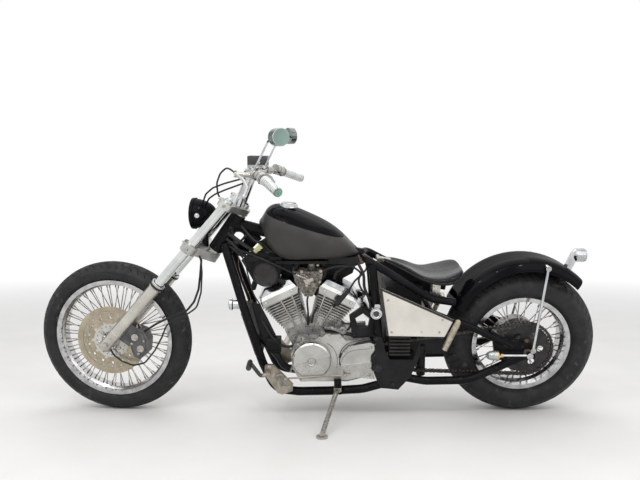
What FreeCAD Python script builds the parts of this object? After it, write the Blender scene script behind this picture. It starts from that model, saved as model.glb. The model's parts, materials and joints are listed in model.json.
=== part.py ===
"""Chopper motorcycle: a long, low two-wheeler with a V-twin engine, raked fork,
teardrop tank, solo seat and bobbed rear fender, leaning on its side stand.

The machine is laid out upright: x runs back from the front axle, y to the rider's
right, z up from the ground. Every sub-part then gets one Placement that leans the
whole machine to its left, and the front end a second one that turns it in its neck.
"""
import FreeCAD, Part
import math
import os
import re
import Sketcher
from FreeCAD import Placement, Rotation, Vector

doc = FreeCAD.newDocument("Chopper")
sheet = doc.addObject("Spreadsheet::Sheet", "Sizes")

# Driving dimensions in millimetres and degrees
SIZES = {
    # whole machine
    "wheelbase": 1732,
    "span": 1000,
    "lean": 14,
    "steer_turn": 7,
    "fit": 0.3,
    "seam": 0.5,
    "overrun": 5,
    "running_gap": 5,
    "bolt_head": 5,
    "tab_radius": 6,
    "bend_room_share": 0.45,
    # front wheel
    "front_tyre_radius": 330,
    "front_tyre_width": 100,
    "front_crown_radius": 52,
    "front_seat_radius": 243,
    "front_rim_radius": 256,
    "front_seat_width": 66,
    "front_spokes": 72,
    # rear wheel
    "rear_tyre_radius": 321,
    "rear_tyre_width": 168,
    "rear_crown_radius": 88,
    "rear_seat_radius": 195,
    "rear_rim_radius": 208,
    "rear_seat_width": 106,
    "rear_spokes": 40,
    # both wheels
    "shoulder_turn": 52,
    "rim_wall": 5,
    "rim_well_depth": 9,
    "rim_well_width": 26,
    "spoke_radius": 2.2,
    "spoke_lead": 24,
    "spoke_spread": 14,
    # front hub and brake
    "front_axle_radius": 8,
    "front_hub_radius": 25,
    "front_flange_radius": 38,
    "front_hub_width": 70,
    "hub_flange_thick": 5,
    "disc_radius": 148,
    "disc_bore_radius": 76,
    "disc_thick": 5,
    "disc_side": 61,
    "disc_holes": 14,
    "disc_hole_radius": 6,
    "disc_hole_circle": 100,
    "disc_ring_bore": 40,
    "disc_ring_holes": 20,
    "disc_ring_hole_radius": 3.2,
    "disc_ring_hole_circle": 62,
    # rear hub, sprocket and chain
    "rear_axle_radius": 9,
    "rear_hub_radius": 34,
    "rear_flange_radius": 62,
    "rear_hub_width": 104,
    "drum_radius": 92,
    "drum_width": 44,
    "sprocket_teeth": 44,
    "sprocket_tip_radius": 107,
    "sprocket_tooth_depth": 5,
    "sprocket_thick": 7,
    "sprocket_holes": 6,
    "sprocket_hole_radius": 14,
    "sprocket_hole_circle": 66,
    "carrier_radius": 48,
    "chain_side": 100,
    "chain_pitch": 15.875,
    "chain_radius": 114,
    "chain_front_radius": 43,
    "chain_plate_height": 13,
    "chain_plate_thick": 2,
    "chain_width": 19,
    "chain_pin_radius": 2.4,
    # steering
    "neck_rake": 35,
    "fork_rake": 41.3,
    "neck_length": 180,
    "neck_radius": 31,
    "neck_bore_radius": 20,
    "stem_radius": 14,
    "fork_spread": 97,
    "slider_length": 352,
    "slider_radius": 26,
    "slider_foot": 30,
    "fork_tube_radius": 20.5,
    "dust_seal_radius": 29,
    "dust_seal_height": 16,
    "fork_cap_radius": 18,
    "fork_cap_height": 10,
    "clamp_wall": 12,
    "upper_clamp_thick": 27,
    "lower_clamp_thick": 38,
    "clamp_bearing_gap": 10,
    "fork_stick_out": 12,
    "stem_nut_radius": 17,
    "stem_nut_height": 16,
    "headlight_radius": 61,
    "headlight_depth": 95,
    "headlight_rim": 8,
    "headlight_arm_back": 43,
    "headlight_arm_drop": 43,
    "caliper_length": 84,
    "caliper_height": 135,
    "caliper_inset": 30,
    "caliper_width": 56,
    "caliper_arm_rise": 130,
    "caliper_arm_reach": 75,
    "bracket_thick": 8,
    "hose_radius": 4.5,
    "cable_radius": 3.5,
    "hose_bend": 40,
    # handlebar
    "bar_radius": 11,
    "riser_radius": 15,
    "riser_ahead": 19,
    "riser_cap": 5,
    "grip_radius": 17,
    "grip_start": 13,
    "bar_bend": 45,
    "switch_radius": 21,
    "switch_length": 44,
    "perch_radius": 17,
    "perch_length": 24,
    "perch_nose_radius": 9,
    "lever_radius": 6,
    "lever_bend": 40,
    "reservoir_length": 84,
    "reservoir_width": 44,
    "reservoir_height": 50,
    "mirror_stem_radius": 4,
    "mirror_width": 100,
    "mirror_height": 68,
    "mirror_thick": 22,
    "mirror_turn": 30,
    "mirror_bend": 25,
    # frame
    "frame_half_width": 100,
    "frame_bend": 160,
    "gusset_thick": 10,
    "gusset_window": 24,
    "downtube_radius": 18,
    "backbone_radius": 24,
    "seat_rail_radius": 16,
    "swingarm_radius": 17,
    "swingarm_top_radius": 15,
    "pivot_sleeve_radius": 20,
    "axle_plate_length": 150,
    "axle_plate_height": 95,
    "axle_plate_thick": 20,
    "axle_nut_thick": 12,
    "swingarm_side": 132,
    "pivot_plate_thick": 8,
    "pivot_plate_side": 150,
    "pivot_plate_length": 200,
    "pivot_plate_height": 240,
    "key_switch_radius": 23,
    "key_switch_depth": 29,
    "key_switch_reach": 20,
    # engine
    "cylinder_lean": 26,
    "fin_count": 12,
    "fin_thick": 3,
    "fin_rib_radius": 4,
    "cylinder_core": 96,
    "fin_top_width": 160,
    "fin_foot_width": 100,
    "fin_height": 138,
    "cylinder_base": 124,
    "head_width": 166,
    "head_depth": 150,
    "head_height": 70,
    "engine_half_width": 98,
    "case_length": 332,
    "case_height": 216,
    "left_cover_thick": 12,
    "right_cover_thick": 20,
    "clutch_radius": 86,
    "clutch_depth": 48,
    "sprocket_cover_length": 152,
    "sprocket_cover_height": 168,
    "sprocket_cover_thick": 27,
    "cover_radius": 82,
    "cover_depth": 32,
    "carb_half_length": 60,
    "carb_cap_radius": 18,
    "carb_cap_height": 38,
    "carb_knob_radius": 13,
    "carb_knob_depth": 18,
    "cleaner_radius": 78,
    "cleaner_depth": 56,
    "exhaust_bend": 60,
    "muffler_overlap": 5,
    "radiator_depth": 34,
    "radiator_width": 150,
    "radiator_height": 195,
    "radiator_lean": 16.5,
    "horn_radius": 25,
    "horn_length": 72,
    "side_drum_radius": 50,
    "side_drum_depth": 48,
    "tray_length": 215,
    "tray_width": 150,
    "tray_height": 12,
    # body
    "tank_length": 410,
    "tank_height": 204,
    "tank_width": 272,
    "tank_cap_radius": 36,
    "tank_cap_height": 14,
    "tank_cap_lean": 4,
    "panel_thick": 4,
    "panel_side": 160,
    "panel_length": 299,
    "panel_height": 209,
    "box_length": 150,
    "box_width": 170,
    "box_height": 290,
    "regulator_length": 85,
    "regulator_depth": 29,
    "regulator_height": 82,
    "regulator_side": 118,
    "regulator_fins": 6,
    "regulator_fin_thick": 5,
    "fender_radius": 328,
    "fender_drop": 44,
    "fender_rise": 50,
    "fender_set_back": 3,
    "fender_start": 158,
    "fender_end": 47,
    "fender_width": 204,
    "fender_sheet": 3,
    "seat_over_fender": 39,
    "seat_length": 322,
    "seat_height": 62,
    "seat_width": 262,
    "seat_bracket_side": 75,
    "seat_bolt_radius": 7,
    "seat_bolt_reach": 27,
    "tie_width": 34,
    "tie_thick": 6,
    "hinge_half_length": 30,
    "hinge_radius": 9,
    "strut_radius": 6,
    "strut_reach": 376,
    "strut_foot_out": 24,
    "strut_foot_eye": 15,
    "strut_top_eye": 22,
    "lamp_radius": 28,
    "lamp_depth": 52,
    "lamp_arm_width": 32,
    "signal_radius": 20,
    "signal_length": 60,
    "signal_side": 168,
    "signal_stem": 118,
    "signal_stem_radius": 5,
    "signal_eye_radius": 13,
    "peg_radius": 15,
    "peg_length": 113,
    "peg_collar_radius": 19,
    "peg_collar_length": 20,
    "foot_plate_length": 120,
    "foot_plate_height": 136,
    "foot_plate_side": 140,
    "foot_plate_thick": 10,
    "boss_radius": 11,
    "pedal_radius": 8,
    "toe_length": 62,
    "toe_radius": 10,
    "shift_rod_side": 149,
    "shift_rod_radius": 3.5,
    "pillion_side": 170,
    "pillion_radius": 12,
    "exhaust_radius": 22,
    "muffler_radius": 27,
    # side stand
    "stand_radius": 10,
    "stand_foot_radius": 22,
    "stand_foot_thick": 8,
    "stand_eye_length": 24,
    "stand_eye_radius": 17,
    "stand_pin_radius": 6,
    "stand_ear_size": 15,
    "stand_ear_thick": 9.5,
    "stand_post_radius": 8,
}


def write_size(row, alias, number):
    """One row of the sheet: a name, its number and the alias of the same name."""
    sheet.set(f"A{row}", alias)
    sheet.set(f"B{row}", str(number))
    sheet.setAlias(f"B{row}", alias)


for place, (name, size) in enumerate(SIZES.items(), start=1):
    write_size(place, name, size)
doc.recompute()


class Sizes:
    """Reads the sheet's plain numbers by their alias."""

    def __getattr__(self, alias):
        return float(sheet.get(alias))


s = Sizes()
LEFT = -1
RIGHT = 1
SIDES = ((LEFT, "left"), (RIGHT, "right"))
UP = Vector(0, 0, 1)
ACROSS = Vector(0, 1, 0)
BACK = Vector(1, 0, 0)
ORIGIN = Vector(0, 0, 0)


def spot(back_share, across_share, up_share):
    """A place on the upright machine, in shares of the span."""
    return Vector(back_share, across_share, up_share) * s.span


def spots(shares):
    """A list of places on the upright machine."""
    return [spot(*share) for share in shares]


def mirrored(points, side):
    """The same points on the side given, LEFT as they are written."""
    return [Vector(point.x, -side * point.y, point.z) for point in points]


# Main reference points
def axle_height(radius, crown):
    """Height of an axle over the floor, upright, of a tyre that touches it leaning."""
    return radius - crown + crown / math.cos(math.radians(s.lean))


FRONT_AXLE = Vector(0, 0, axle_height(s.front_tyre_radius, s.front_crown_radius))
REAR_AXLE = Vector(s.wheelbase, 0, axle_height(s.rear_tyre_radius, s.rear_crown_radius))
NECK = spot(0.498, 0, 0.800)
NECK_TURN = Rotation(ACROSS, s.neck_rake)
NECK_AXIS = NECK_TURN.multVec(UP)
FORK_TURN = Rotation(ACROSS, s.fork_rake)
FORK_AXIS = FORK_TURN.multVec(UP)
CRANK = spot(0.833, 0, 0.291)
FRONT_SPROCKET = spot(1.010, 0, 0.278)


def fork_reach(neck_reach):
    """How far up from the axle a fork leg's line meets a plane across the neck."""
    return (neck_reach - (FRONT_AXLE - NECK).dot(NECK_AXIS)) / FORK_AXIS.dot(NECK_AXIS)


# The legs end just above the upper clamp, so their length follows from the neck
SIZES["fork_length"] = fork_reach(s.neck_length / 2 + s.clamp_bearing_gap + s.upper_clamp_thick) + s.fork_stick_out
write_size(len(SIZES), "fork_length", SIZES["fork_length"])
doc.recompute()


# Shape helpers
def rod(start, end, radius):
    """A round bar from one point to another."""
    run = end - start
    return Part.makeCylinder(radius, run.Length, start, run)


def block(length, width, height, place=Placement()):
    """A box centred on its place in x and y, standing on it in z."""
    box = Part.makeBox(length, width, height, Vector(-length / 2, -width / 2, 0))
    box.Placement = place.multiply(box.Placement)
    return box


def bends(points, bend):
    """Each corner of a path as a tangent arc: its start, end, centre, axis and turn."""
    arcs = []
    for before, corner, after in zip(points, points[1:], points[2:]):
        back = (before - corner).normalize()
        ahead = (after - corner).normalize()
        half_turn = back.getAngle(ahead) / 2
        room = min((before - corner).Length, (after - corner).Length) * s.bend_room_share
        setback = min(bend / math.tan(half_turn), room)
        centre = corner + (back + ahead).normalize() * (setback / math.cos(half_turn))
        turn = 180 - math.degrees(2 * half_turn)
        arcs.append((corner + back * setback, corner + ahead * setback, centre, ahead.cross(back), turn))
    return arcs


def tube(points, radius, bend):
    """A round tube of straight runs joined by tangent bends."""
    pieces = []
    start = points[0]
    for first, last, centre, axis, turn in bends(points, bend):
        pieces.append(rod(start, first, radius))
        ring = Part.Face(Part.Wire(Part.makeCircle(radius, first, first - start)))
        pieces.append(ring.revolve(centre, axis, turn))
        start = last
    pieces.append(rod(start, points[-1], radius))
    return fused(pieces)


def slab(points, thick, way=ACROSS):
    """A flat plate: the outline through the points, thick along the way given."""
    face = Part.Face(Part.makePolygon(points + [points[0]]))
    return face.extrude(way * thick)


def side_plate(shares, corner, length, height, side, inner, thick):
    """A plate upright along the machine, its outline in shares of its own box."""
    sign = LEFT if side == LEFT else RIGHT
    points = [corner + Vector(x * length, sign * inner, z * height) for x, z in shares]
    return slab(points, thick, ACROSS * sign)


def turned(outline, centre=ORIGIN, turn=360):
    """A solid turned about an axle: the outline gives radius and side."""
    points = [Vector(radius, side, 0) for radius, side in outline]
    face = Part.Face(Part.makePolygon(points + [points[0]]))
    shape = face.revolve(ORIGIN, ACROSS, turn)
    shape.translate(centre)
    return shape


def fused(shapes):
    """One solid of shapes that overlap."""
    return shapes[0].multiFuse(shapes[1:]).removeSplitter()


def hex_bar(start, end, radius):
    """A thin bar of six sides, as a spoke or pin."""
    run = end - start
    turn = Rotation(UP, run)
    corners = [start + turn.multVec(Vector(radius * math.cos(math.radians(a)),
                                           radius * math.sin(math.radians(a)), 0))
               for a in range(0, 360, 60)]
    return slab(corners, run.Length, Vector(run).normalize())


def smooth_loop(points):
    """A closed wire that runs smoothly through the points."""
    curve = Part.BSplineCurve()
    curve.interpolate(points, True)
    return Part.Wire(curve.toShape())


# Sub-parts: each gets its label, its shape and, last of all, its placement
made = []
STEERED = set()


def keep(label, shape, steered=False):
    """A finished sub-part of the document."""
    part = doc.addObject("Part::Feature", label)
    part.Label = label
    part.Shape = shape
    made.append(part)
    if steered:
        STEERED.add(label)
    return part


def shape_of(label):
    """The shape of a sub-part that is already made."""
    return next(part for part in made if part.Label == label).Shape


def expression(text):
    """Sheet aliases in a sum, written the way an expression names them."""
    return re.sub(r"[a-z_]+", lambda word: "Sizes." + word.group(0), text)


def plane_of(body, role):
    """One of a body's own origin planes."""
    return next(f for f in body.Origin.OriginFeatures if f.Role == role)


def bound_sketch(body, role, name, corners=(), circles=()):
    """A sketch of straight sides and circles, every place bound to the sheet."""
    sketch = body.newObject("Sketcher::SketchObject", name)
    sketch.AttachmentSupport = [(plane_of(body, role), "")]
    sketch.MapMode = "FlatFace"
    values = [[sheet_value(text) for text in corner] for corner in corners]
    for index, value in enumerate(values):
        after = values[(index + 1) % len(values)]
        sketch.addGeometry(Part.LineSegment(Vector(*value, 0), Vector(*after, 0)))
    for index in range(len(values)):
        joined = (index + 1) % len(values)
        sketch.addConstraint(Sketcher.Constraint("Coincident", index, 2, joined, 1))
    for index, corner in enumerate(corners):
        bind_point(sketch, index, 1, corner)
    for circle in circles:
        across, along, radius = circle
        centre = Vector(sheet_value(across), sheet_value(along), 0)
        index = sketch.addGeometry(Part.Circle(centre, UP, sheet_value(radius)))
        bind_point(sketch, index, 3, (across, along))
        row = sketch.addConstraint(Sketcher.Constraint("Radius", index, sheet_value(radius)))
        sketch.setExpression(f"Constraints[{row}]", expression(radius))
    return sketch


def sheet_value(text):
    """The value of a sum whose terms are sheet aliases, some with a plain multiplier."""
    total = 0
    for sign, term in re.findall(r"([+-]?)\s*([^+-]+)", text):
        product = LEFT if sign == "-" else RIGHT
        for factor in term.split("*"):
            word = factor.strip()
            product *= getattr(s, word) if word in SIZES else float(word)
        total += product
    return total


def bind_point(sketch, index, end, place):
    """Tie one point of a sketch to the sheet, across and along."""
    for kind, axis, text in (("DistanceX", -2, place[0]), ("DistanceY", -1, place[1])):
        if text == "0":
            sketch.addConstraint(Sketcher.Constraint("PointOnObject", index, end, axis))
            continue
        value = sheet_value(text)
        row = sketch.addConstraint(Sketcher.Constraint(kind, -1, 1, index, end, value))
        sketch.setExpression(f"Constraints[{row}]", expression(text))


# Wheels
def tyre(radius, width, crown, seat, flange, seat_width):
    """A tyre's section turned about its axle: crown, side walls and beads."""
    lean = math.radians(s.shoulder_turn)
    shoulder_radius = radius - crown + crown * math.cos(lean)
    shoulder_side = crown * math.sin(lean)
    wall_radius = (flange + shoulder_radius) / 2
    half = seat_width / 2

    def ring_point(reach, side):
        return Vector(reach, side, 0)

    edges = [
        Part.LineSegment(ring_point(seat, -half), ring_point(seat, half)).toShape(),
        Part.LineSegment(ring_point(seat, half), ring_point(flange, half)).toShape(),
        Part.Arc(ring_point(flange, half), ring_point(wall_radius, width / 2),
                 ring_point(shoulder_radius, shoulder_side)).toShape(),
        Part.Arc(ring_point(shoulder_radius, shoulder_side), ring_point(radius, 0),
                 ring_point(shoulder_radius, -shoulder_side)).toShape(),
        Part.Arc(ring_point(shoulder_radius, -shoulder_side), ring_point(wall_radius, -width / 2),
                 ring_point(flange, -half)).toShape(),
        Part.LineSegment(ring_point(flange, -half), ring_point(seat, -half)).toShape(),
    ]
    return Part.Face(Part.Wire(edges)).revolve(ORIGIN, ACROSS, 360)


def rim(seat, flange, seat_width):
    """A wheel rim: two flanges, bead seats and a well, all one wall thick."""
    half = seat_width / 2 + s.fit
    top = seat - s.fit
    well = top - s.rim_well_depth
    well_half = s.rim_well_width / 2
    slope_half = well_half + s.rim_well_depth
    wall = s.rim_wall
    edge = flange - s.fit
    right = [(edge, half + wall), (edge, half), (top, half), (top, slope_half), (well, well_half)]
    left = [(reach, -side) for reach, side in reversed(right)]
    under_left = [(top - wall, -half - wall), (top - wall, -slope_half), (well - wall, -well_half)]
    under_right = [(reach, -side) for reach, side in reversed(under_left)]
    return turned(right + left + under_left + under_right)


def spoked_hub(hub_radius, flange, hub_width, bore, rim_reach, count, lead):
    """A hub of two flanges with its laced spokes, crossing in pairs."""
    half = hub_width / 2
    thick = s.hub_flange_thick
    hub = turned([(bore, -half), (hub_radius, -half), (flange, -half), (flange, -half + thick),
                  (hub_radius, -half + 2 * thick), (hub_radius, half - 2 * thick),
                  (flange, half - thick), (flange, half), (bore, half)])
    spokes = []
    for index in range(int(count)):
        side = LEFT if index % 2 else RIGHT
        way = LEFT if (index // 2) % 2 else RIGHT
        angle = math.radians(index * 360 / count)
        root_angle = angle + way * math.radians(lead)
        root_reach = flange - thick
        foot = Vector(root_reach * math.cos(root_angle), side * (half - thick / 2),
                      root_reach * math.sin(root_angle))
        tip = Vector(rim_reach * math.cos(angle), side * s.spoke_spread / 2, rim_reach * math.sin(angle))
        spokes.append(hex_bar(foot, tip, s.spoke_radius))
    return hub, spokes


def brake_disc():
    """The drilled disc on its own drilled carrier ring, a body of pads and patterns."""
    body = doc.addObject("PartDesign::Body", "front_brake_disc")
    rings = bound_sketch(body, "XZ_Plane", "disc_rings",
                         circles=(("0", "0", "disc_radius"), ("0", "0", "disc_bore_radius")))
    pad = body.newObject("PartDesign::Pad", "disc_pad")
    pad.Profile = rings
    pad.Midplane = True
    pad.setExpression("Length", expression("disc_thick"))
    carrier = bound_sketch(body, "XZ_Plane", "carrier_rings",
                           circles=(("0", "0", "disc_bore_radius + overrun"), ("0", "0", "disc_ring_bore")))
    carrier_pad = body.newObject("PartDesign::Pad", "carrier_pad")
    carrier_pad.Profile = carrier
    carrier_pad.Midplane = True
    carrier_pad.setExpression("Length", expression("disc_thick + spoke_radius * 2"))
    tip = drilled(body, "disc", "disc_hole_circle", "disc_hole_radius", "disc_holes")
    tip = drilled(body, "ring", "disc_ring_hole_circle", "disc_ring_hole_radius", "disc_ring_holes")
    body.Tip = tip
    return body


def drilled(body, name, circle, radius, count):
    """A round of holes through a body, drilled both ways from its middle plane."""
    hole = bound_sketch(body, "XZ_Plane", name + "_hole", circles=(("0", circle, radius),))
    pocket = body.newObject("PartDesign::Pocket", name + "_drill")
    pocket.Profile = hole
    pocket.Type = "ThroughAll"
    pocket.Midplane = True
    pattern = body.newObject("PartDesign::PolarPattern", name + "_round")
    pattern.Originals = [pocket]
    pattern.Axis = (plane_axis(body, "Y_Axis"), [""])
    pattern.Angle = 360
    pattern.setExpression("Occurrences", expression(count))
    body.Tip = pattern
    return pattern


def plane_axis(body, role):
    """One of a body's own origin axes."""
    return next(f for f in body.Origin.OriginFeatures if f.Role == role)


def keep_body(body, label, place, steered=False):
    """A finished body, with its own place on the upright machine."""
    body.Label = label
    body.Placement = place
    made.append(body)
    if steered:
        STEERED.add(label)


def moved(shape, place):
    """The shape moved to a point."""
    shape.translate(place)
    return shape


def front_wheel():
    """Tyre, rim, laced hub and brake disc, turning on the front axle."""
    shape = tyre(s.front_tyre_radius, s.front_tyre_width, s.front_crown_radius,
                 s.front_seat_radius, s.front_rim_radius, s.front_seat_width)
    keep("front_tyre", moved(shape, FRONT_AXLE), True)
    shape = rim(s.front_seat_radius, s.front_rim_radius, s.front_seat_width)
    keep("front_rim", moved(shape, FRONT_AXLE), True)
    rim_reach = s.front_seat_radius - s.rim_well_depth - s.rim_wall - s.seam - s.fit
    hub, spokes = spoked_hub(s.front_hub_radius, s.front_flange_radius, s.front_hub_width,
                             s.front_axle_radius + s.seam, rim_reach, s.front_spokes, s.spoke_lead)
    keep("front_hub_and_spokes", moved(fused([hub] + spokes), FRONT_AXLE), True)
    place = Placement(FRONT_AXLE - ACROSS * s.disc_side, Rotation())
    keep_body(brake_disc(), "front_brake_disc", place, True)


def rear_wheel():
    """Tyre, rim, laced hub with its drum, and the sprocket on its carrier."""
    shape = tyre(s.rear_tyre_radius, s.rear_tyre_width, s.rear_crown_radius,
                 s.rear_seat_radius, s.rear_rim_radius, s.rear_seat_width)
    keep("rear_tyre", moved(shape, REAR_AXLE))
    shape = rim(s.rear_seat_radius, s.rear_rim_radius, s.rear_seat_width)
    keep("rear_rim", moved(shape, REAR_AXLE))
    rim_reach = s.rear_seat_radius - s.rim_well_depth - s.rim_wall - s.seam - s.fit
    bore = s.rear_axle_radius + s.seam
    hub, spokes = spoked_hub(s.rear_hub_radius, s.rear_flange_radius, s.rear_hub_width,
                             bore, rim_reach, s.rear_spokes, s.spoke_lead / 2)
    drum_start = s.rear_hub_width / 2 - s.drum_width
    drum = turned([(bore, drum_start), (s.drum_radius, drum_start),
                   (s.drum_radius, s.rear_hub_width / 2 + s.hub_flange_thick),
                   (bore, s.rear_hub_width / 2 + s.hub_flange_thick)])
    keep("rear_hub_and_spokes", moved(fused([hub, drum] + spokes), REAR_AXLE))
    keep("rear_sprocket", moved(sprocket(bore), REAR_AXLE))


def sprocket(bore):
    """The toothed rear sprocket with lightening holes, on a round carrier."""
    teeth = int(s.sprocket_teeth)
    root = s.sprocket_tip_radius - s.sprocket_tooth_depth
    points = []
    for index in range(teeth):
        for share, reach in ((0, root), (0.3, s.sprocket_tip_radius), (0.7, s.sprocket_tip_radius)):
            angle = math.radians((index + share) * 360 / teeth)
            points.append(Vector(reach * math.cos(angle), 0, reach * math.sin(angle)))
    inner = s.chain_side - s.sprocket_thick / 2
    plate = slab([point - ACROSS * (inner + s.sprocket_thick) for point in points], s.sprocket_thick)
    for index in range(int(s.sprocket_holes)):
        angle = math.radians(index * 360 / s.sprocket_holes)
        place = Vector(s.sprocket_hole_circle * math.cos(angle), -inner - s.sprocket_thick - s.overrun,
                       s.sprocket_hole_circle * math.sin(angle))
        plate = plate.cut(Part.makeCylinder(s.sprocket_hole_radius, s.sprocket_thick + 2 * s.overrun,
                                            place, ACROSS))
    hub_end = s.rear_hub_width / 2 + s.fit
    carrier = turned([(bore, -hub_end), (s.carrier_radius, -hub_end),
                      (s.carrier_radius, -inner - s.sprocket_thick - s.overrun),
                      (bore, -inner - s.sprocket_thick - s.overrun)])
    bore_cut = rod(ACROSS * -(inner + 4 * s.overrun), ACROSS * -(inner - 2 * s.overrun), bore)
    return fused([plate, carrier]).cut(bore_cut)


def chain():
    """The drive chain as one fixed loop: two lines of side plates and their pins."""
    front = Vector(FRONT_SPROCKET.x, 0, FRONT_SPROCKET.z)
    rear = Vector(REAR_AXLE.x, 0, REAR_AXLE.z)
    path = chain_path(front, rear, s.chain_front_radius, s.chain_radius)
    links = 2 * round(path.Length / s.chain_pitch / 2)
    spacing = path.Length / links
    stations = [path_point(path, index * spacing) for index in range(links)]
    height = s.chain_plate_height / 2
    waist = height * 0.66
    outer = []
    inner = []
    for point, normal in stations:
        outer.append(point + normal * height)
        inner.append(point - normal * height)
    halves = [path_point(path, (index + 0.5) * spacing) for index in range(links)]
    outline_out = [p for pair in zip(outer, [q + n * waist for q, n in halves]) for p in pair]
    outline_in = [p for pair in zip(inner, [q - n * waist for q, n in halves]) for p in pair]
    bands = []
    for side in SIDES:
        start = -s.chain_side + side[0] * (s.chain_width / 2 - s.chain_plate_thick / 2)
        start -= s.chain_plate_thick / 2
        big = slab([p + ACROSS * start for p in outline_out], s.chain_plate_thick)
        hole = slab([p + ACROSS * (start - s.overrun) for p in outline_in],
                    s.chain_plate_thick + 2 * s.overrun)
        bands.append(big.cut(hole))
    pins = []
    half = s.chain_width / 2 - s.chain_plate_thick / 2
    for point, normal in stations:
        pins.append(hex_bar(point - ACROSS * (s.chain_side + half), point - ACROSS * (s.chain_side - half),
                            s.chain_pin_radius))
    keep("drive_chain", bands[0].multiFuse(bands[1:] + pins))


def chain_room():
    """The space that the chain needs, to cut from what it passes."""
    path = chain_path(FRONT_SPROCKET, Vector(REAR_AXLE.x, 0, REAR_AXLE.z), s.chain_front_radius, s.chain_radius)
    half = s.chain_plate_height / 2 + s.overrun
    count = 48
    points = [point + normal * half for point, normal in
              (path_point(path, index * path.Length / count) for index in range(count))]
    width = s.chain_width + s.overrun
    return slab([p - ACROSS * (s.chain_side + width / 2) for p in points], width)


def chain_path(front, rear, front_radius, rear_radius):
    """The loop's middle line: two arcs and the two straight runs that touch both."""
    run = rear - front
    slope = math.atan2(run.z, run.x)
    flare = math.asin((rear_radius - front_radius) / run.Length)
    edges = []
    marks = {}
    for name, way in (("top", 1), ("low", -1)):
        angle = slope + way * (math.pi / 2 + flare)
        out = Vector(math.cos(angle), 0, math.sin(angle))
        marks[name] = (front + out * front_radius, rear + out * rear_radius)
    ahead = Vector(run).normalize()
    edges.append(Part.LineSegment(marks["top"][0], marks["top"][1]).toShape())
    edges.append(Part.Arc(marks["top"][1], rear + ahead * rear_radius, marks["low"][1]).toShape())
    edges.append(Part.LineSegment(marks["low"][1], marks["low"][0]).toShape())
    edges.append(Part.Arc(marks["low"][0], front - ahead * front_radius, marks["top"][0]).toShape())
    return Part.Wire(edges)


def path_point(path, distance):
    """The place at a distance along a flat loop, with its outward normal."""
    for edge in path.OrderedEdges:
        if distance <= edge.Length:
            value = edge.getParameterByLength(distance)
            if edge.Orientation == "Reversed":
                value = edge.getParameterByLength(edge.Length - distance)
            tangent = edge.tangentAt(value)
            if edge.Orientation == "Reversed":
                tangent = -tangent
            return edge.valueAt(value), ACROSS.cross(tangent) * -1
        distance -= edge.Length
    edge = path.OrderedEdges[-1]
    return edge.valueAt(edge.LastParameter), ACROSS.cross(edge.tangentAt(edge.LastParameter)) * -1


# Front end
def fork_point(reach, side=0, off=0):
    """A place on a fork leg's line, the reach measured up from the axle."""
    return FRONT_AXLE + FORK_AXIS * reach + ACROSS * (side * s.fork_spread) + \
        FORK_TURN.multVec(BACK) * off


def neck_point(reach, ahead=0, across=0):
    """A place by the steering axis, measured along, ahead of and across it."""
    return NECK + NECK_AXIS * reach - NECK_TURN.multVec(BACK) * ahead + ACROSS * across


def fork_leg(side, name):
    """One telescopic leg: slider with its axle foot, dust seal, tube and cap."""
    body = doc.addObject("PartDesign::Body", "fork_leg_" + name)
    corners = [
        ("0", "-slider_foot"),
        ("slider_radius - overrun", "-slider_foot"),
        ("slider_radius", "-slider_foot + 2 * overrun"),
        ("slider_radius", "slider_length - dust_seal_height - overrun"),
        ("dust_seal_radius", "slider_length - dust_seal_height"),
        ("dust_seal_radius", "slider_length"),
        ("fork_tube_radius", "slider_length"),
        ("fork_tube_radius", "fork_length - fork_cap_height"),
        ("fork_cap_radius", "fork_length - fork_cap_height"),
        ("fork_cap_radius", "fork_length"),
        ("0", "fork_length"),
    ]
    outline = bound_sketch(body, "XZ_Plane", name + "_leg_outline", corners)
    turn = body.newObject("PartDesign::Revolution", name + "_leg_turn")
    turn.Profile = outline
    turn.ReferenceAxis = (outline, ["V_Axis"])
    turn.Angle = 360
    foot = bound_sketch(body, "XZ_Plane", name + "_axle_eye", circles=(("0", "0", "front_axle_radius"),))
    drill = body.newObject("PartDesign::Pocket", name + "_axle_drill")
    drill.Profile = foot
    drill.Type = "ThroughAll"
    drill.Midplane = True
    body.Tip = drill
    keep_body(body, "fork_leg_" + name, Placement(fork_point(0, side), FORK_TURN), True)


def fork_bores(slack):
    """Both fork tubes as plain rods, to cut their seats."""
    return [rod(fork_point(s.slider_length, side), fork_point(s.fork_length + s.overrun, side),
                s.fork_tube_radius + slack) for side in (LEFT, RIGHT)]


def clamp(reach, thick):
    """A triple clamp: an eye round each tube and the stem boss, in one thick plate."""
    eye = fork_point(fork_reach(reach + thick / 2)) - NECK
    ahead = -eye.dot(NECK_TURN.multVec(BACK))
    eye_radius = s.fork_tube_radius + s.clamp_wall
    boss_radius = s.neck_radius
    shapes = [Part.makeCylinder(boss_radius, thick, neck_point(reach), NECK_AXIS)]
    for side in (LEFT, RIGHT):
        base = neck_point(reach, ahead, side * s.fork_spread)
        shapes.append(Part.makeCylinder(eye_radius, thick, base, NECK_AXIS))
    bridge = [neck_point(reach, ahead + eye_radius * 0.4, -s.fork_spread),
              neck_point(reach, ahead + eye_radius * 0.4, s.fork_spread),
              neck_point(reach, ahead - eye_radius * 0.9, s.fork_spread),
              neck_point(reach, -boss_radius * 0.9, boss_radius * 0.5),
              neck_point(reach, -boss_radius * 0.9, -boss_radius * 0.5),
              neck_point(reach, ahead - eye_radius * 0.9, -s.fork_spread)]
    shapes.append(slab(bridge, thick, NECK_AXIS))
    return fused(shapes).cut(Part.makeCompound(fork_bores(0)))


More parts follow.
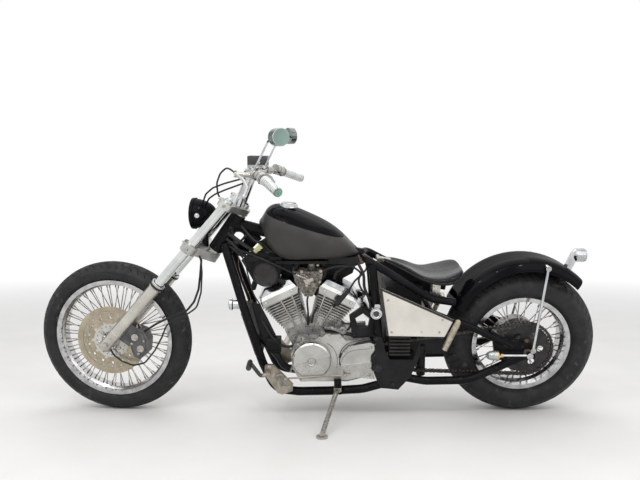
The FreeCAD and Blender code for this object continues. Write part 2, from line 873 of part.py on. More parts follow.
def triple_clamps():
    """Upper and lower clamps with the stem that turns in the neck."""
    half = s.neck_length / 2
    low = -half - s.clamp_bearing_gap - s.lower_clamp_thick
    high = half + s.clamp_bearing_gap
    lower = clamp(low, s.lower_clamp_thick)
    stem = rod(neck_point(low + s.overrun), neck_point(high - s.seam), s.stem_radius)
    race = rod(neck_point(-half - s.clamp_bearing_gap - s.overrun), neck_point(-half - s.seam),
               s.neck_radius - s.overrun)
    keep("lower_clamp_and_stem", fused([lower, stem, race]), True)
    upper = clamp(high, s.upper_clamp_thick)
    top_race = rod(neck_point(half + s.seam), neck_point(high + s.overrun), s.neck_radius - s.overrun)
    nut = rod(neck_point(high + s.upper_clamp_thick - s.overrun),
              neck_point(high + s.upper_clamp_thick + s.stem_nut_height), s.stem_nut_radius)
    keep("upper_clamp", fused([upper, nut, top_race]).cut(stem), True)


def front_axle():
    """The axle through both legs and the hub, with its spacers and heads."""
    end = s.fork_spread + s.slider_radius
    bar = rod(FRONT_AXLE - ACROSS * end, FRONT_AXLE + ACROSS * end, s.front_axle_radius)
    heads = []
    for side in (LEFT, RIGHT):
        start = FRONT_AXLE + ACROSS * side * end
        heads.append(rod(start, start + ACROSS * side * s.overrun, s.front_axle_radius * 1.6))
        hub_side = s.front_hub_width / 2 + s.seam
        leg_side = s.fork_spread - s.slider_radius - s.fit
        if side == RIGHT:
            heads.append(rod(FRONT_AXLE + ACROSS * hub_side, FRONT_AXLE + ACROSS * leg_side,
                             s.front_axle_radius * 1.8))
    keep("front_axle", fused([bar] + heads), True)


HEADLIGHT_FACE = spot(0.360, 0, 0.874)


def headlight():
    """A round bowl behind a rimmed lens, on a bracket from the lower clamp."""
    radius = s.headlight_radius
    depth = s.headlight_depth
    bowl_shares = ((1, 0), (1, 0.14), (0.93, 0.36), (0.80, 0.60), (0.58, 0.82), (0.30, 0.96), (0, 1))
    points = [Vector(radius * r, 0, depth * d) for r, d in bowl_shares]
    curve = Part.BSplineCurve()
    curve.interpolate(points[1:])
    edges = [Part.LineSegment(ORIGIN, points[0]).toShape(), Part.LineSegment(points[0], points[1]).toShape(),
             curve.toShape(), Part.LineSegment(points[-1], ORIGIN).toShape()]
    bowl = Part.Face(Part.Wire(edges)).revolve(ORIGIN, UP, 360)
    rim_ring = Part.makeCylinder(radius + s.rim_wall / 2, s.headlight_rim, ORIGIN, UP)
    tilt = Rotation(UP, BACK)
    shape = fused([bowl, rim_ring])
    shape.Placement = Placement(HEADLIGHT_FACE, tilt)
    low = -s.neck_length / 2 - s.clamp_bearing_gap
    foot = neck_point(low - s.lower_clamp_thick / 2, s.neck_radius)
    top = HEADLIGHT_FACE + BACK * s.headlight_arm_back - UP * s.headlight_arm_drop
    arm = rod(foot, top, s.stem_radius)
    eye = rod(top - ACROSS * s.stem_radius, top + ACROSS * s.stem_radius, s.stem_radius)
    bracket = fused([arm, eye]).cut(shape_of("lower_clamp_and_stem"))
    keep("headlight", shape.fuse(bracket), True)


GRIP_INNER = spot(0.692, -0.207, 1.036)
GRIP_OUTER = spot(0.765, -0.312, 0.998)
BAR_SHARES = ((0.606, -0.080, 1.044), (0.640, -0.140, 1.046), (0.692, -0.207, 1.036), (0.7285, -0.2595, 1.017))


def handlebar():
    """Risers, the pulled-back bar and its grips, one side the mirror of the other."""
    top = s.neck_length / 2 + s.clamp_bearing_gap + s.upper_clamp_thick
    left = spots(BAR_SHARES)
    shapes = [tube(list(reversed(left)) + mirrored(left, RIGHT), s.bar_radius, s.bar_bend)]
    sleeve = s.riser_radius + s.riser_cap
    for side, _ in SIDES:
        across = side * s.fork_spread / 2
        foot = neck_point(top, s.riser_ahead, across)
        seat_point = Vector(left[0].x, across, left[0].z)
        shapes.append(rod(foot, seat_point, s.riser_radius))
        shapes.append(rod(seat_point - ACROSS * sleeve, seat_point + ACROSS * sleeve, sleeve))
        inner, outer = mirrored([GRIP_INNER, GRIP_OUTER], side)
        bar_end = mirrored(left[-1:], side)[0]
        start = inner + (bar_end - inner).normalize() * s.grip_start
        shapes.append(rod(start, outer, s.grip_radius))
    keep("handlebar", fused(shapes).cut(shape_of("upper_clamp")), True)


PERCH_SHARES = ((0.646, -0.148, 1.045), (0.571, -0.145, 1.050))
LEVER_SHARES = ((0.571, -0.145, 1.050), (0.615, -0.195, 1.030), (0.640, -0.245, 1.006), (0.640, -0.305, 0.980))
RESERVOIR_BASE = spot(0.603, 0.140, 1.054)


def bar_controls(side, name):
    """Switch housing, lever perch and lever on one side; the right has the brake's cup."""
    inner, outer = mirrored([GRIP_INNER, GRIP_OUTER], side)
    way = Vector(outer - inner).normalize()
    housing = rod(inner - way * s.switch_length, inner + way * (s.grip_start - s.fit) / 2, s.switch_radius)
    perch, pivot = mirrored(spots(PERCH_SHARES), side)
    bar_way = (inner - perch).normalize()
    collar = rod(perch - bar_way * s.perch_length / 2, perch + bar_way * s.perch_length / 2, s.perch_radius)
    nose = rod(perch, pivot, s.perch_nose_radius)
    lever = tube(mirrored(spots(LEVER_SHARES), side), s.lever_radius, s.lever_bend)
    shapes = [housing, collar, nose, lever]
    if side == RIGHT:
        shapes.append(block(s.reservoir_length, s.reservoir_width, s.reservoir_height,
                            Placement(RESERVOIR_BASE, Rotation())))
    keep(name + "_bar_controls", fused(shapes).cut(shape_of("handlebar")), True)


MIRROR_SHARES = ((0.628, -0.114, 1.046), (0.652, -0.112, 1.090), (0.697, -0.112, 1.180), (0.741, -0.146, 1.189))


def mirror(side):
    """A small oval mirror on a bent stem from the bar, turned a little outward."""
    points = mirrored(spots(MIRROR_SHARES), side)
    stem = tube(points, s.mirror_stem_radius, s.mirror_bend)
    head = Part.makeCylinder(s.mirror_height / 2, s.mirror_thick)
    stretch = FreeCAD.Matrix()
    stretch.scale(1, s.mirror_width / s.mirror_height, 1)
    head = head.transformGeometry(stretch)
    turn = Rotation(UP, side * s.mirror_turn).multiply(Rotation(UP, BACK))
    head.Placement = Placement(points[-1] - turn.multVec(UP) * s.mirror_thick / 2, turn)
    return fused([stem, head]).cut(shape_of("handlebar"))


def left_slider():
    """The left slider as a plain rod, to cut what sits against it."""
    return rod(fork_point(-s.slider_foot, LEFT), fork_point(s.slider_length, LEFT), s.slider_radius)


CALIPER_CORNER = spot(0.088, 0, 0.262)
CALIPER_SHARES = ((0.10, 0.30), (0.0, 0.62), (0.06, 0.86), (0.40, 1.0), (0.78, 0.92), (1.0, 0.62), (0.92, 0.20),
                  (0.55, 0.0), (0.22, 0.06))
CALIPER_ARM_SHARES = ((0.0, 0.28), (0.0, 1.0), (1.0, 1.0), (1.0, 0.34))


def caliper():
    """The brake caliper over the disc's rear edge, on a bracket from the slider."""
    body = side_plate(CALIPER_SHARES, CALIPER_CORNER, s.caliper_length, s.caliper_height, LEFT,
                      s.disc_side - s.caliper_inset, s.caliper_width)
    half_gap = s.disc_thick / 2 + s.running_gap
    slot = rod(FRONT_AXLE - ACROSS * (s.disc_side + half_gap), FRONT_AXLE - ACROSS * (s.disc_side - half_gap),
               s.disc_radius + s.running_gap)
    arm_side = s.fork_spread - s.slider_radius / 2
    arm = [fork_point(up * s.caliper_arm_rise, 0, off * s.caliper_arm_reach) - ACROSS * arm_side
           for off, up in CALIPER_ARM_SHARES]
    keep("front_caliper", fused([body, slab(arm, s.bracket_thick)]).cut(slot).cut(left_slider()), True)


BRAKE_HOSE_SHARES = ((0.402, -0.060, 0.722), (0.402, -0.060, 0.686), (0.396, -0.062, 0.628), (0.390, -0.070, 0.570),
                     (0.374, -0.086, 0.520),
                     (0.345, -0.095, 0.484), (0.287, -0.095, 0.461), (0.215, -0.092, 0.424), (0.140, -0.070, 0.372))
SPEEDO_SHARES = ((0.000, -0.080, 0.330), (0.002, -0.080, 0.298), (0.018, -0.082, 0.272),
                 (0.053, -0.084, 0.248), (0.104, -0.094, 0.236),
                 (0.158, -0.100, 0.252), (0.204, -0.100, 0.309), (0.237, -0.100, 0.369), (0.258, -0.100, 0.420),
                 (0.290, -0.104, 0.446), (0.346, -0.106, 0.470), (0.386, -0.092, 0.498), (0.404, -0.084, 0.560),
                 (0.408, -0.076, 0.640), (0.405, -0.074, 0.690), (0.394, -0.074, 0.730))
CLUTCH_CABLE_SHARES = ((0.578, -0.150, 1.049), (0.553, -0.140, 1.066), (0.531, -0.120, 1.071),
                       (0.502, -0.104, 1.048), (0.486, -0.100, 1.009), (0.488, -0.096, 0.968), (0.502, -0.080, 0.930))
THROTTLE_SHARES = ((0.600, -0.048, 1.030), (0.560, -0.090, 1.020), (0.519, -0.100, 1.009), (0.466, -0.090, 0.989),
                   (0.432, -0.070, 0.962), (0.404, -0.030, 0.914))
SWITCH_LEAD_SHARES = ((0.592, -0.046, 1.010), (0.560, -0.080, 0.998), (0.516, -0.084, 0.982),
                      (0.469, -0.070, 0.962), (0.438, -0.046, 0.942), (0.416, -0.012, 0.916))


def front_hoses():
    """The brake hose, the speedometer cable and the bar's cables, all on the fork."""
    lower, upper, bars, lamp = [shape_of(label) for label in
                                ("lower_clamp_and_stem", "upper_clamp", "handlebar", "headlight")]
    runs = ((BRAKE_HOSE_SHARES, s.hose_radius, (lower, shape_of("front_caliper"))),
            (SPEEDO_SHARES, s.cable_radius, (shape_of("front_axle"), left_slider(), lower)),
            (CLUTCH_CABLE_SHARES, s.cable_radius, (shape_of("left_bar_controls"), upper)),
            (THROTTLE_SHARES, s.cable_radius, (bars, lamp)),
            (SWITCH_LEAD_SHARES, s.cable_radius, (bars, lamp)))
    cords = []
    for shares, radius, others in runs:
        cord = tube(spots(shares), radius, s.hose_bend)
        for other in others:
            cord = largest(cord.cut(other))
        cords.append(cord)
    keep("front_hoses", Part.makeCompound(cords), True)


def largest(shape):
    """The biggest solid of a shape that a cut has left in pieces."""
    return max(shape.Solids, key=lambda solid: solid.Volume)


def front_fork():
    """Everything that turns with the fork, up to the handlebar."""
    for side, name in SIDES:
        fork_leg(side, name)
    front_axle()
    triple_clamps()
    headlight()
    handlebar()
    for side, name in SIDES:
        bar_controls(side, name)
    keep("mirrors", Part.makeCompound([mirror(side) for side, _ in SIDES]), True)
    caliper()
    front_hoses()


# Frame
CRADLE_SHARES = ((0.487, -0.022, 0.752), (0.528, -0.070, 0.640), (0.570, -0.098, 0.500), (0.640, -0.100, 0.262),
                 (0.692, -0.100, 0.140), (0.790, -0.100, 0.127), (0.930, -0.100, 0.130), (1.060, -0.118, 0.148),
                 (1.160, -0.140, 0.190))
SEAT_RAIL_SHARES = ((1.056, -0.020, 0.700), (1.075, -0.080, 0.700), (1.200, -0.105, 0.628), (1.335, -0.108, 0.545),
                    (1.432, -0.100, 0.528))
POST_SHARES = ((1.092, -0.092, 0.686), (1.110, -0.118, 0.520), (1.122, -0.138, 0.370))
BACKBONE_SHARES = ((0.530, 0, 0.835), (0.640, 0, 0.806), (0.900, 0, 0.735), (1.060, 0, 0.704))
GUSSET_SHARES = ((0.560, 0, 0.690), (0.640, 0, 0.770), (0.600, 0, 0.842))
GUSSET_WINDOW = spot(0.545, 0, 0.776)


def head_tube():
    """The neck: a tube bored for the stem, with the plate that ties it to the backbone."""
    half = s.neck_length / 2
    neck = rod(neck_point(-half), neck_point(half), s.neck_radius)
    bore = rod(neck_point(-half - s.overrun), neck_point(half + s.overrun), s.neck_bore_radius)
    outline = [neck_point(-half * 0.85)] + spots(GUSSET_SHARES) + [neck_point(half * 0.7)]
    gusset = slab([point - ACROSS * s.gusset_thick / 2 for point in outline], s.gusset_thick)
    window = rod(GUSSET_WINDOW - ACROSS * s.gusset_thick, GUSSET_WINDOW + ACROSS * s.gusset_thick, s.gusset_window)
    return fused([neck, gusset.cut(window)]).cut(bore)


def frame_tubes():
    """Backbone, the cradle of downtubes and lower rails, seat rails and posts."""
    neck = head_tube()
    solid_neck = rod(neck_point(-s.neck_length / 2), neck_point(s.neck_length / 2), s.neck_radius)
    backbone = tube(spots(BACKBONE_SHARES), s.backbone_radius, s.frame_bend)
    keep("frame_backbone", fused([neck, backbone.cut(solid_neck)]))
    spine = shape_of("frame_backbone")
    plates = shape_of("pivot_plates")
    cradles = []
    seat_rails = []
    for side, _ in SIDES:
        cradle = tube(mirrored(spots(CRADLE_SHARES), side), s.downtube_radius, s.frame_bend)
        cradles.append(largest(cradle.cut(neck).cut(solid_neck).cut(plates)))
        seat_rail = tube(mirrored(spots(SEAT_RAIL_SHARES), side), s.seat_rail_radius, s.frame_bend)
        post = tube(mirrored(spots(POST_SHARES), side), s.seat_rail_radius + s.seam, s.frame_bend)
        seat_rails.append(fused([seat_rail, post]).cut(spine).cut(plates))
    keep("frame_cradle", Part.makeCompound(cradles))
    keep("frame_seat_rails", Part.makeCompound(seat_rails))


PIVOT = spot(1.117, 0, 0.262)
PLATE_CORNER = spot(1.090, 0, 0.165)
PLATE_SHARES = ((0.03, 1.0), (0.21, 0.97), (0.30, 0.69), (0.385, 0.56), (0.86, 0.56), (0.985, 0.91), (1.0, 0.65),
                (0.82, 0.24), (0.575, 0.0), (0.215, 0.03), (0.11, 0.21), (0.005, 0.445), (0.005, 0.554),
                (0.095, 0.675), (0.09, 0.858))


def pivot_plates():
    """The side plates that carry the swingarm pivot, joined by its bolt."""
    shapes = [side_plate(PLATE_SHARES, PLATE_CORNER, s.pivot_plate_length, s.pivot_plate_height, side,
                         s.pivot_plate_side, s.pivot_plate_thick) for side, _ in SIDES]
    reach = s.pivot_plate_side + s.pivot_plate_thick + s.bolt_head
    shapes.append(rod(PIVOT - ACROSS * reach, PIVOT + ACROSS * reach, s.rear_axle_radius))
    keep("pivot_plates", fused(shapes))


SWING_LOW_SHARES = ((1.117, -0.132, 0.262), (1.200, -0.132, 0.215), (1.320, -0.132, 0.192), (1.500, -0.132, 0.196))
SWING_HIGH_SHARES = ((1.330, -0.118, 0.490), (1.400, -0.130, 0.466), (1.500, -0.132, 0.432))
AXLE_PLATE_SHARES = ((-1.0, 1.0), (-0.60, 0.63), (0.20, 0.27), (0.227, -0.27), (-0.40, -0.40), (-0.87, -0.32))
SWING_CROSS = spot(1.334, 0, 0.488)


def axle_place(side, back_share=0, up_share=0):
    """A place by the rear axle, in shares of the arm's end plate."""
    return REAR_AXLE + Vector(back_share * s.axle_plate_length, side * s.swingarm_side,
                              up_share * s.axle_plate_height)


def swingarm():
    """A two-sided triangle of tubes from the pivot and spring mount to the axle."""
    shapes = []
    inner = s.swingarm_side - s.axle_plate_thick / 2
    for side, _ in SIDES:
        low = mirrored(spots(SWING_LOW_SHARES), side) + [axle_place(side, 0, -0.126)]
        high = mirrored(spots(SWING_HIGH_SHARES), side) + [axle_place(side, -0.40, 0.21)]
        shapes.append(tube(low, s.swingarm_radius, s.frame_bend))
        shapes.append(tube(high, s.swingarm_top_radius, s.frame_bend))
        plate = [axle_place(side, x, z) for x, z in AXLE_PLATE_SHARES]
        shapes.append(slab([Vector(p.x, side * inner, p.z) for p in plate], side * s.axle_plate_thick))
    half = s.swingarm_side - s.swingarm_radius / 2
    cross = rod(SWING_CROSS - ACROSS * half, SWING_CROSS + ACROSS * half, s.swingarm_radius * 0.76)
    sleeve_half = s.pivot_plate_side - s.fit
    sleeve = rod(PIVOT - ACROSS * sleeve_half, PIVOT + ACROSS * sleeve_half, s.pivot_sleeve_radius)
    keep("swingarm", fused(shapes + [cross, sleeve]).cut(shape_of("pivot_plates")))


def rear_axle():
    """The rear axle through the arm and the hub, with its nut and head."""
    end = s.swingarm_side + s.axle_plate_thick / 2
    tip = end + s.axle_nut_thick
    bar = rod(REAR_AXLE - ACROSS * (tip + s.bolt_head), REAR_AXLE + ACROSS * tip, s.rear_axle_radius)
    nut = rod(REAR_AXLE - ACROSS * tip, REAR_AXLE - ACROSS * end, s.rear_axle_radius * 1.8)
    head = rod(REAR_AXLE + ACROSS * end, REAR_AXLE + ACROSS * tip, s.rear_axle_radius * 1.6)
    keep("rear_axle", fused([bar, nut, head]).cut(shape_of("swingarm")))


# Engine
HEAD_SIDE_SHARES = ((-0.48, 0.0), (-0.48, 0.62), (-0.27, 0.93), (0.16, 1.0), (0.42, 0.80), (0.53, 0.30), (0.48, 0.0))
HEAD_CROSS_SHARES = ((-0.5, 0.0), (-0.5, 0.38), (-0.34, 0.84), (-0.2, 1.0), (0.2, 1.0), (0.34, 0.84), (0.5, 0.38),
                     (0.5, 0.0))
RIB_SHARES = (0.0, 0.32)


def lean_frame(lean):
    """The place of a cylinder's own frame, its z up the bore."""
    return Placement(CRANK, Rotation(ACROSS, lean))


def cylinder(lean, name):
    """A finned barrel that widens to its head, and the creased cover of its head."""
    foot = s.cylinder_base
    inward = RIGHT if lean < 0 else LEFT
    core = block(s.cylinder_core, s.cylinder_core, s.fin_height, Placement(UP * foot, Rotation()))
    shapes = [core]
    count = int(s.fin_count)
    for index in range(count):
        share = index / (count - 1)
        width = s.fin_foot_width + (s.fin_top_width - s.fin_foot_width) * share
        rise = foot + share * (s.fin_height - s.fin_thick)
        shapes.append(block(width, width * 0.96, s.fin_thick, Placement(UP * rise, Rotation())))
    for share in RIB_SHARES:
        across = inward * share * s.fin_foot_width
        start = Vector(across, -s.fin_foot_width * 0.47, foot)
        end = Vector(across * s.fin_top_width / s.fin_foot_width, -s.fin_top_width * 0.47, foot + s.fin_height)
        shapes.append(rod(start, end, s.fin_rib_radius))
    trim = block(s.span, s.span, s.fin_height, Placement(UP * foot, Rotation()))
    shape = fused(shapes).common(trim)
    shape.Placement = lean_frame(lean)
    keep(name + "_cylinder", shape)
    base = foot + s.fin_height + s.fit
    side_points = [Vector(inward * x * s.head_width, -s.head_depth, base + z * s.head_height)
                   for x, z in HEAD_SIDE_SHARES]
    cross_points = [Vector(-s.head_width, y * s.head_depth, base + z * s.head_height)
                    for y, z in HEAD_CROSS_SHARES]
    head = slab(side_points, 2 * s.head_depth).common(slab(cross_points, 2 * s.head_width, BACK))
    head.Placement = lean_frame(lean)
    keep(name + "_head_cover", head)


CASE_CORNER = spot(0.760, 0, 0.172)
CASE_SHARES = ((0.02, 0.30), (0.0, 0.62), (0.10, 0.98), (0.62, 1.0), (0.66, 0.84), (1.0, 0.80), (1.0, 0.12),
               (0.72, 0.0), (0.12, 0.0))
GEAR_COVER_SHARES = ((0.02, 0.30), (0.0, 0.62), (0.14, 0.86), (0.30, 0.89), (0.343, 0.921), (0.407, 0.958),
                     (0.437, 1.02), (0.509, 1.0), (0.614, 1.01), (0.66, 0.921), (0.70, 0.861), (0.98, 0.861),
                     (0.98, 0.15), (0.72, 0.06), (0.12, 0.02))
SPROCKET_COVER_CORNER = spot(0.962, 0, 0.198)
SPROCKET_COVER_SHARES = ((0.013, 0.52), (0.08, 0.72), (0.237, 0.875), (0.46, 0.94), (0.816, 1.0), (0.93, 0.95),
                         (0.95, 0.70), (0.86, 0.565), (0.84, 0.363), (0.98, 0.024), (0.66, 0.05), (0.24, 0.137),
                         (0.06, 0.30))
GENERATOR = spot(0.847, 0, 0.284)
CLUTCH = spot(0.960, 0, 0.275)
GENERATOR_SHARES = ((0.0, 0.0), (1.0, 0.0), (1.0, 0.62), (0.97, 0.84), (0.90, 1.0), (0.28, 1.0), (0.26, 0.8),
                    (0.0, 0.8))


def crankcase():
    """The cases, one plain block, with the side covers that show."""
    case = side_plate(CASE_SHARES, CASE_CORNER, s.case_length, s.case_height, RIGHT, -s.engine_half_width,
                      2 * s.engine_half_width)
    decks = []
    for lean in (-s.cylinder_lean, s.cylinder_lean):
        deck = block(s.fin_foot_width, s.fin_foot_width, s.cylinder_base - s.fit)
        deck.Placement = lean_frame(lean)
        decks.append(deck)
    room = chain_room()
    case = fused([case] + decks).cut(room)
    for part in made:
        if part.Label.endswith("_cylinder"):
            case = case.cut(part.Shape)
    keep("crankcase", case)
    start = s.engine_half_width + s.fit
    left_cover = side_plate(GEAR_COVER_SHARES, CASE_CORNER, s.case_length, s.case_height, LEFT, start,
                            s.left_cover_thick)
    keep("left_case_cover", left_cover.cut(room))
    right_cover = side_plate(GEAR_COVER_SHARES, CASE_CORNER, s.case_length, s.case_height, RIGHT, start,
                             s.right_cover_thick)
    clutch = rod(CLUTCH + ACROSS * start, CLUTCH + ACROSS * (start + s.clutch_depth), s.clutch_radius)
    keep("right_case_cover", fused([right_cover, clutch]))
    dome_start = start + s.left_cover_thick + s.fit
    dome = turned([(reach * s.cover_radius, -dome_start - depth * s.cover_depth)
                   for reach, depth in GENERATOR_SHARES], GENERATOR)
    keep("alternator_cover", dome)
    cover = side_plate(SPROCKET_COVER_SHARES, SPROCKET_COVER_CORNER, s.sprocket_cover_length,
                       s.sprocket_cover_height, LEFT, dome_start, s.sprocket_cover_thick)
    keep("sprocket_cover", cover.cut(room))


CARBURETTOR = spot(0.833, 0, 0.600)
CARB_SIDE_SHARES = ((0.768, 0.646), (0.895, 0.646), (0.885, 0.600), (0.850, 0.538), (0.818, 0.538), (0.778, 0.600))
CARB_CAP_FOOT = spot(0.847, -0.030, 0.642)
CARB_KNOB = spot(0.854, -0.060, 0.592)
CLEANER_SHARES = ((0.0, 0.0), (0.95, 0.0), (1.0, 0.21), (1.0, 0.71), (0.85, 0.93), (0.0, 1.0))


def intake():
    """Carburettor in the V with its cap and knob, and the air cleaner on the right."""
    cleaner_start = s.engine_half_width + s.fit
    outline = [spot(x, 0, z) - ACROSS * s.carb_half_length for x, z in CARB_SIDE_SHARES]
    shapes = [slab(outline, s.carb_half_length + cleaner_start - s.fit),
              rod(CARB_CAP_FOOT, CARB_CAP_FOOT + UP * s.carb_cap_height, s.carb_cap_radius),
              rod(CARB_KNOB + ACROSS * s.overrun, CARB_KNOB - ACROSS * s.carb_knob_depth, s.carb_knob_radius)]
    shape = fused(shapes)
    for part in made:
        if part.Label.endswith(("_head_cover", "_cylinder")):
            shape = shape.cut(part.Shape)
    keep("carburettor", largest(shape))
    profile = [(reach * s.cleaner_radius, cleaner_start + depth * s.cleaner_depth) for reach, depth in CLEANER_SHARES]
    keep("air_cleaner", turned(profile, CARBURETTOR))


EXHAUST_FRONT_SHARES = ((0.680, 0.050, 0.525), (0.657, 0.112, 0.494), (0.664, 0.140, 0.430), (0.700, 0.156, 0.350),
                        (0.800, 0.170, 0.300), (0.920, 0.180, 0.262), (1.060, 0.186, 0.240), (1.300, 0.188, 0.236))
EXHAUST_REAR_SHARES = ((1.004, 0.030, 0.520), (1.058, 0.072, 0.505), (1.062, 0.168, 0.448), (1.108, 0.199, 0.358),
                       (1.220, 0.196, 0.312), (1.300, 0.192, 0.310))
EXHAUST_ENDS = (spot(1.560, 0.190, 0.248), spot(1.545, 0.192, 0.322))


def exhausts():
    """Two separate pipes down the right side, each with a slim straight muffler."""
    pipes = []
    for shares, end in zip((EXHAUST_FRONT_SHARES, EXHAUST_REAR_SHARES), EXHAUST_ENDS):
        points = spots(shares)
        pipe = tube(points, s.exhaust_radius, s.exhaust_bend)
        muffler = rod(points[-1] - BACK * s.muffler_overlap, end, s.muffler_radius)
        shape = fused([pipe, muffler])
        for part in made:
            if part.Label.endswith(("_cylinder", "_head_cover", "crankcase", "pivot_plates")):
                shape = shape.cut(part.Shape)
        pipes.append(largest(shape))
    keep("exhaust_pipes", Part.makeCompound(pipes))


RADIATOR_BASE = spot(0.624, 0, 0.285)
RADIATOR_TAB_SHARES = ((0.612, 0, 0.330), (0.588, 0, 0.430))
HORN_FACE = spot(0.506, -0.070, 0.508)
HORN_SHARES = ((0.0, 0.0), (0.88, 0.0), (1.0, 0.04), (1.0, 0.18), (0.80, 0.24), (0.82, 0.90), (0.60, 1.0), (0.0, 1.0))
HORN_STEM_SHARES = ((0.545, -0.070, 0.515), (0.545, -0.078, 0.580))


def radiator():
    """A slim radiator between the downtubes, with the horn ahead of it."""
    core = block(s.radiator_depth, s.radiator_width, s.radiator_height,
                 Placement(RADIATOR_BASE, Rotation(ACROSS, -s.radiator_lean)))
    side = ACROSS * s.frame_half_width
    tabs = [rod(place - side, place + side, s.tab_radius) for place in spots(RADIATOR_TAB_SHARES)]
    cradle = shape_of("frame_cradle")
    keep("radiator", largest(fused([core] + tabs).cut(cradle)))
    outline = [Vector(reach * s.horn_radius, 0, depth * s.horn_length) for reach, depth in HORN_SHARES]
    horn = Part.Face(Part.makePolygon(outline + outline[:1])).revolve(ORIGIN, UP, 360)
    horn.Placement = Placement(HORN_FACE, Rotation(UP, BACK))
    first, last = spots(HORN_STEM_SHARES)
    shape = fused([horn, rod(first, last, s.tab_radius)])
    keep("horn", largest(shape.cut(cradle)))


DRUM_CENTRE = spot(0.660, -0.040, 0.640)
DRUM_HANGER = spot(0.660, 0, 0.795)


def side_drum():
    """The round black cover under the tank's front, hung from the backbone."""
    drum = rod(DRUM_CENTRE, DRUM_CENTRE - ACROSS * s.side_drum_depth, s.side_drum_radius)
    hanger = rod(DRUM_CENTRE - ACROSS * s.tab_radius, DRUM_HANGER, s.tab_radius)
    keep("side_drum", largest(fused([drum, hanger]).cut(shape_of("frame_backbone"))))


TRAY_BASE = spot(0.808, 0, 0.683)
TRAY_HANGER_SHARES = (((0.730, 0, 0.690), (0.730, 0, 0.781)), ((0.890, 0, 0.690), (0.890, 0, 0.738)))


def coil_tray():
    """The shallow black tray under the tank, hung from the backbone."""
    shapes = [block(s.tray_length, s.tray_width, s.tray_height, Placement(TRAY_BASE, Rotation()))]
    for shares in TRAY_HANGER_SHARES:
        low, high = spots(shares)
        shapes.append(rod(low, high, s.tab_radius))
    keep("coil_tray", largest(fused(shapes).cut(shape_of("frame_backbone"))))


SWITCH_FOOT = spot(1.106, -0.116, 0.502)


def ignition_switch():
    """The bright key switch on the left seat post."""
    collar_end = SWITCH_FOOT - ACROSS * s.key_switch_reach
    stem = rod(SWITCH_FOOT, collar_end, s.key_switch_radius * 0.6)
    body = rod(collar_end, collar_end - ACROSS * s.key_switch_depth, s.key_switch_radius)
    keep("ignition_switch", largest(fused([stem, body]).cut(shape_of("frame_seat_rails"))))


# Bodywork
TANK_CORNER = spot(0.634, 0, 0.709)
TANK_SECTION_SHARES = ((0, 0), (0.72, 0.0), (0.97, 0.14), (1.0, 0.40), (0.90, 0.70), (0.55, 0.94), (0, 1.0))
TANK_STATION_SHARES = ((0.0, 0.60, 0.70, 0.24), (0.06, 0.42, 0.88, 0.62), (0.14, 0.16, 0.99, 0.88),
                       (0.26, 0.02, 0.985, 0.985), (0.44, 0.0, 0.86, 1.0), (0.64, 0.0, 0.67, 0.90),
                       (0.82, 0.0, 0.42, 0.68), (0.94, 0.02, 0.18, 0.40), (1.0, 0.03, 0.08, 0.16))
TUNNEL_SHARES = ((0.560, 0, 0.640), (0.560, 0, 0.862), (0.900, 0, 0.766), (1.100, 0, 0.722), (1.100, 0, 0.640))
CAP_SHARES = ((0.0, 0.0), (1.0, 0.0), (1.0, 0.6), (0.84, 1.0), (0.0, 1.0))


def section_loop(shares, x, low, high, half):
    """A closed section across the machine, the same on both sides."""
    right = [Vector(x, y * half, low + z * (high - low)) for y, z in shares]
    left = [Vector(p.x, -p.y, p.z) for p in reversed(right[1:-1])]
    return smooth_loop(right + left)


def lofted(section_shares, station_shares, corner, length, height, half):
    """A solid lofted through sections along the machine."""
    wires = []
    for x, low, high, wide in station_shares:
        wires.append(section_loop(section_shares, corner.x + x * length, corner.z + low * height,
                                  corner.z + high * height, wide * half))
    return Part.makeLoft(wires, True, False)


def fuel_tank():
    """The teardrop tank, tunnelled for the backbone, with its filler cap."""
    tank = lofted(TANK_SECTION_SHARES, TANK_STATION_SHARES, TANK_CORNER, s.tank_length, s.tank_height,
                  s.tank_width / 2)
    slack = s.backbone_radius + s.running_gap
    tunnel = [point - ACROSS * slack for point in spots(TUNNEL_SHARES)]
    keep("fuel_tank", tank.cut(slab(tunnel, 2 * slack)))
    seat_point = TANK_CORNER + Vector(s.tank_length * 0.29, 0, s.tank_height * 0.97)
    cap = turned_up([(reach * s.tank_cap_radius, rise * s.tank_cap_height) for reach, rise in CAP_SHARES])
    cap.Placement = Placement(seat_point, Rotation(ACROSS, s.tank_cap_lean))
    keep("tank_cap", cap.cut(shape_of("fuel_tank")))


def turned_up(outline):
    """A solid turned about the upright axis: the outline gives radius and height."""
    points = [Vector(radius, 0, height) for radius, height in outline]
    return Part.Face(Part.makePolygon(points + [points[0]])).revolve(ORIGIN, UP, 360)


FENDER_CENTRE = REAR_AXLE + UP * s.fender_rise + BACK * s.fender_set_back
FENDER_SHARES = ((0.0, -1.0), (0.70, -0.86), (1.0, 0.0), (0.70, 0.86), (0.0, 1.0))


def fender_height(x):
    """Height of the fender's crown at a place along the machine."""
    return FENDER_CENTRE.z + math.sqrt(s.fender_radius ** 2 - (x - FENDER_CENTRE.x) ** 2)


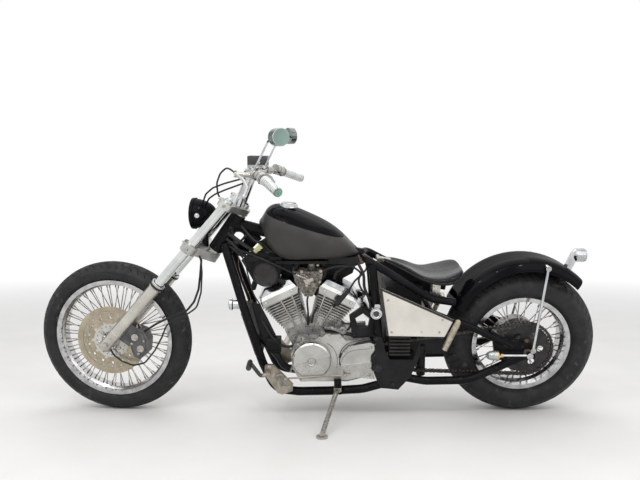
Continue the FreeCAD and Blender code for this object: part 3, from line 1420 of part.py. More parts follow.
SEAT_START = 1.148 * s.span
SEAT_CORNER = Vector(SEAT_START, 0, fender_height(SEAT_START + s.seat_length) + s.seat_over_fender)
SEAT_SECTION_SHARES = ((0, 0), (0.70, 0.04), (0.98, 0.42), (0.98, 0.84), (0.80, 1.0), (0.40, 0.74), (0, 0.66))
SEAT_STATION_SHARES = ((0.0, 1.16, 1.35, 0.14), (0.13, 0.87, 1.23, 0.29), (0.27, 0.55, 0.98, 0.47),
                       (0.51, 0.10, 0.45, 0.78), (0.74, 0.0, 0.52, 1.0), (0.91, 0.15, 0.80, 0.87),
                       (1.0, 0.55, 0.90, 0.54))
SEAT_BRACKET_SHARES = ((1.342, 0.518), (1.374, 0.518))
SEAT_BOLT = spot(1.358, 0, 0.529)
HINGE_SHARES = (-0.075, 1.28)
TONGUE_SHARES = ((-0.095, 1.18), (-0.055, 1.38), (0.09, 1.26), (0.09, 1.08))


def seat_place(back_share, up_share, across=0):
    """A place by the seat, in shares of its length and height."""
    return SEAT_CORNER + Vector(back_share * s.seat_length, across, up_share * s.seat_height)


def seat():
    """The solo saddle, its nose hinge and its bolted rear brackets."""
    cushion = lofted(SEAT_SECTION_SHARES, SEAT_STATION_SHARES, SEAT_CORNER, s.seat_length, s.seat_height,
                     s.seat_width / 2)
    keep("seat", cushion)
    shapes = []
    top = SEAT_CORNER.z + s.seat_height * 0.3
    for side, _ in SIDES:
        foot = [spot(x, 0, z) + ACROSS * side * s.seat_bracket_side for x, z in SEAT_BRACKET_SHARES]
        plate = foot + [Vector(p.x, p.y, top) for p in reversed(foot)]
        shapes.append(slab(plate, side * s.pivot_plate_thick))
    middle = (SEAT_BRACKET_SHARES[0][0] + SEAT_BRACKET_SHARES[1][0]) / 2 * s.span
    tie = block(s.tie_width, 2 * s.seat_bracket_side, s.tie_thick,
                Placement(Vector(middle, 0, SEAT_CORNER.z - s.seat_height * 0.75), Rotation()))
    bolts = [rod(place - ACROSS * side * s.bolt_head, place + ACROSS * side * s.seat_bolt_reach, s.seat_bolt_radius)
             for side, _ in SIDES for place in [SEAT_BOLT + ACROSS * side * s.seat_bracket_side]]
    hinge_place = seat_place(*HINGE_SHARES)
    half = ACROSS * s.hinge_half_length
    hinge = rod(hinge_place - half, hinge_place + half, s.hinge_radius)
    tongue = slab([seat_place(x, z) - half / 2 for x, z in TONGUE_SHARES], s.hinge_half_length)
    bracket = fused(shapes + [tie] + bolts).cut(cushion)
    mount = fused([hinge, tongue]).cut(cushion)
    for label in ("frame_seat_rails", "frame_backbone"):
        bracket = bracket.cut(shape_of(label))
        mount = mount.cut(shape_of(label))
    keep("seat_mounts", Part.makeCompound([largest(bracket), largest(mount)]))


PANEL_CORNER = spot(1.118, 0, 0.403)
PANEL_SHARES = ((0.0, 1.0), (1.0, 0.35), (0.89, 0.0), (0.11, 0.02))
PANEL_POST_SHARES = ((1.180, 0, 0.440), (1.270, 0, 0.440), (1.200, 0, 0.530))
BOX_BASE = spot(1.225, 0, 0.300)
REGULATOR_CORNER = spot(1.165, 0, 0.314)
REGULATOR_POST_SHARES = ((1.180, 0, 0.388), (1.235, 0, 0.388))


def side_panels():
    """Flat side panels on posts from the electrics box between the seat posts."""
    box = block(s.box_length, s.box_width, s.box_height, Placement(BOX_BASE, Rotation()))
    posts = []
    panels = []
    inner = ACROSS * (s.box_width / 2 - s.overrun)
    outer = ACROSS * (s.panel_side - s.fit)
    for side, _ in SIDES:
        panels.append(side_plate(PANEL_SHARES, PANEL_CORNER, s.panel_length, s.panel_height, side,
                                 s.panel_side, s.panel_thick))
        posts += [rod(place + inner * side, place + outer * side, s.tab_radius) for place in spots(PANEL_POST_SHARES)]
    regulator_inner = ACROSS * (s.regulator_side - s.fit)
    posts += [rod(place - inner, place - regulator_inner, s.tab_radius) for place in spots(REGULATOR_POST_SHARES)]
    keep("side_panels", Part.makeCompound(panels))
    keep("electrics_box", fused([box] + posts))
    back = block(s.regulator_length, s.regulator_depth / 2, s.regulator_height)
    back.translate(REGULATOR_CORNER + Vector(s.regulator_length / 2, -s.regulator_side - s.regulator_depth / 4, 0))
    shapes = [back]
    count = int(s.regulator_fins)
    for index in range(count):
        fin = block(s.regulator_length, s.regulator_depth, s.regulator_fin_thick)
        rise = index * (s.regulator_height - s.regulator_fin_thick) / (count - 1)
        fin.translate(REGULATOR_CORNER + Vector(s.regulator_length / 2, -s.regulator_side - s.regulator_depth / 2,
                                                rise))
        shapes.append(fin)
    keep("regulator", fused(shapes))


STRUT_TOP_SHARES = (0.176, 0.931)
STRUT_FOOT_SHARES = (0.045, 0.0426)


def strut_place(shares, across):
    """A place by the rear axle, in shares of the strut's reach."""
    return REAR_AXLE + Vector(shares[0] * s.strut_reach, across, shares[1] * s.strut_reach)


def rear_fender():
    """The bobbed fender: a crowned section swept round the wheel, on two struts."""
    half = s.fender_width / 2
    outer = [Vector(s.fender_radius - s.fender_drop * (1 - reach), side * half, 0) for reach, side in FENDER_SHARES]
    inner = [Vector(p.x - (s.fender_sheet if abs(p.y) < half else 0), p.y * (1 - s.fender_sheet / half), 0)
             for p in outer]
    edges = []
    for points in (outer, list(reversed(inner))):
        curve = Part.BSplineCurve()
        curve.interpolate(points)
        edges.append(curve.toShape())
    edges.append(Part.LineSegment(outer[-1], inner[-1]).toShape())
    edges.append(Part.LineSegment(inner[0], outer[0]).toShape())
    section = Part.Face(Part.Wire(Part.__sortEdges__(edges)))
    section.rotate(ORIGIN, ACROSS, -s.fender_start)
    fender = section.revolve(ORIGIN, ACROSS, s.fender_start - s.fender_end)
    fender.translate(FENDER_CENTRE)
    keep("rear_fender", fender)
    shapes = []
    for side, _ in SIDES:
        way = ACROSS * side
        top = strut_place(STRUT_TOP_SHARES, side * (half + s.strut_radius + s.fit))
        foot = strut_place(STRUT_FOOT_SHARES, side * (s.swingarm_side + s.strut_foot_out))
        eye = s.strut_radius * 1.8
        strut = fused([rod(foot, top, s.strut_radius),
                       rod(foot - way * s.strut_foot_eye, foot + way * s.strut_radius, eye),
                       rod(top - way * s.strut_top_eye, top + way * s.strut_radius, eye)])
        for name in ("swingarm", "rear_axle", "rear_fender"):
            strut = strut.cut(shape_of(name))
        shapes.append(largest(strut))
    keep("fender_struts", Part.makeCompound(shapes))


LAMP_BASE = spot(1.934, 0, 0.700)
LAMP_SHARES = ((0.0, 0.0), (0.60, 0.0), (0.94, 0.16), (1.0, 0.24), (1.0, 0.80), (0.88, 1.0), (0.0, 1.0))
LAMP_ARM_SHARES = ((1.905, 0, 0.640), (1.926, 0, 0.630), (1.950, 0, 0.690), (1.934, 0, 0.710))
BULB_SHARES = ((0.0, 0.0), (0.5, 0.0), (1.0, 0.2), (1.0, 0.5), (0.7, 0.83), (0.0, 1.0))


def lights():
    """The tail lamp on the fender's tail and the rear signals on the axle."""
    lamp = turned_up([(reach * s.lamp_radius, rise * s.lamp_depth) for reach, rise in LAMP_SHARES])
    lamp.Placement = Placement(LAMP_BASE, Rotation(UP, BACK))
    arm = slab([point - ACROSS * s.lamp_arm_width / 2 for point in spots(LAMP_ARM_SHARES)], s.lamp_arm_width)
    keep("tail_lamp", largest(fused([lamp, arm]).cut(shape_of("rear_fender"))))
    signals = []
    for side, _ in SIDES:
        root = REAR_AXLE + ACROSS * side * s.signal_side
        bulb = turned_up([(reach * s.signal_radius, rise * s.signal_length) for reach, rise in BULB_SHARES])
        bulb.Placement = Placement(root - BACK * s.signal_stem, Rotation(UP, -BACK))
        stem = rod(root - BACK * (s.signal_stem + s.overrun / 2), root, s.signal_stem_radius)
        eye_inner = REAR_AXLE + ACROSS * side * (s.swingarm_side + s.axle_nut_thick)
        eye = rod(eye_inner, root + ACROSS * side * s.signal_stem_radius * 2, s.signal_eye_radius)
        shape = fused([bulb, stem, eye])
        for label in ("rear_axle", "swingarm", "fender_struts"):
            shape = shape.cut(shape_of(label))
        signals.append(largest(shape))
    keep("rear_signals", Part.makeCompound(signals))


def bodywork():
    """Tank, seat, panels, fender and lamps."""
    fuel_tank()
    seat()
    side_panels()
    rear_fender()
    lights()


# Controls
FOOT_PLATE_CORNER = spot(0.651, 0, 0.138)
FOOT_PLATE_SHARES = ((0.03, 0.97), (0.16, 1.0), (0.33, 0.985), (0.99, 0.34), (0.97, 0.12), (0.62, 0.0), (0.45, 0.05),
                     (0.0, 0.68))
PEDAL_SHARES = ((0.668, -0.165, 0.240), (0.640, -0.172, 0.232), (0.597, -0.176, 0.296))
PEG_FOOT = spot(0.712, 0, 0.213)
PEG_TIP = spot(0.738, 0, 0.223)
PLATE_BOSS_SHARES = ((0.665, 0, 0.236), (0.725, 0, 0.150))
SHIFT_ROD_SHARES = ((0.737, 0, 0.211), (0.985, 0, 0.226))
PILLION_SHARES = ((1.434, 0, 0.470), (1.385, 0, 0.350))
PILLION_ARM_UP_SHARE = 0.455


def peg_line(side):
    """The ends of a foot peg: its root in the plate and its outer tip."""
    plate_outer = s.foot_plate_side + s.foot_plate_thick
    way = ACROSS * side
    return PEG_FOOT + way * (plate_outer - s.overrun), PEG_TIP + way * (plate_outer + s.peg_length)


def foot_control(side):
    """A forward plate with its peg, pedal and toe piece on one side."""
    way = ACROSS * side
    plate_outer = s.foot_plate_side + s.foot_plate_thick
    plate = side_plate(FOOT_PLATE_SHARES, FOOT_PLATE_CORNER, s.foot_plate_length, s.foot_plate_height, side,
                       s.foot_plate_side, s.foot_plate_thick)
    shapes = [plate]
    for place in spots(PLATE_BOSS_SHARES):
        shapes.append(rod(place + way * s.frame_half_width, place + way * (s.foot_plate_side + s.overrun / 2),
                          s.boss_radius))
    peg_root, peg_tip = peg_line(side)
    shapes.append(rod(peg_root, peg_tip, s.peg_radius))
    collar_end = peg_root + (peg_tip - peg_root).normalize() * s.peg_collar_length
    shapes.append(rod(peg_root, collar_end, s.peg_collar_radius))
    pedal = mirrored(spots(PEDAL_SHARES), side)
    hub = Vector(pedal[0].x, 0, pedal[0].z)
    toe = Vector(pedal[-1].x, 0, pedal[-1].z)
    toe_inner = abs(pedal[-1].y) - s.pedal_radius
    shapes.append(tube(pedal, s.pedal_radius, s.lever_bend))
    shapes.append(rod(hub + way * (plate_outer - s.overrun), hub + way * (abs(pedal[0].y) + s.pedal_radius),
                      s.pedal_radius * 1.3))
    shapes.append(rod(toe + way * toe_inner, toe + way * (toe_inner + s.toe_length), s.toe_radius))
    return largest(fused(shapes).cut(shape_of("frame_cradle")))


def shift_rod():
    """The thin rod from the left plate back to the shift shaft."""
    front, rear = spots(SHIFT_ROD_SHARES)
    line = ACROSS * -s.shift_rod_side
    plate_outer = ACROSS * -(s.foot_plate_side + s.foot_plate_thick - s.overrun / 2)
    shaft_inner = ACROSS * -(s.engine_half_width + s.left_cover_thick + s.fit)
    overhang = ACROSS * -s.overrun
    shape = fused([rod(front + line, rear + line, s.shift_rod_radius),
                   rod(front + plate_outer, front + line + overhang, s.pedal_radius * 0.75),
                   rod(rear + shaft_inner, rear + line + overhang, s.pedal_radius * 0.75)])
    for label in ("sprocket_cover", "left_case_cover", "alternator_cover"):
        shape = shape.cut(shape_of(label))
    return largest(shape)


def foot_controls():
    """Forward controls on both sides, the shift rod and the folded pillion pegs."""
    keep("foot_control_left", foot_control(LEFT).fuse(shift_rod()))
    keep("foot_control_right", foot_control(RIGHT))
    pegs = []
    for side, _ in SIDES:
        out = ACROSS * side * s.pillion_side
        start, end = [place + out for place in spots(PILLION_SHARES)]
        peg = rod(start, end, s.pillion_radius)
        root = Vector(start.x, side * s.swingarm_side, PILLION_ARM_UP_SHARE * s.span)
        pegs.append(largest(fused([peg, rod(root, start, s.pillion_radius * 0.75)]).cut(shape_of("swingarm"))))
    keep("passenger_pegs", Part.makeCompound(pegs))


STAND_PIVOT = spot(0.955, -0.150, 0.168)
STAND_FLOOR = spot(0.889, -0.430, 0)
STAND_RAIL = spot(0.955, -0.106, 0.138)
EAR_SHARES = ((-1.0, -1.0), (1.0, -1.0), (1.0, 2.2), (-1.0, 2.2))
BRIDGE_SHARES = ((-1.0, 1.5), (1.0, 1.5), (1.0, 2.2), (-1.0, 2.2))


def stand_line():
    """The stand's foot on the floor, its way up, and its run from the pivot."""
    lean = Rotation(BACK, s.lean).inverted()
    floor_up = lean.multVec(UP)
    foot = lean.multVec(STAND_FLOOR)
    ankle = foot + floor_up * (s.stand_foot_thick / 2)
    return foot, floor_up, ankle, Vector(ankle - STAND_PIVOT).normalize()


STAND_HINGE_AXIS = stand_line()[3].cross(BACK).normalize()


def side_stand():
    """The stand and the lug that it folds on; its foot lies flat on the floor."""
    foot, floor_up, ankle, _ = stand_line()
    hinge_axis = STAND_HINGE_AXIS
    inboard = hinge_axis.cross(BACK)
    eye_half = hinge_axis * s.stand_eye_length / 2
    bore_half = eye_half + hinge_axis * s.overrun
    bore = rod(STAND_PIVOT - bore_half, STAND_PIVOT + bore_half, s.stand_pin_radius + s.seam)
    leg = rod(STAND_PIVOT, ankle + floor_up * s.stand_radius * 0.8, s.stand_radius)
    pad = Part.makeCylinder(s.stand_foot_radius, s.stand_foot_thick, foot, floor_up)
    eye = rod(STAND_PIVOT - eye_half, STAND_PIVOT + eye_half, s.stand_eye_radius)
    keep("side_stand", fused([leg, pad, eye]).cut(bore))
    ear = s.stand_ear_size
    ear_start = s.stand_eye_length / 2 + s.seam
    reach = ear_start + s.stand_ear_thick

    def cheek(shares, low, high):
        points = [STAND_PIVOT + BACK * x * ear + inboard * y * ear + hinge_axis * low for x, y in shares]
        return slab(points, high - low, hinge_axis)

    pin_half = hinge_axis * (reach + s.bolt_head)
    shapes = [cheek(EAR_SHARES, ear_start, reach), cheek(EAR_SHARES, -reach, -ear_start),
              cheek(BRIDGE_SHARES, -reach, reach),
              rod(STAND_PIVOT - pin_half, STAND_PIVOT + pin_half, s.stand_pin_radius),
              rod(STAND_PIVOT + inboard * ear * 1.8, STAND_RAIL, s.stand_post_radius)]
    bracket = fused(shapes).cut(shape_of("frame_cradle"))
    keep("side_stand_bracket", largest(bracket))


# Assembly
def main_parts():
    """Every sub-part, in the order in which they are put together."""
    front_wheel()
    rear_wheel()
    chain()
    front_fork()
    pivot_plates()
    frame_tubes()
    swingarm()
    rear_axle()
    for lean, name in ((-s.cylinder_lean, "front"), (s.cylinder_lean, "rear")):
        cylinder(lean, name)
    crankcase()
    intake()
    exhausts()
    radiator()
    side_drum()
    coil_tray()
    ignition_switch()
    bodywork()
    foot_controls()
    side_stand()


def lowest(radius, crown, centre, axle):
    """Height of a leaning tyre's lowest point."""
    return centre.z - (radius - crown) * math.sqrt(1 - axle.z ** 2) - crown


main_parts()
doc.recompute()
LEAN = Placement(ORIGIN, Rotation(BACK, s.lean))
STEER = Placement(ORIGIN, Rotation(NECK_AXIS, -s.steer_turn), NECK)
turned_axle = LEAN.Rotation.multVec(STEER.Rotation.multVec(ACROSS))
turned_centre = LEAN.multVec(STEER.multVec(FRONT_AXLE))
drop = lowest(s.front_tyre_radius, s.front_crown_radius, turned_centre, turned_axle)
PITCH = Placement(ORIGIN, Rotation(ACROSS, math.degrees(-drop / s.wheelbase)), LEAN.multVec(REAR_AXLE))
stance = PITCH.multiply(LEAN)
for part in made:
    upright = stance.multiply(STEER) if part.Label in STEERED else stance
    part.Placement = upright.multiply(part.Placement)
doc.recompute()
whole = Part.makeCompound([part.Shape for part in made])
box = whole.optimalBoundingBox(False)
shift = Placement(Vector(-box.Center.x, -box.Center.y, 0), Rotation())
for part in made:
    part.Placement = shift.multiply(part.Placement)
doc.recompute()

faults = [item.Label for item in doc.Objects if "Invalid" in item.State or "Error" in item.State]
faults += [part.Label for part in made if part.Shape.isNull() or not part.Shape.isValid()]
if faults:
    raise RuntimeError("these objects failed: " + ", ".join(faults))
os.makedirs("parts", exist_ok=True)
for part in made:
    part.Shape.exportStep(f"parts/{part.Label}.step")
print(len(made), "sub-parts,", box)
GRIP_WAY = Vector(GRIP_OUTER - GRIP_INNER).normalize()
PEG_LEFT, PEG_TIP_LEFT = peg_line(LEFT)
PEG_RIGHT, PEG_TIP_RIGHT = peg_line(RIGHT)
for name, turn, point, axis in (
        ("left grip", STEER, GRIP_OUTER, GRIP_WAY),
        ("right grip", STEER, mirrored([GRIP_OUTER], RIGHT)[0], mirrored([GRIP_WAY], RIGHT)[0]),
        ("left peg", Placement(), PEG_TIP_LEFT, Vector(PEG_TIP_LEFT - PEG_LEFT).normalize()),
        ("right peg", Placement(), PEG_TIP_RIGHT, Vector(PEG_TIP_RIGHT - PEG_RIGHT).normalize()),
        ("front axle", STEER, FRONT_AXLE, ACROSS), ("rear axle", Placement(), REAR_AXLE, ACROSS),
        ("neck", Placement(), NECK, NECK_AXIS), ("stand", Placement(), STAND_PIVOT, STAND_HINGE_AXIS)):
    place = shift.multiply(stance).multiply(turn)
    print(name, place.multVec(point), place.Rotation.multVec(axis))
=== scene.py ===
"""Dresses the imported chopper: a finish for every solid that stays, and the pieces
that give the machine its look from a step away.

Places are written for the upright machine, in metres: x runs back from the front
axle, y to the rider's right, z up from the floor. A stance carries them to the
leaning machine, and a second one turns what steers.
"""
import json
import logging
import math
from dataclasses import dataclass, field
from enum import Enum, IntEnum
from typing import Callable, Iterable, Sequence

import bmesh
import bpy
from mathutils import Matrix, Vector

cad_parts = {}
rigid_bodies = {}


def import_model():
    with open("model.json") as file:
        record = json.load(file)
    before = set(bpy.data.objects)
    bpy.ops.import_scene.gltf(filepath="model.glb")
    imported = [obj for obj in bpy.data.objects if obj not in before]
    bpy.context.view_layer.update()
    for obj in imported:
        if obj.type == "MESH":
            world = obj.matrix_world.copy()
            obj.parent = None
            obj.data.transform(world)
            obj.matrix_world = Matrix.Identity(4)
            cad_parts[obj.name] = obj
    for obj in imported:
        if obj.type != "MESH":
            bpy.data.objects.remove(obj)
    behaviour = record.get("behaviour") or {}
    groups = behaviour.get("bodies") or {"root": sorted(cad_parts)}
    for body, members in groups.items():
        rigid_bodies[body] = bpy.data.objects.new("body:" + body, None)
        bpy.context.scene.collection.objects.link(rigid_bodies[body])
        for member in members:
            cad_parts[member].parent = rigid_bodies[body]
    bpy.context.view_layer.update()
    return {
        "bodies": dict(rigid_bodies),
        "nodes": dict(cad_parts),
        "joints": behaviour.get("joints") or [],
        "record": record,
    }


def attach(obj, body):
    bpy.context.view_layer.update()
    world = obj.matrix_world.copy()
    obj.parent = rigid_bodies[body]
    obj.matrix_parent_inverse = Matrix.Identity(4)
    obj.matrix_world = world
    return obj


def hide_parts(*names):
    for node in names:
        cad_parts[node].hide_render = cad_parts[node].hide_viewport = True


LOG = logging.getLogger("chopper")
Colour = tuple[float, float, float]
Pair = tuple[float, float]
Triple = tuple[float, float, float]
Run = tuple[float, Sequence[Triple]]
Socket = bpy.types.NodeSocket


class Side(IntEnum):
    """The rider's left or right, as the sign of y."""

    LEFT = -1
    RIGHT = 1


class Body(Enum):
    """What a piece moves with."""

    FRAME = "frame"
    STEERING = "steering"
    FRONT_WHEEL = "front_wheel"
    REAR_WHEEL = "rear_wheel"
    STAND = "side_stand"


class Grain(Enum):
    """The small relief of a surface."""

    SMOOTH = "smooth"
    BRUSHED = "brushed"
    CAST = "cast"
    PITTED = "pitted"
    HIDE = "hide"
    RUBBER = "rubber"


# Main reference points of the upright machine
LEAN = math.radians(14.0)
PITCH = 0.00033
STEER = math.radians(-7.0)
NECK_RAKE = math.radians(35.0)
FORK_RAKE = math.radians(41.3)
FRONT_AXLE = Vector((0.0, 0.0, 0.3316))
REAR_AXLE = Vector((1.732, 0.0, 0.3237))
NECK = Vector((0.498, 0.0, 0.800))
NECK_AXIS = Vector((math.sin(NECK_RAKE), 0.0, math.cos(NECK_RAKE)))
NECK_AHEAD = Vector((-math.cos(NECK_RAKE), 0.0, math.sin(NECK_RAKE)))
FORK_AXIS = Vector((math.sin(FORK_RAKE), 0.0, math.cos(FORK_RAKE)))
FORK_BACK = Vector((math.cos(FORK_RAKE), 0.0, -math.sin(FORK_RAKE)))
FORK_SPREAD = 0.097
CRANK = Vector((0.833, 0.0, 0.291))
CYLINDER_LEAN = math.radians(26.0)
UP = Vector((0.0, 0.0, 1.0))
ACROSS = Vector((0.0, 1.0, 0.0))
BACK = Vector((1.0, 0.0, 0.0))


def leaning() -> Matrix:
    """The stance of the whole machine on its side stand.

    Returns:
        The matrix from the upright machine to the frame.
    """
    lean = Matrix.Rotation(LEAN, 4, "X")
    foot = lean @ REAR_AXLE
    pitch = Matrix.Translation(foot) @ Matrix.Rotation(PITCH, 4, "Y") @ Matrix.Translation(-foot)
    return Matrix.Translation((-0.862622, 0.181755, 0.0)) @ pitch @ lean


def steered() -> Matrix:
    """The stance of what turns in the neck.

    Returns:
        The matrix from the upright machine to the frame, steering included.
    """
    turn = Matrix.Rotation(STEER, 4, NECK_AXIS)
    return leaning() @ Matrix.Translation(NECK) @ turn @ Matrix.Translation(-NECK)


STANCES = {
    Body.FRAME: leaning(),
    Body.REAR_WHEEL: leaning(),
    Body.STAND: leaning(),
    Body.STEERING: steered(),
    Body.FRONT_WHEEL: steered(),
}


def fork_point(reach: float, side: float = 0.0, off: float = 0.0) -> Vector:
    """A place on a fork leg's line.

    Args:
        reach: Distance up from the axle.
        side: Sign of the leg, or 0 for the middle.
        off: Distance behind the line.

    Returns:
        The place on the upright machine.
    """
    return FRONT_AXLE + FORK_AXIS * reach + ACROSS * (side * FORK_SPREAD) + FORK_BACK * off


def neck_point(reach: float, ahead: float = 0.0, across: float = 0.0) -> Vector:
    """A place by the steering axis, along, ahead of and across it.

    Args:
        reach: Distance up the axis from its middle.
        ahead: Distance ahead of the axis.
        across: Distance to the right.

    Returns:
        The place on the upright machine.
    """
    return NECK + NECK_AXIS * reach + NECK_AHEAD * ahead + ACROSS * across


def left(places: Iterable[Triple], side: Side = Side.LEFT) -> list[Vector]:
    """Places written for the left side, on the side asked for.

    Args:
        places: Places with a negative y.
        side: The side that is wanted.

    Returns:
        The places as vectors.
    """
    return [Vector((x, y * -side, z)) for x, y, z in places]


def about(angle: float) -> Vector:
    """The direction at an angle about a line across the machine, from straight back."""
    return Vector((math.cos(angle), 0.0, math.sin(angle)))


def bore_axis(which: int) -> Vector:
    """The way up the front cylinder's bore for -1 and the rear one's for 1."""
    return Vector((math.sin(which * CYLINDER_LEAN), 0.0, math.cos(which * CYLINDER_LEAN)))


def spokes(count: int, start: float = 0.0) -> list[Vector]:
    """Directions in equal steps about a line across the machine."""
    return [about(math.tau * index / count + start) for index in range(count)]


def steps(first: float, step: float, count: int) -> list[float]:
    """Values in equal steps."""
    return [first + index * step for index in range(count)]


# Materials
COAT_ROUGHNESS = 0.04
COAT_IOR = 1.3
SMUDGE_SCALE = 2.6  # against the clouds
CLOUD_RANGE = (0.36, 0.64)  # of a noise, from all shade to all colour
NOISE_RANGE = (0.3, 0.7)
STAIN_EDGE = 0.07
STAIN_ROUGHNESS = 0.72
STAIN_METALLIC = 0.1
SEAM = 0.0004  # half the width in which one finish turns to another along a line
ROUND_SEAM = 0.0003  # the same around a line


class Tree:
    """The nodes of one material, or of the world."""

    def __init__(self, owner: bpy.types.Material | bpy.types.World) -> None:
        """Empties the owner's nodes.

        Args:
            owner: The material or world that the nodes belong to.
        """
        self.owner = owner
        owner.use_nodes = True
        self.nodes = owner.node_tree.nodes
        self.links = owner.node_tree.links
        self.nodes.clear()

    def add(self, kind: str, inputs: dict | None = None, **settings: object) -> bpy.types.Node:
        """Adds a node, sets it and links it.

        Args:
            kind: The node's type.
            inputs: Socket names or numbers with a value or a socket to link.
            settings: Attributes of the node.

        Returns:
            The new node.
        """
        node = self.nodes.new(kind)
        for name, value in settings.items():
            setattr(node, name, value)
        for key, value in (inputs or {}).items():
            if isinstance(value, Socket):
                self.links.new(value, node.inputs[key])
            else:
                node.inputs[key].default_value = value
        return node

    def noise(self, where: Socket, scale: float, detail: float = 3.0) -> Socket:
        """A cloud of noise, from about 0.3 to 0.7."""
        node = self.add("ShaderNodeTexNoise", {"Vector": where, "Scale": scale, "Detail": detail})
        return node.outputs[0]

    def spread(self, value: Socket, low: float, high: float, start: float = 0.0,
               end: float = 1.0) -> Socket:
        """A value carried from one range to another.

        Args:
            value: The socket to read.
            low: Value that becomes start.
            high: Value that becomes end.
            start: Result at low.
            end: Result at high.

        Returns:
            The socket with the result.
        """
        node = self.add("ShaderNodeMapRange", {
            "Value": value, "From Min": low, "From Max": high, "To Min": start, "To Max": end})
        return node.outputs[0]

    def blend(self, share: object, first: object, second: object) -> Socket:
        """Two colours mixed by a share."""
        node = self.add("ShaderNodeMix", {0: share, 6: first, 7: second}, data_type="RGBA")
        return node.outputs[2]

    def sum(self, operation: str, first: object, second: object) -> Socket:
        """One step of arithmetic."""
        node = self.add("ShaderNodeMath", {0: first, 1: second}, operation=operation)
        return node.outputs[0]

    def vector(self, operation: str, first: object, second: Vector | None = None) -> bpy.types.Node:
        """One step of arithmetic with vectors, as its node."""
        inputs = {0: first} if second is None else {0: first, 1: tuple(second)}
        return self.add("ShaderNodeVectorMath", inputs, operation=operation)

    def place(self) -> Socket:
        """Where a point lies, in the piece's own coordinates."""
        return self.add("ShaderNodeTexCoord").outputs["Object"]

    def shade(self, height: Socket, relief: float, inputs: dict) -> bpy.types.Material:
        """Closes the material with its small relief and its shader.

        Args:
            height: The relief's height, from 0 to 1.
            relief: How high 1 is, in metres.
            inputs: What else the shader gets.

        Returns:
            The material.
        """
        bump = self.add("ShaderNodeBump", {"Strength": 1.0, "Distance": relief, "Height": height})
        coat = {"Coat Roughness": COAT_ROUGHNESS, "Coat IOR": COAT_IOR}
        shader = self.add("ShaderNodeBsdfPrincipled", {**inputs, **coat, "Normal": bump.outputs[0]})
        self.add("ShaderNodeOutputMaterial", {"Surface": shader.outputs[0]})
        return self.owner


def rgba(colour: Colour) -> tuple[float, float, float, float]:
    """A colour with its alpha."""
    return (*colour, 1.0)


@dataclass(frozen=True)
class Finish:
    """One surface: its colours, its gloss, its small relief and its age."""

    name: str
    colour: Colour
    shade: Colour
    metallic: float = 0.0
    roughness: float = 0.4
    roughness_range: float = 0.08
    clouds: float = 14.0
    grain: Grain = Grain.SMOOTH
    grain_scale: float = 500.0
    relief: float = 0.0001
    coat: float = 0.0
    glass: float = 0.0
    gleam: float = 0.5
    stain: Colour = (0.2, 0.12, 0.07)
    stain_share: float = 0.0
    stain_scale: float = 90.0

    def colour_of(self, tree: Tree, where: Socket) -> Socket:
        """The clouded colour with its stains.

        Args:
            tree: The material's nodes.
            where: The place.

        Returns:
            The socket with the colour.
        """
        cloud = tree.spread(tree.noise(where, self.clouds, 5.0), *CLOUD_RANGE)
        colour = tree.blend(cloud, rgba(self.shade), rgba(self.colour))
        if self.stain_share:
            colour = tree.blend(self.stains(tree, where), colour, rgba(self.stain))
        return colour

    def stains(self, tree: Tree, where: Socket) -> Socket:
        """Where the stains are, from 0 to 1."""
        limit = 0.68 - self.stain_share * 0.36
        return tree.spread(tree.noise(where, self.stain_scale, 6.0), limit, limit + STAIN_EDGE)

    def height_of(self, tree: Tree, where: Socket) -> Socket:
        """The height of the small relief, from 0 to 1.

        Args:
            tree: The material's nodes.
            where: The place.

        Returns:
            The socket with the height.
        """
        if self.grain is Grain.BRUSHED:
            drawn = tree.add("ShaderNodeMapping",
                             {"Vector": where, "Scale": (14.0, 400.0, self.grain_scale)})
            return tree.noise(drawn.outputs[0], 1.0, 4.0)
        if self.grain is Grain.PITTED:
            cell = tree.add("ShaderNodeTexVoronoi", {"Vector": where, "Scale": self.grain_scale})
            return tree.spread(cell.outputs["Distance"], 0.12, 0.42)
        if self.grain is Grain.HIDE:
            cell = tree.add("ShaderNodeTexVoronoi", {"Vector": where, "Scale": self.grain_scale},
                            feature="DISTANCE_TO_EDGE")
            pores = tree.spread(cell.outputs[0], 0.0, 0.22)
            folds = tree.noise(where, 30.0, 3.0)
            return tree.sum("ADD", pores, tree.spread(folds, *NOISE_RANGE, 0.0, 2.4))
        if self.grain is Grain.SMOOTH:
            return tree.noise(where, 28.0, 2.0)
        return tree.noise(where, self.grain_scale, 3.0)

    def material(self) -> bpy.types.Material:
        """The finish as a material, made once.

        Returns:
            The material.
        """
        found = bpy.data.materials.get(self.name)
        if found:
            return found
        tree = Tree(bpy.data.materials.new(self.name))
        where = tree.place()
        smudge = tree.noise(where, self.clouds * SMUDGE_SCALE, 4.0)
        rough = tree.spread(smudge, *NOISE_RANGE, max(0.02, self.roughness - self.roughness_range),
                            min(1.0, self.roughness + self.roughness_range))
        inputs = {
            "Base Color": self.colour_of(tree, where),
            "Metallic": self.metallic,
            "Roughness": rough,
            "Specular IOR Level": self.gleam,
            "Coat Weight": self.coat,
            "Transmission Weight": self.glass,
        }
        if self.stain_share:
            mask = self.stains(tree, where)
            dull = tree.spread(mask, 0.0, 1.0, 0.0, STAIN_ROUGHNESS)
            inputs["Roughness"] = tree.sum("MAXIMUM", rough, dull)
            if self.metallic:
                inputs["Metallic"] = tree.spread(mask, 0.0, 1.0, self.metallic, STAIN_METALLIC)
        return tree.shade(self.height_of(tree, where), self.relief, inputs)


class Zone(Enum):
    """How a solid of two finishes is divided: along a line, or by the distance from it."""

    ALONG = "along"
    AROUND = "around"


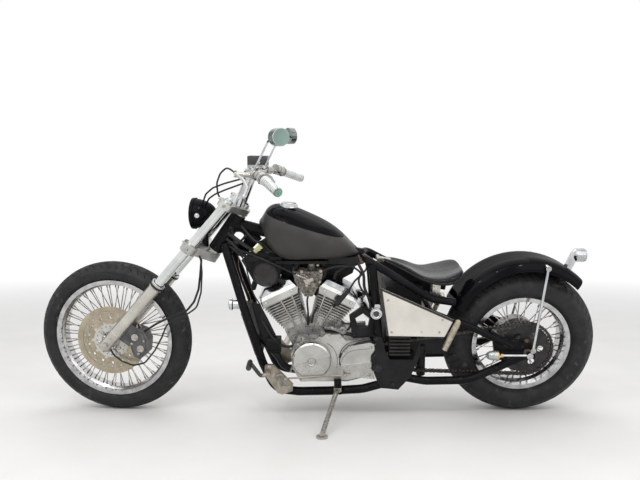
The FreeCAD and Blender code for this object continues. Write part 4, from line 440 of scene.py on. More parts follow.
@dataclass(frozen=True)
class Divided:
    """Two finishes on one solid: the second lies past a limit along or around a line."""

    near: Finish
    far: Finish
    zone: Zone
    start: Vector
    way: Vector
    limit: float
    stance: Body

    def mask(self, tree: Tree, where: Socket) -> Socket:
        """0 on the near side of the limit and 1 past it.

        Args:
            tree: The material's nodes.
            where: The place.

        Returns:
            The socket with the share of the far finish.
        """
        stance = STANCES[self.stance]
        start = stance @ self.start
        way = (stance.to_3x3() @ self.way).normalized()
        run = tree.vector("SUBTRACT", where, start).outputs[0]
        if self.zone is Zone.ALONG:
            along = tree.vector("DOT_PRODUCT", run, way).outputs[1]
            return tree.spread(along, self.limit - SEAM, self.limit + SEAM)
        cross = tree.vector("CROSS_PRODUCT", run, way).outputs[0]
        reach = tree.vector("LENGTH", cross).outputs[1]
        return tree.spread(reach, self.limit - ROUND_SEAM, self.limit + ROUND_SEAM)

    @property
    def name(self) -> str:
        """The name of the material."""
        return f"{self.near.name}_and_{self.far.name}_{self.limit:.3f}_{self.start.x:.2f}_{self.start.y:.2f}"

    def material(self) -> bpy.types.Material:
        """Both finishes as one material.

        Returns:
            The material.
        """
        near, far = self.near, self.far
        tree = Tree(bpy.data.materials.new(self.name))
        where = tree.place()
        mask = self.mask(tree, where)
        colour = tree.blend(mask, near.colour_of(tree, where), far.colour_of(tree, where))
        height = tree.add("ShaderNodeMix", {0: mask, 2: near.height_of(tree, where),
                                            3: far.height_of(tree, where)}, data_type="FLOAT").outputs[0]
        smudge = tree.spread(tree.noise(where, near.clouds * SMUDGE_SCALE, 4.0), *NOISE_RANGE, 0.75, 1.25)
        rough = tree.spread(mask, 0.0, 1.0, near.roughness, far.roughness)
        return tree.shade(height, max(near.relief, far.relief), {
            "Base Color": colour,
            "Metallic": tree.spread(mask, 0.0, 1.0, near.metallic, far.metallic),
            "Roughness": tree.sum("MULTIPLY", rough, smudge),
            "Specular IOR Level": tree.spread(mask, 0.0, 1.0, near.gleam, far.gleam),
            "Coat Weight": tree.spread(mask, 0.0, 1.0, near.coat, far.coat),
        })


# The shop's finishes
TYRE_RUBBER = Finish("tyre_rubber", (0.020, 0.020, 0.021), (0.011, 0.011, 0.012), 0.0, 0.62, 0.12, 22.0,
                     Grain.RUBBER, 900.0, 0.00015, gleam=0.3, stain=(0.060, 0.056, 0.050),
                     stain_share=0.12, stain_scale=26.0)
CHROME = Finish("bright_chrome", (0.64, 0.65, 0.66), (0.46, 0.47, 0.49), 1.0, 0.11, 0.05, 30.0,
                relief=0.0004)
RIM_CHROME = Finish("rim_plate", (0.58, 0.58, 0.58), (0.40, 0.40, 0.41), 1.0, 0.16, 0.07, 34.0,
                    relief=0.0004, stain=(0.16, 0.11, 0.07), stain_share=0.10, stain_scale=150.0)
SPOKE = Finish("spoke_wire", (0.56, 0.55, 0.53), (0.36, 0.34, 0.32), 1.0, 0.24, 0.08, 60.0, relief=0.0002,
               stain=(0.20, 0.13, 0.08), stain_share=0.22, stain_scale=120.0)
NIPPLE = Finish("rusty_nipple", (0.36, 0.31, 0.25), (0.22, 0.18, 0.14), 0.7, 0.42, 0.12, 260.0,
                Grain.CAST, 900.0)
DISC_TAN = Finish("disc_bronze", (0.46, 0.40, 0.30), (0.35, 0.30, 0.22), 0.75, 0.34, 0.08, 26.0,
                  Grain.BRUSHED, 300.0, 0.0001)
DISC_SILVER = Finish("disc_centre", (0.62, 0.61, 0.58), (0.46, 0.45, 0.42), 0.9, 0.30, 0.08, 30.0,
                     Grain.CAST, 700.0)
SLIDER = Finish("slider_alloy", (0.60, 0.58, 0.53), (0.50, 0.48, 0.44), 0.85, 0.27, 0.05, 9.0,
                relief=0.0002)
TUBE = Finish("fork_tube", (0.76, 0.775, 0.765), (0.60, 0.63, 0.615), 1.0, 0.07, 0.02, 9.0, relief=0.0002)
CLAMP = Finish("clamp_casting", (0.58, 0.58, 0.56), (0.42, 0.42, 0.40), 0.85, 0.34, 0.08, 22.0,
               Grain.CAST, 620.0, 0.00025, stain=(0.12, 0.11, 0.10), stain_share=0.12)
DARK_ALLOY = Finish("dark_casting", (0.085, 0.085, 0.088), (0.045, 0.045, 0.048), 0.5, 0.44, 0.1,
                    24.0, Grain.CAST, 700.0, 0.0003)
CALIPER = Finish("caliper_grey", (0.15, 0.15, 0.15), (0.075, 0.075, 0.08), 0.6, 0.42, 0.1, 30.0,
                 Grain.CAST, 700.0, 0.0003)
GLOSS = Finish("black_lacquer", (0.006, 0.006, 0.007), (0.003, 0.003, 0.004), 0.0, 0.50, 0.05, 8.0,
               relief=0.0003, coat=0.30, gleam=0.0)
SATIN = Finish("satin_charcoal", (0.040, 0.037, 0.034), (0.030, 0.028, 0.026), 0.0, 0.46, 0.05, 10.0,
               Grain.RUBBER, 900.0, 0.00005, coat=0.06, gleam=0.3)
FRAME_BLACK = Finish("frame_enamel", (0.009, 0.009, 0.010), (0.005, 0.005, 0.006), 0.0, 0.28, 0.1, 16.0,
                     relief=0.0003, coat=0.16, gleam=0.05, stain=(0.045, 0.040, 0.036), stain_share=0.10,
                     stain_scale=60.0)
PLATE_BLACK = Finish("satin_black", (0.013, 0.013, 0.014), (0.007, 0.007, 0.008), 0.0, 0.42, 0.1,
                     20.0, Grain.CAST, 700.0, 0.0002, gleam=0.2)
FLAT_BLACK = Finish("matte_black", (0.036, 0.034, 0.032), (0.022, 0.021, 0.020), 0.0, 0.62, 0.1,
                    24.0, Grain.CAST, 600.0, 0.0003, gleam=0.3)
HOUSING = Finish("switch_housing", (0.58, 0.57, 0.53), (0.42, 0.41, 0.38), 0.75, 0.28, 0.08, 22.0,
                 Grain.CAST, 520.0, 0.0002)
ENGINE = Finish("cast_alloy", (0.62, 0.615, 0.59), (0.50, 0.495, 0.47), 0.7, 0.40, 0.09, 22.0,
                Grain.CAST, 560.0, 0.00035, stain=(0.16, 0.15, 0.13), stain_share=0.08, stain_scale=170.0)
FINS = Finish("fin_alloy", (0.50, 0.49, 0.47), (0.34, 0.33, 0.31), 0.8, 0.38, 0.1, 36.0, Grain.CAST,
              560.0, 0.0003, stain=(0.07, 0.065, 0.06), stain_share=0.14, stain_scale=130.0)
COVER = Finish("polished_cover", (0.58, 0.58, 0.56), (0.42, 0.42, 0.40), 0.95, 0.17, 0.05, 12.0,
               relief=0.0012)
LID = Finish("polished_lid", (0.38, 0.385, 0.39), (0.16, 0.165, 0.17), 1.0, 0.12, 0.04, 26.0,
             relief=0.0012)
PITTED = Finish("pitted_cover", (0.62, 0.61, 0.58), (0.46, 0.45, 0.43), 0.75, 0.36, 0.1, 16.0,
                Grain.PITTED, 300.0, 0.0008, stain=(0.17, 0.16, 0.15), stain_share=0.30,
                stain_scale=330.0)
CASE = Finish("case_alloy", (0.36, 0.355, 0.34), (0.22, 0.215, 0.205), 0.75, 0.44, 0.1, 40.0,
              Grain.CAST, 560.0, 0.0004, stain=(0.045, 0.042, 0.038), stain_share=0.30, stain_scale=110.0)
CARB = Finish("old_casting", (0.25, 0.235, 0.205), (0.11, 0.10, 0.09), 0.75, 0.40, 0.1, 120.0,
              Grain.CAST, 620.0, 0.0004, stain=(0.025, 0.023, 0.02), stain_share=0.34, stain_scale=150.0)
BRASS = Finish("old_brass", (0.52, 0.47, 0.37), (0.36, 0.32, 0.25), 0.8, 0.34, 0.1, 60.0, Grain.CAST,
               620.0, 0.0003, stain=(0.12, 0.10, 0.08), stain_share=0.15, stain_scale=160.0)
STEEL = Finish("zinc_steel", (0.55, 0.53, 0.49), (0.36, 0.34, 0.31), 0.9, 0.30, 0.1, 70.0, Grain.CAST,
               700.0, 0.0002, stain=(0.20, 0.13, 0.08), stain_share=0.18, stain_scale=140.0)
BLACK_BOLT = Finish("black_bolt", (0.035, 0.035, 0.037), (0.018, 0.018, 0.02), 0.6, 0.36, 0.1,
                    80.0, Grain.CAST, 700.0, 0.0001)
RUST = Finish("rusted_steel", (0.19, 0.125, 0.085), (0.09, 0.062, 0.045), 0.35, 0.62, 0.12, 90.0,
              Grain.CAST, 500.0, 0.0004, stain=(0.24, 0.22, 0.20), stain_share=0.25, stain_scale=90.0)
CHAIN = Finish("oiled_chain", (0.070, 0.066, 0.060), (0.028, 0.027, 0.026), 0.8, 0.36, 0.1, 120.0,
               Grain.CAST, 600.0, 0.0001)
SPROCKET = Finish("dark_sprocket", (0.035, 0.034, 0.033), (0.018, 0.018, 0.018), 0.5, 0.40, 0.1,
                  40.0, Grain.CAST, 600.0, 0.0002)
RUBBER = Finish("cable_rubber", (0.013, 0.013, 0.014), (0.008, 0.008, 0.009), 0.0, 0.46, 0.1, 60.0,
                Grain.RUBBER, 900.0, 0.0001, gleam=0.35)
HIDE = Finish("seat_hide", (0.010, 0.010, 0.012), (0.005, 0.005, 0.006), 0.0, 0.26, 0.06, 20.0,
              Grain.HIDE, 640.0, 0.00006, coat=0.3, gleam=0.12)
WELT = Finish("seat_welt", (0.014, 0.014, 0.016), (0.007, 0.007, 0.008), 0.0, 0.36, 0.08, 50.0,
              Grain.HIDE, 900.0, 0.0003, coat=0.3, gleam=0.3)
PANEL = Finish("brushed_panel", (0.74, 0.71, 0.65), (0.63, 0.60, 0.55), 0.45, 0.44, 0.08, 10.0,
               Grain.BRUSHED, 200.0, 0.0002, stain=(0.46, 0.43, 0.38), stain_share=0.10, stain_scale=30.0)
BOX_BLACK = Finish("black_plastic", (0.014, 0.014, 0.014), (0.008, 0.008, 0.008), 0.0, 0.52, 0.1,
                   30.0, Grain.CAST, 600.0, 0.0002, gleam=0.2)
PLATE_BRONZE = Finish("control_plate", (0.40, 0.36, 0.29), (0.27, 0.24, 0.19), 0.7, 0.36, 0.08,
                      24.0, Grain.CAST, 520.0, 0.0003)
PEG = Finish("pillion_alloy", (0.60, 0.60, 0.57), (0.44, 0.44, 0.42), 0.8, 0.32, 0.08, 30.0, Grain.CAST,
             520.0, 0.0002)
GRIP = Finish("pearl_grip", (0.74, 0.75, 0.72), (0.62, 0.64, 0.60), 0.25, 0.22, 0.06, 20.0,
              relief=0.0003, coat=0.5)
GREEN_GLASS = Finish("green_glass", (0.40, 0.62, 0.50), (0.25, 0.50, 0.38), 0.0, 0.08, 0.03, 16.0,
                     relief=0.0002, glass=0.75)
CLEAR_GLASS = Finish("clear_lens", (0.86, 0.90, 0.87), (0.78, 0.82, 0.79), 0.0, 0.06, 0.03, 16.0,
                     relief=0.0003, glass=0.85)
AMBER = Finish("brass_ring", (0.72, 0.52, 0.20), (0.50, 0.34, 0.12), 0.85, 0.26, 0.06, 40.0,
               Grain.CAST, 500.0)
MIRROR_GLASS = Finish("mirror_face", (0.30, 0.40, 0.36), (0.22, 0.32, 0.28), 1.0, 0.03, 0.01, 8.0,
                      relief=0.00005)
MIRROR_SHELL = Finish("mirror_shell", (0.22, 0.24, 0.23), (0.11, 0.13, 0.12), 0.9, 0.14, 0.04, 20.0,
                      relief=0.0003)
LAMP_RED = Finish("red_lens", (0.55, 0.03, 0.02), (0.38, 0.015, 0.01), 0.0, 0.10, 0.03, 20.0,
                  relief=0.0004, glass=0.5, coat=0.5)
YELLOW = Finish("faded_yellow", (0.56, 0.55, 0.26), (0.42, 0.42, 0.18), 0.0, 0.40, 0.08, 40.0,
                Grain.CAST, 500.0, 0.0001)


# Meshes
POINT = 0.00002  # what counts as no distance


def square_to(way: Vector) -> tuple[Vector, Vector]:
    """Two unit vectors square to a direction and to each other.

    Args:
        way: The direction.

    Returns:
        The two vectors.
    """
    way = way.normalized()
    other = UP if abs(way.z) < 0.9 else BACK
    first = way.cross(other).normalized()
    return first, way.cross(first).normalized()


def smooth_path(points: Sequence[Vector], steps: int = 6) -> list[Vector]:
    """A smooth line through points.

    Args:
        points: The points that it passes.
        steps: Steps between two of them.

    Returns:
        The places along it.
    """
    ends = [points[0] * 2 - points[1], *points, points[-1] * 2 - points[-2]]
    line = []
    for a, b, c, d in zip(ends, ends[1:], ends[2:], ends[3:]):
        for step in range(steps):
            t = step / steps
            line.append(0.5 * (2 * b + (c - a) * t + (2 * a - 5 * b + 4 * c - d) * t ** 2
                               + (3 * b - a - 3 * c + d) * t ** 3))
    return line + [points[-1].copy()]


def dome(radius: float, foot: float, rise: float, count: int) -> list[Pair]:
    """The outline of a lens, from its rim at foot to its top, in count steps."""
    return [(radius * math.sin(a), foot + rise * math.cos(a)) for a in
            (math.pi / 2 * (1 - k / count) for k in range(count + 1))]


class Form:
    """A mesh under construction."""

    def __init__(self) -> None:
        """Starts with nothing."""
        self.points: list[Vector] = []
        self.faces: list[tuple[int, ...]] = []

    def loft(self, rings: Sequence[Sequence[Vector]], round_about: bool = True,
             caps: bool = True) -> "Form":
        """Joins rings of equal count into a skin.

        Args:
            rings: Lists of places.
            round_about: Whether each ring closes on itself.
            caps: Whether the ends are closed.

        Returns:
            The form itself.
        """
        start = len(self.points)
        count = len(rings[0])
        for ring in rings:
            self.points.extend(ring)
        last = count if round_about else count - 1
        for row in range(len(rings) - 1):
            for column in range(last):
                a = start + row * count + column
                b = start + row * count + (column + 1) % count
                self.faces.append((a, b, b + count, a + count))
        if caps and round_about:
            self.faces.append(tuple(range(start + count - 1, start - 1, -1)))
            end = start + (len(rings) - 1) * count
            self.faces.append(tuple(range(end, end + count)))
        return self

    def turn(self, outline: Iterable[Pair], centre: Vector, way: Vector, count: int = 24,
             caps: bool = True, start: float = 0.0) -> "Form":
        """Turns an outline of radius and height about a line.

        Args:
            outline: Pairs of radius and height.
            centre: The line's start.
            way: The line's direction.
            count: Sides of the round.
            caps: Whether its ends are closed.
            start: Angle of the first corner.

        Returns:
            The form itself.
        """
        first, second = square_to(way)
        way = way.normalized()
        rings = []
        for radius, height in outline:
            radius = max(radius, POINT)
            rings.append([centre + way * height + (first * math.cos(a) + second * math.sin(a)) * radius
                          for a in (start + math.tau * k / count for k in range(count))])
        return self.loft(rings, True, caps)

    def ring(self, outline: Sequence[Pair], centre: Vector, way: Vector, count: int = 32) -> "Form":
        """Turns a closed outline about a line, as a ring."""
        return self.turn([*outline, outline[0]], centre, way, count, False)

    def band(self, radii: Pair, foot: float, width: float, ease: float, centre: Vector, way: Vector,
             count: int = 32) -> "Form":
        """A raised band round a line.

        Args:
            radii: Its inner and its outer radius.
            foot: Where it starts along the line.
            width: Its width along the line.
            ease: How far its outer edges are drawn in.
            centre: The line's start.
            way: The line's direction.
            count: Sides of the round.

        Returns:
            The form itself.
        """
        inner, outer = radii
        top = foot + width
        return self.ring(((inner, foot), (outer, foot + ease), (outer, top - ease), (inner, top)),
                         centre, way, count)

    def rod(self, start: Vector, end: Vector, radius: float, count: int = 14,
            edge: float = 0.0008) -> "Form":
        """A round bar with eased ends.

        Args:
            start: The middle of one end.
            end: The middle of the other.
            radius: Its radius.
            count: How many sides it has.
            edge: How far its ends are eased.

        Returns:
            This form.
        """
        long = (end - start).length
        edge = min(edge, radius * 0.4, long * 0.3)
        return self.turn(((radius - edge, 0), (radius, edge), (radius, long - edge),
                          (radius - edge, long)),
                         start, end - start, count)

    def pipe(self, path: Sequence[Vector], radius: float, count: int = 10,
             swell: Callable[[float], float] | None = None) -> "Form":
        """A round tube along a line.

        Args:
            path: The places along it.
            radius: Its radius.
            count: Sides of the round.
            swell: Factor of the radius by the share of the length, if it varies.

        Returns:
            The form itself.
        """
        rings = []
        first, _ = square_to(path[1] - path[0])
        for index, place in enumerate(path):
            ahead = path[min(index + 1, len(path) - 1)] - path[max(index - 1, 0)]
            way = ahead.normalized()
            first = (first - way * first.dot(way)).normalized()
            second = way.cross(first)
            reach = radius * (swell(index / (len(path) - 1)) if swell else 1.0)
            rings.append([place + (first * math.cos(a) + second * math.sin(a)) * reach
                          for a in (math.tau * k / count for k in range(count))])
        return self.loft(rings)

    def runs(self, runs: Iterable[Run]) -> "Form":
        """Smooth round runs on the left, each a radius and the places that it passes."""
        for radius, places in runs:
            self.pipe(smooth_path(left(places), 8), radius, 12)
        return self

    def nut(self, foot: Vector, way: Vector, size: float, height: float) -> "Form":
        """A six-sided head on a washer, its size across the corners' radius."""
        washer = height * 0.18
        self.turn(((size * 1.25, 0), (size * 1.25, washer)), foot, way, 20)
        return self.turn(((size, washer), (size, height * 0.86), (size * 0.84, height)), foot, way, 6)

    def screw(self, foot: Vector, way: Vector, radius: float, height: float) -> "Form":
        """A round screw head with a socket."""
        return self.turn(((radius, 0), (radius, height * 0.8), (radius * 0.86, height),
                          (radius * 0.52, height), (radius * 0.46, height * 0.42), (0, height * 0.36)),
                         foot, way, 16)

    def screws(self, spots: Iterable[Pair], across: float, way: Vector, radius: float,
               height: float) -> "Form":
        """Round screw heads at pairs of x and z, all as far across."""
        for x, z in spots:
            self.screw(Vector((x, across, z)), way, radius, height)
        return self

    def plate(self, outline: Sequence[Vector], way: Vector, thick: float, ease: float = 0.001) -> "Form":
        """A flat plate with eased edges.

        Args:
            outline: Its corners in turn.
            way: The direction of its thickness.
            thick: Its thickness.
            ease: How far its edges are eased.

        Returns:
            The form itself.
        """
        way = way.normalized()
        middle = sum(outline, Vector()) / len(outline)
        rings = []
        for rise, shrink in ((0, ease), (ease, 0), (thick - ease, 0), (thick, ease)):
            rings.append([corner + (middle - corner).normalized() * shrink + way * rise
                          for corner in outline])
        return self.loft(rings)

    def box(self, centre: Vector, half: Vector, ease: float = 0.002,
            axes: Matrix | None = None) -> "Form":
        """A block with eased edges about its centre.

        Args:
            centre: Its centre.
            half: Half its size along each axis.
            ease: How far its edges are eased.
            axes: How it is turned.

        Returns:
            This form.
        """
        axes = axes or Matrix.Identity(3)
        corners = [centre + axes @ Vector((half.x * x, half.y * y, -half.z)) for x, y in
                   ((-1, -1), (1, -1), (1, 1), (-1, 1))]
        return self.plate(corners, axes @ UP, 2 * half.z, ease)


@dataclass
class Fitter:
    """Turns forms into pieces of the scene and keeps count of them."""

    pieces: int = 0

    def fit(self, name: str, form: Form, finish: Finish | Divided, body: Body,
            replaces: Sequence[str] = (), angle: float = 38.0) -> bpy.types.Object:
        """Makes a piece of a form.

        Args:
            name: The piece's name.
            form: Its mesh, on the upright machine.
            finish: Its surface.
            body: What it moves with.
            replaces: Solids that it stands for.
            angle: Edges sharper than this stay sharp, in degrees.

        Returns:
            The piece.
        """
        mesh = bpy.data.meshes.new(name)
        mesh.from_pydata([STANCES[body] @ point for point in form.points], [], form.faces)
        work = bmesh.new()
        work.from_mesh(mesh)
        bmesh.ops.recalc_face_normals(work, faces=work.faces)
        for face in work.faces:
            face.smooth = True
        limit = math.radians(angle)
        for edge in work.edges:
            edge.smooth = edge.calc_face_angle(0.0) < limit
        work.to_mesh(mesh)
        work.free()
        piece = bpy.data.objects.new(name, mesh)
        bpy.context.scene.collection.objects.link(piece)
        mesh.materials.append(finish.material())
        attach(piece, body.value)
        if replaces:
            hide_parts(*replaces)
        self.pieces += 1
        return piece


FIT = Fitter()


# Wheels
WALL = 2.0  # a tyre's wall, where a share out along the crown goes up to 1


@dataclass
class Tyre:
    """A tyre with a grooved tread and shoulders, and ribs on its walls."""

    name: str
    body: Body
    axle: Vector
    radius: float
    width: float
    crown: float
    flange: float
    seat_width: float
    around: int = 600
    blocks: int = 30
    wall_steps: int = 12
    crown_steps: int = 30
    shoulder: float = math.radians(52.0)
    groove: float = 0.0044
    bead: float = 0.0011

    def section(self) -> list[tuple[float, float, float]]:
        """The outline from bead to bead: reach, side, and the share out along the crown.

        Returns:
            The outline's places, each with its share.
        """
        half = self.seat_width / 2
        shoulder_reach = self.radius - self.crown + self.crown * math.cos(self.shoulder)
        shoulder_side = self.crown * math.sin(self.shoulder)
        widest = ((self.flange + shoulder_reach) / 2, self.width / 2)
        centre, reach = circle_through((self.flange, half), widest, (shoulder_reach, shoulder_side))
        first = math.atan2(half - centre[1], self.flange - centre[0])
        last = math.atan2(shoulder_side - centre[1], shoulder_reach - centre[0])
        wall = []
        for index in range(self.wall_steps):
            angle = first + (last - first) * index / self.wall_steps
            out = reach + (self.bead if index in (3, 4, 9) else 0.0)
            wall.append((centre[0] + out * math.cos(angle), centre[1] + out * math.sin(angle), WALL))
        crown = []
        for index in range(self.crown_steps + 1):
            share = 1 - 2 * index / self.crown_steps
            rise = self.crown * math.cos(self.shoulder * share)
            side = self.crown * math.sin(self.shoulder * share)
            crown.append((self.radius - self.crown + rise, side, share))
        return wall + crown + [(rise, -side, share) for rise, side, share in reversed(wall)]

    def depth(self, turn: float, share: float) -> float:
        """How deep the tread is cut at a place.

        Args:
            turn: The angle about the axle, in blocks.
            share: The share out along the crown, or WALL.

        Returns:
            The depth in metres.
        """
        if share == WALL:
            return 0.0
        out = abs(share)
        phase = turn + (0.5 if share < 0 else 0.0)
        swing = abs((phase % 1.0) - 0.5) * 2
        if abs(out - 0.13) < 0.035:
            return self.groove
        if abs(out - (0.52 + 0.30 * (swing - 0.5))) < 0.055:
            return self.groove
        edge = (phase * 2 + out * 1.1) % 1.0
        if out > 0.62 and edge < 0.20:
            return self.groove * (1.0 if out < 0.96 else 0.4)
        if 0.17 < out < 0.36 and ((phase * 2 - out * 1.6) % 1.0) < 0.16:
            return self.groove * 0.8
        return 0.0

    def build(self) -> None:
        """Makes the tyre in place of its plain solid."""
        form = Form()
        section = self.section()
        rings = []
        for index, way in enumerate(spokes(self.around)):
            turn = self.blocks * index / self.around
            rings.append([self.axle + way * (reach - self.depth(turn, share)) + ACROSS * side
                          for reach, side, share in section])
        form.loft([*rings, rings[0]], False, False)
        weld(FIT.fit(self.name + "_tread", form, TYRE_RUBBER, self.body, (self.name,), 30.0))


def circle_through(first: Pair, middle: Pair, last: Pair) -> tuple[Pair, float]:
    """The circle through three places.

    Args:
        first: One place.
        middle: Another.
        last: The third.

    Returns:
        Its centre and radius.
    """
    (ax, ay), (bx, by), (cx, cy) = first, middle, last
    a, b, c = (x ** 2 + y ** 2 for x, y in (first, middle, last))
    d = 2 * (ax * (by - cy) + bx * (cy - ay) + cx * (ay - by))
    x = (a * (by - cy) + b * (cy - ay) + c * (ay - by)) / d
    y = (a * (cx - bx) + b * (ax - cx) + c * (bx - ax)) / d
    return (x, y), math.hypot(ax - x, ay - y)


def weld(piece: bpy.types.Object) -> None:
    """Joins the points of a piece that lie on each other.

    Args:
        piece: The piece, whose mesh is changed.
    """
    work = bmesh.new()
    work.from_mesh(piece.data)
    bmesh.ops.remove_doubles(work, verts=work.verts, dist=POINT)
    bmesh.ops.recalc_face_normals(work, faces=work.faces)
    work.to_mesh(piece.data)
    work.free()


@dataclass
class Wheels:
    """Tyres, nipples, valves and the bolts on discs and sprocket."""

    spoke_spread: float = 0.014
    nipple_radius: float = 0.0031
    nipple_length: float = 0.013

    def nipples(self, name: str, body: Body, axle: Vector, count: int, reach: float) -> None:
        """The nipples round a rim.

        Args:
            name: The piece's name.
            body: The wheel.
            axle: Its centre.
            count: How many spokes it has.
            reach: The radius at which they end.
        """
        form = Form()
        for index, way in enumerate(spokes(count)):
            side = -1 if index % 2 else 1
            tip = axle + way * (reach - 0.0006) + ACROSS * side * self.spoke_spread / 2
            foot = tip - way * self.nipple_length + ACROSS * side * 0.0014
            form.turn(((self.nipple_radius * 0.8, 0), (self.nipple_radius, 0.002),
                       (self.nipple_radius, self.nipple_length)), foot, tip - foot, 8)
        FIT.fit(name, form, NIPPLE, body)

    def valve(self, name: str, body: Body, axle: Vector, reach: float) -> None:
        """A valve stem inside a rim.

        Args:
            name: The piece's name.
            body: The wheel.
            axle: Its centre.
            reach: The radius at which the stem starts.
        """
        way = about(0.9)
        form = Form().turn(((0.0046, 0), (0.0046, 0.003), (0.0028, 0.005), (0.0028, 0.021),
                            (0.0038, 0.022), (0.0038, 0.030), (0.0028, 0.032)), axle + way * reach,
                           -way, 12)
        FIT.fit(name, form, STEEL, body)

    def build(self) -> None:
        """Makes everything that turns with the wheels."""
        Tyre("front_tyre", Body.FRONT_WHEEL, FRONT_AXLE, radius=0.330, width=0.100, crown=0.052,
             flange=0.256, seat_width=0.066).build()
        Tyre("rear_tyre", Body.REAR_WHEEL, REAR_AXLE, radius=0.321, width=0.168, crown=0.088,
             flange=0.208, seat_width=0.106, blocks=26).build()
        rims = (("front", Body.FRONT_WHEEL, FRONT_AXLE, 72, 0.2282),
                ("rear", Body.REAR_WHEEL, REAR_AXLE, 40, 0.1802))
        for name, body, axle, count, reach in rims:
            self.nipples(name + "_nipples", body, axle, count, reach)
        for name, body, axle, _, reach in rims:
            self.valve(name + "_valve", body, axle, reach + 0.0003)
        self.disc()
        nuts = Form()
        for out in spokes(5, 0.2):
            nuts.nut(REAR_AXLE + out * 0.036 - ACROSS * 0.1085, -ACROSS, 0.0085, 0.008)
        FIT.fit("sprocket_nuts", nuts, RUST, Body.REAR_WHEEL)

    def disc(self) -> None:
        """The disc's bolts, the buttons that carry its ring, and its carrier's rivets and edges."""
        bolts = Form()
        for out in spokes(6, 0.3):
            bolts.screw(FRONT_AXLE + out * 0.048 - ACROSS * 0.0679, -ACROSS, 0.0062, 0.0026)
        FIT.fit("disc_bolts", bolts, STEEL, Body.FRONT_WHEEL)
        face = FRONT_AXLE - ACROSS * 0.0650
        buttons = Form()
        for out in spokes(10):
            buttons.turn(((0.0068, 0), (0.0068, 0.0012), (0.0052, 0.0018), (0.0030, 0.0008), (0, 0.0008)),
                         face + out * 0.079, -ACROSS, 16)
        for reach in (0.1035, 0.1255):
            buttons.ring(((reach - 0.0010, 0.0), (reach - 0.0006, 0.0008), (reach + 0.0006, 0.0008),
                          (reach + 0.0010, 0.0)), face, -ACROSS, 72)
        for out in spokes(18, math.pi / 18):
            buttons.turn(((0.0044, 0), (0.0044, 0.0007), (0.0034, 0.0009), (0.0030, 0.0002), (0, 0.0002)),
                         face + out * 0.1145, -ACROSS, 14)
        FIT.fit("disc_buttons", buttons, DISC_SILVER, Body.FRONT_WHEEL)


# Driveline
@dataclass
class Chain:
    """The drive chain, link by link, round both sprockets."""

    front: Vector = field(default_factory=lambda: Vector((1.010, 0.0, 0.278)))
    rear: Vector = field(default_factory=lambda: REAR_AXLE.copy())
    front_radius: float = 0.043
    rear_radius: float = 0.114
    pitch: float = 0.015875
    side: float = -0.100

    def pins(self) -> list[Vector]:
        """The pins' places round the loop.

        Returns:
            The places, in order.
        """
        run = self.rear - self.front
        slope = math.atan2(run.z, run.x)
        flare = math.asin((self.rear_radius - self.front_radius) / run.length)
        straight = run.length * math.cos(flare)
        rear_arc = (math.pi + 2 * flare) * self.rear_radius
        front_arc = (math.pi - 2 * flare) * self.front_radius
        total = 2 * straight + rear_arc + front_arc
        count = 2 * round(total / self.pitch / 2)
        top = slope + math.pi / 2 + flare
        low = slope - math.pi / 2 - flare

        def front(angle: float) -> Vector:
            """A place on the front sprocket's pitch circle."""
            return self.front + about(angle) * self.front_radius

        def rear(angle: float) -> Vector:
            """A place on the rear sprocket's pitch circle."""
            return self.rear + about(angle) * self.rear_radius

        found = []
        for index in range(count):
            far = index * total / count
            if far < straight:
                found.append(front(top).lerp(rear(top), far / straight))
            elif far < straight + rear_arc:
                found.append(rear(top - (far - straight) / self.rear_radius))
            elif far < 2 * straight + rear_arc:
                found.append(rear(low).lerp(front(low), (far - straight - rear_arc) / straight))
            else:
                found.append(front(low - (far - 2 * straight - rear_arc) / self.front_radius))
        return found

    def link(self, form: Form, start: Vector, end: Vector, inner: float, thick: float) -> None:
        """One side plate, waisted between its two pins.

        Args:
            form: What the plate is added to.
            start: One pin's place.
            end: The other pin's place.
            inner: Where its inner face is, across the machine.
            thick: How thick it is.
        """
        way = (end - start).normalized()
        rise = way.cross(ACROSS)
        outline = []
        for centre, first in ((start, 90), (end, -90)):
            for step in range(7):
                angle = math.radians(first + step * 30)
                outline.append(centre + (way * math.cos(angle) + rise * math.sin(angle)) * 0.0062)
            outline.append((start + end) / 2 + rise * (-0.0042 if first == 90 else 0.0042))
        form.plate([p + ACROSS * (self.side + inner) for p in outline], ACROSS, thick, 0.0003)

    def build(self) -> None:
        """Makes the chain in place of its plain solid."""
        pins = self.pins()
        plates = Form()
        rollers = Form()
        for index, place in enumerate(pins):
            after = pins[(index + 1) % len(pins)]
            reach = 0.0058 if index % 2 else 0.0078
            for inner in (reach, -reach):
                self.link(plates, place, after, inner - 0.0009, 0.0018)
            middle = place + ACROSS * self.side
            rollers.rod(middle - ACROSS * 0.0048, middle + ACROSS * 0.0048, 0.0050, 10, 0.0005)
            plates.rod(middle - ACROSS * 0.0094, middle + ACROSS * 0.0094, 0.0024, 8, 0.0004)
        piece = FIT.fit("chain_plates", plates, CHAIN, Body.FRAME, ("drive_chain",))
        piece.data.shade_flat()
        FIT.fit("chain_rollers", rollers, STEEL, Body.FRAME)


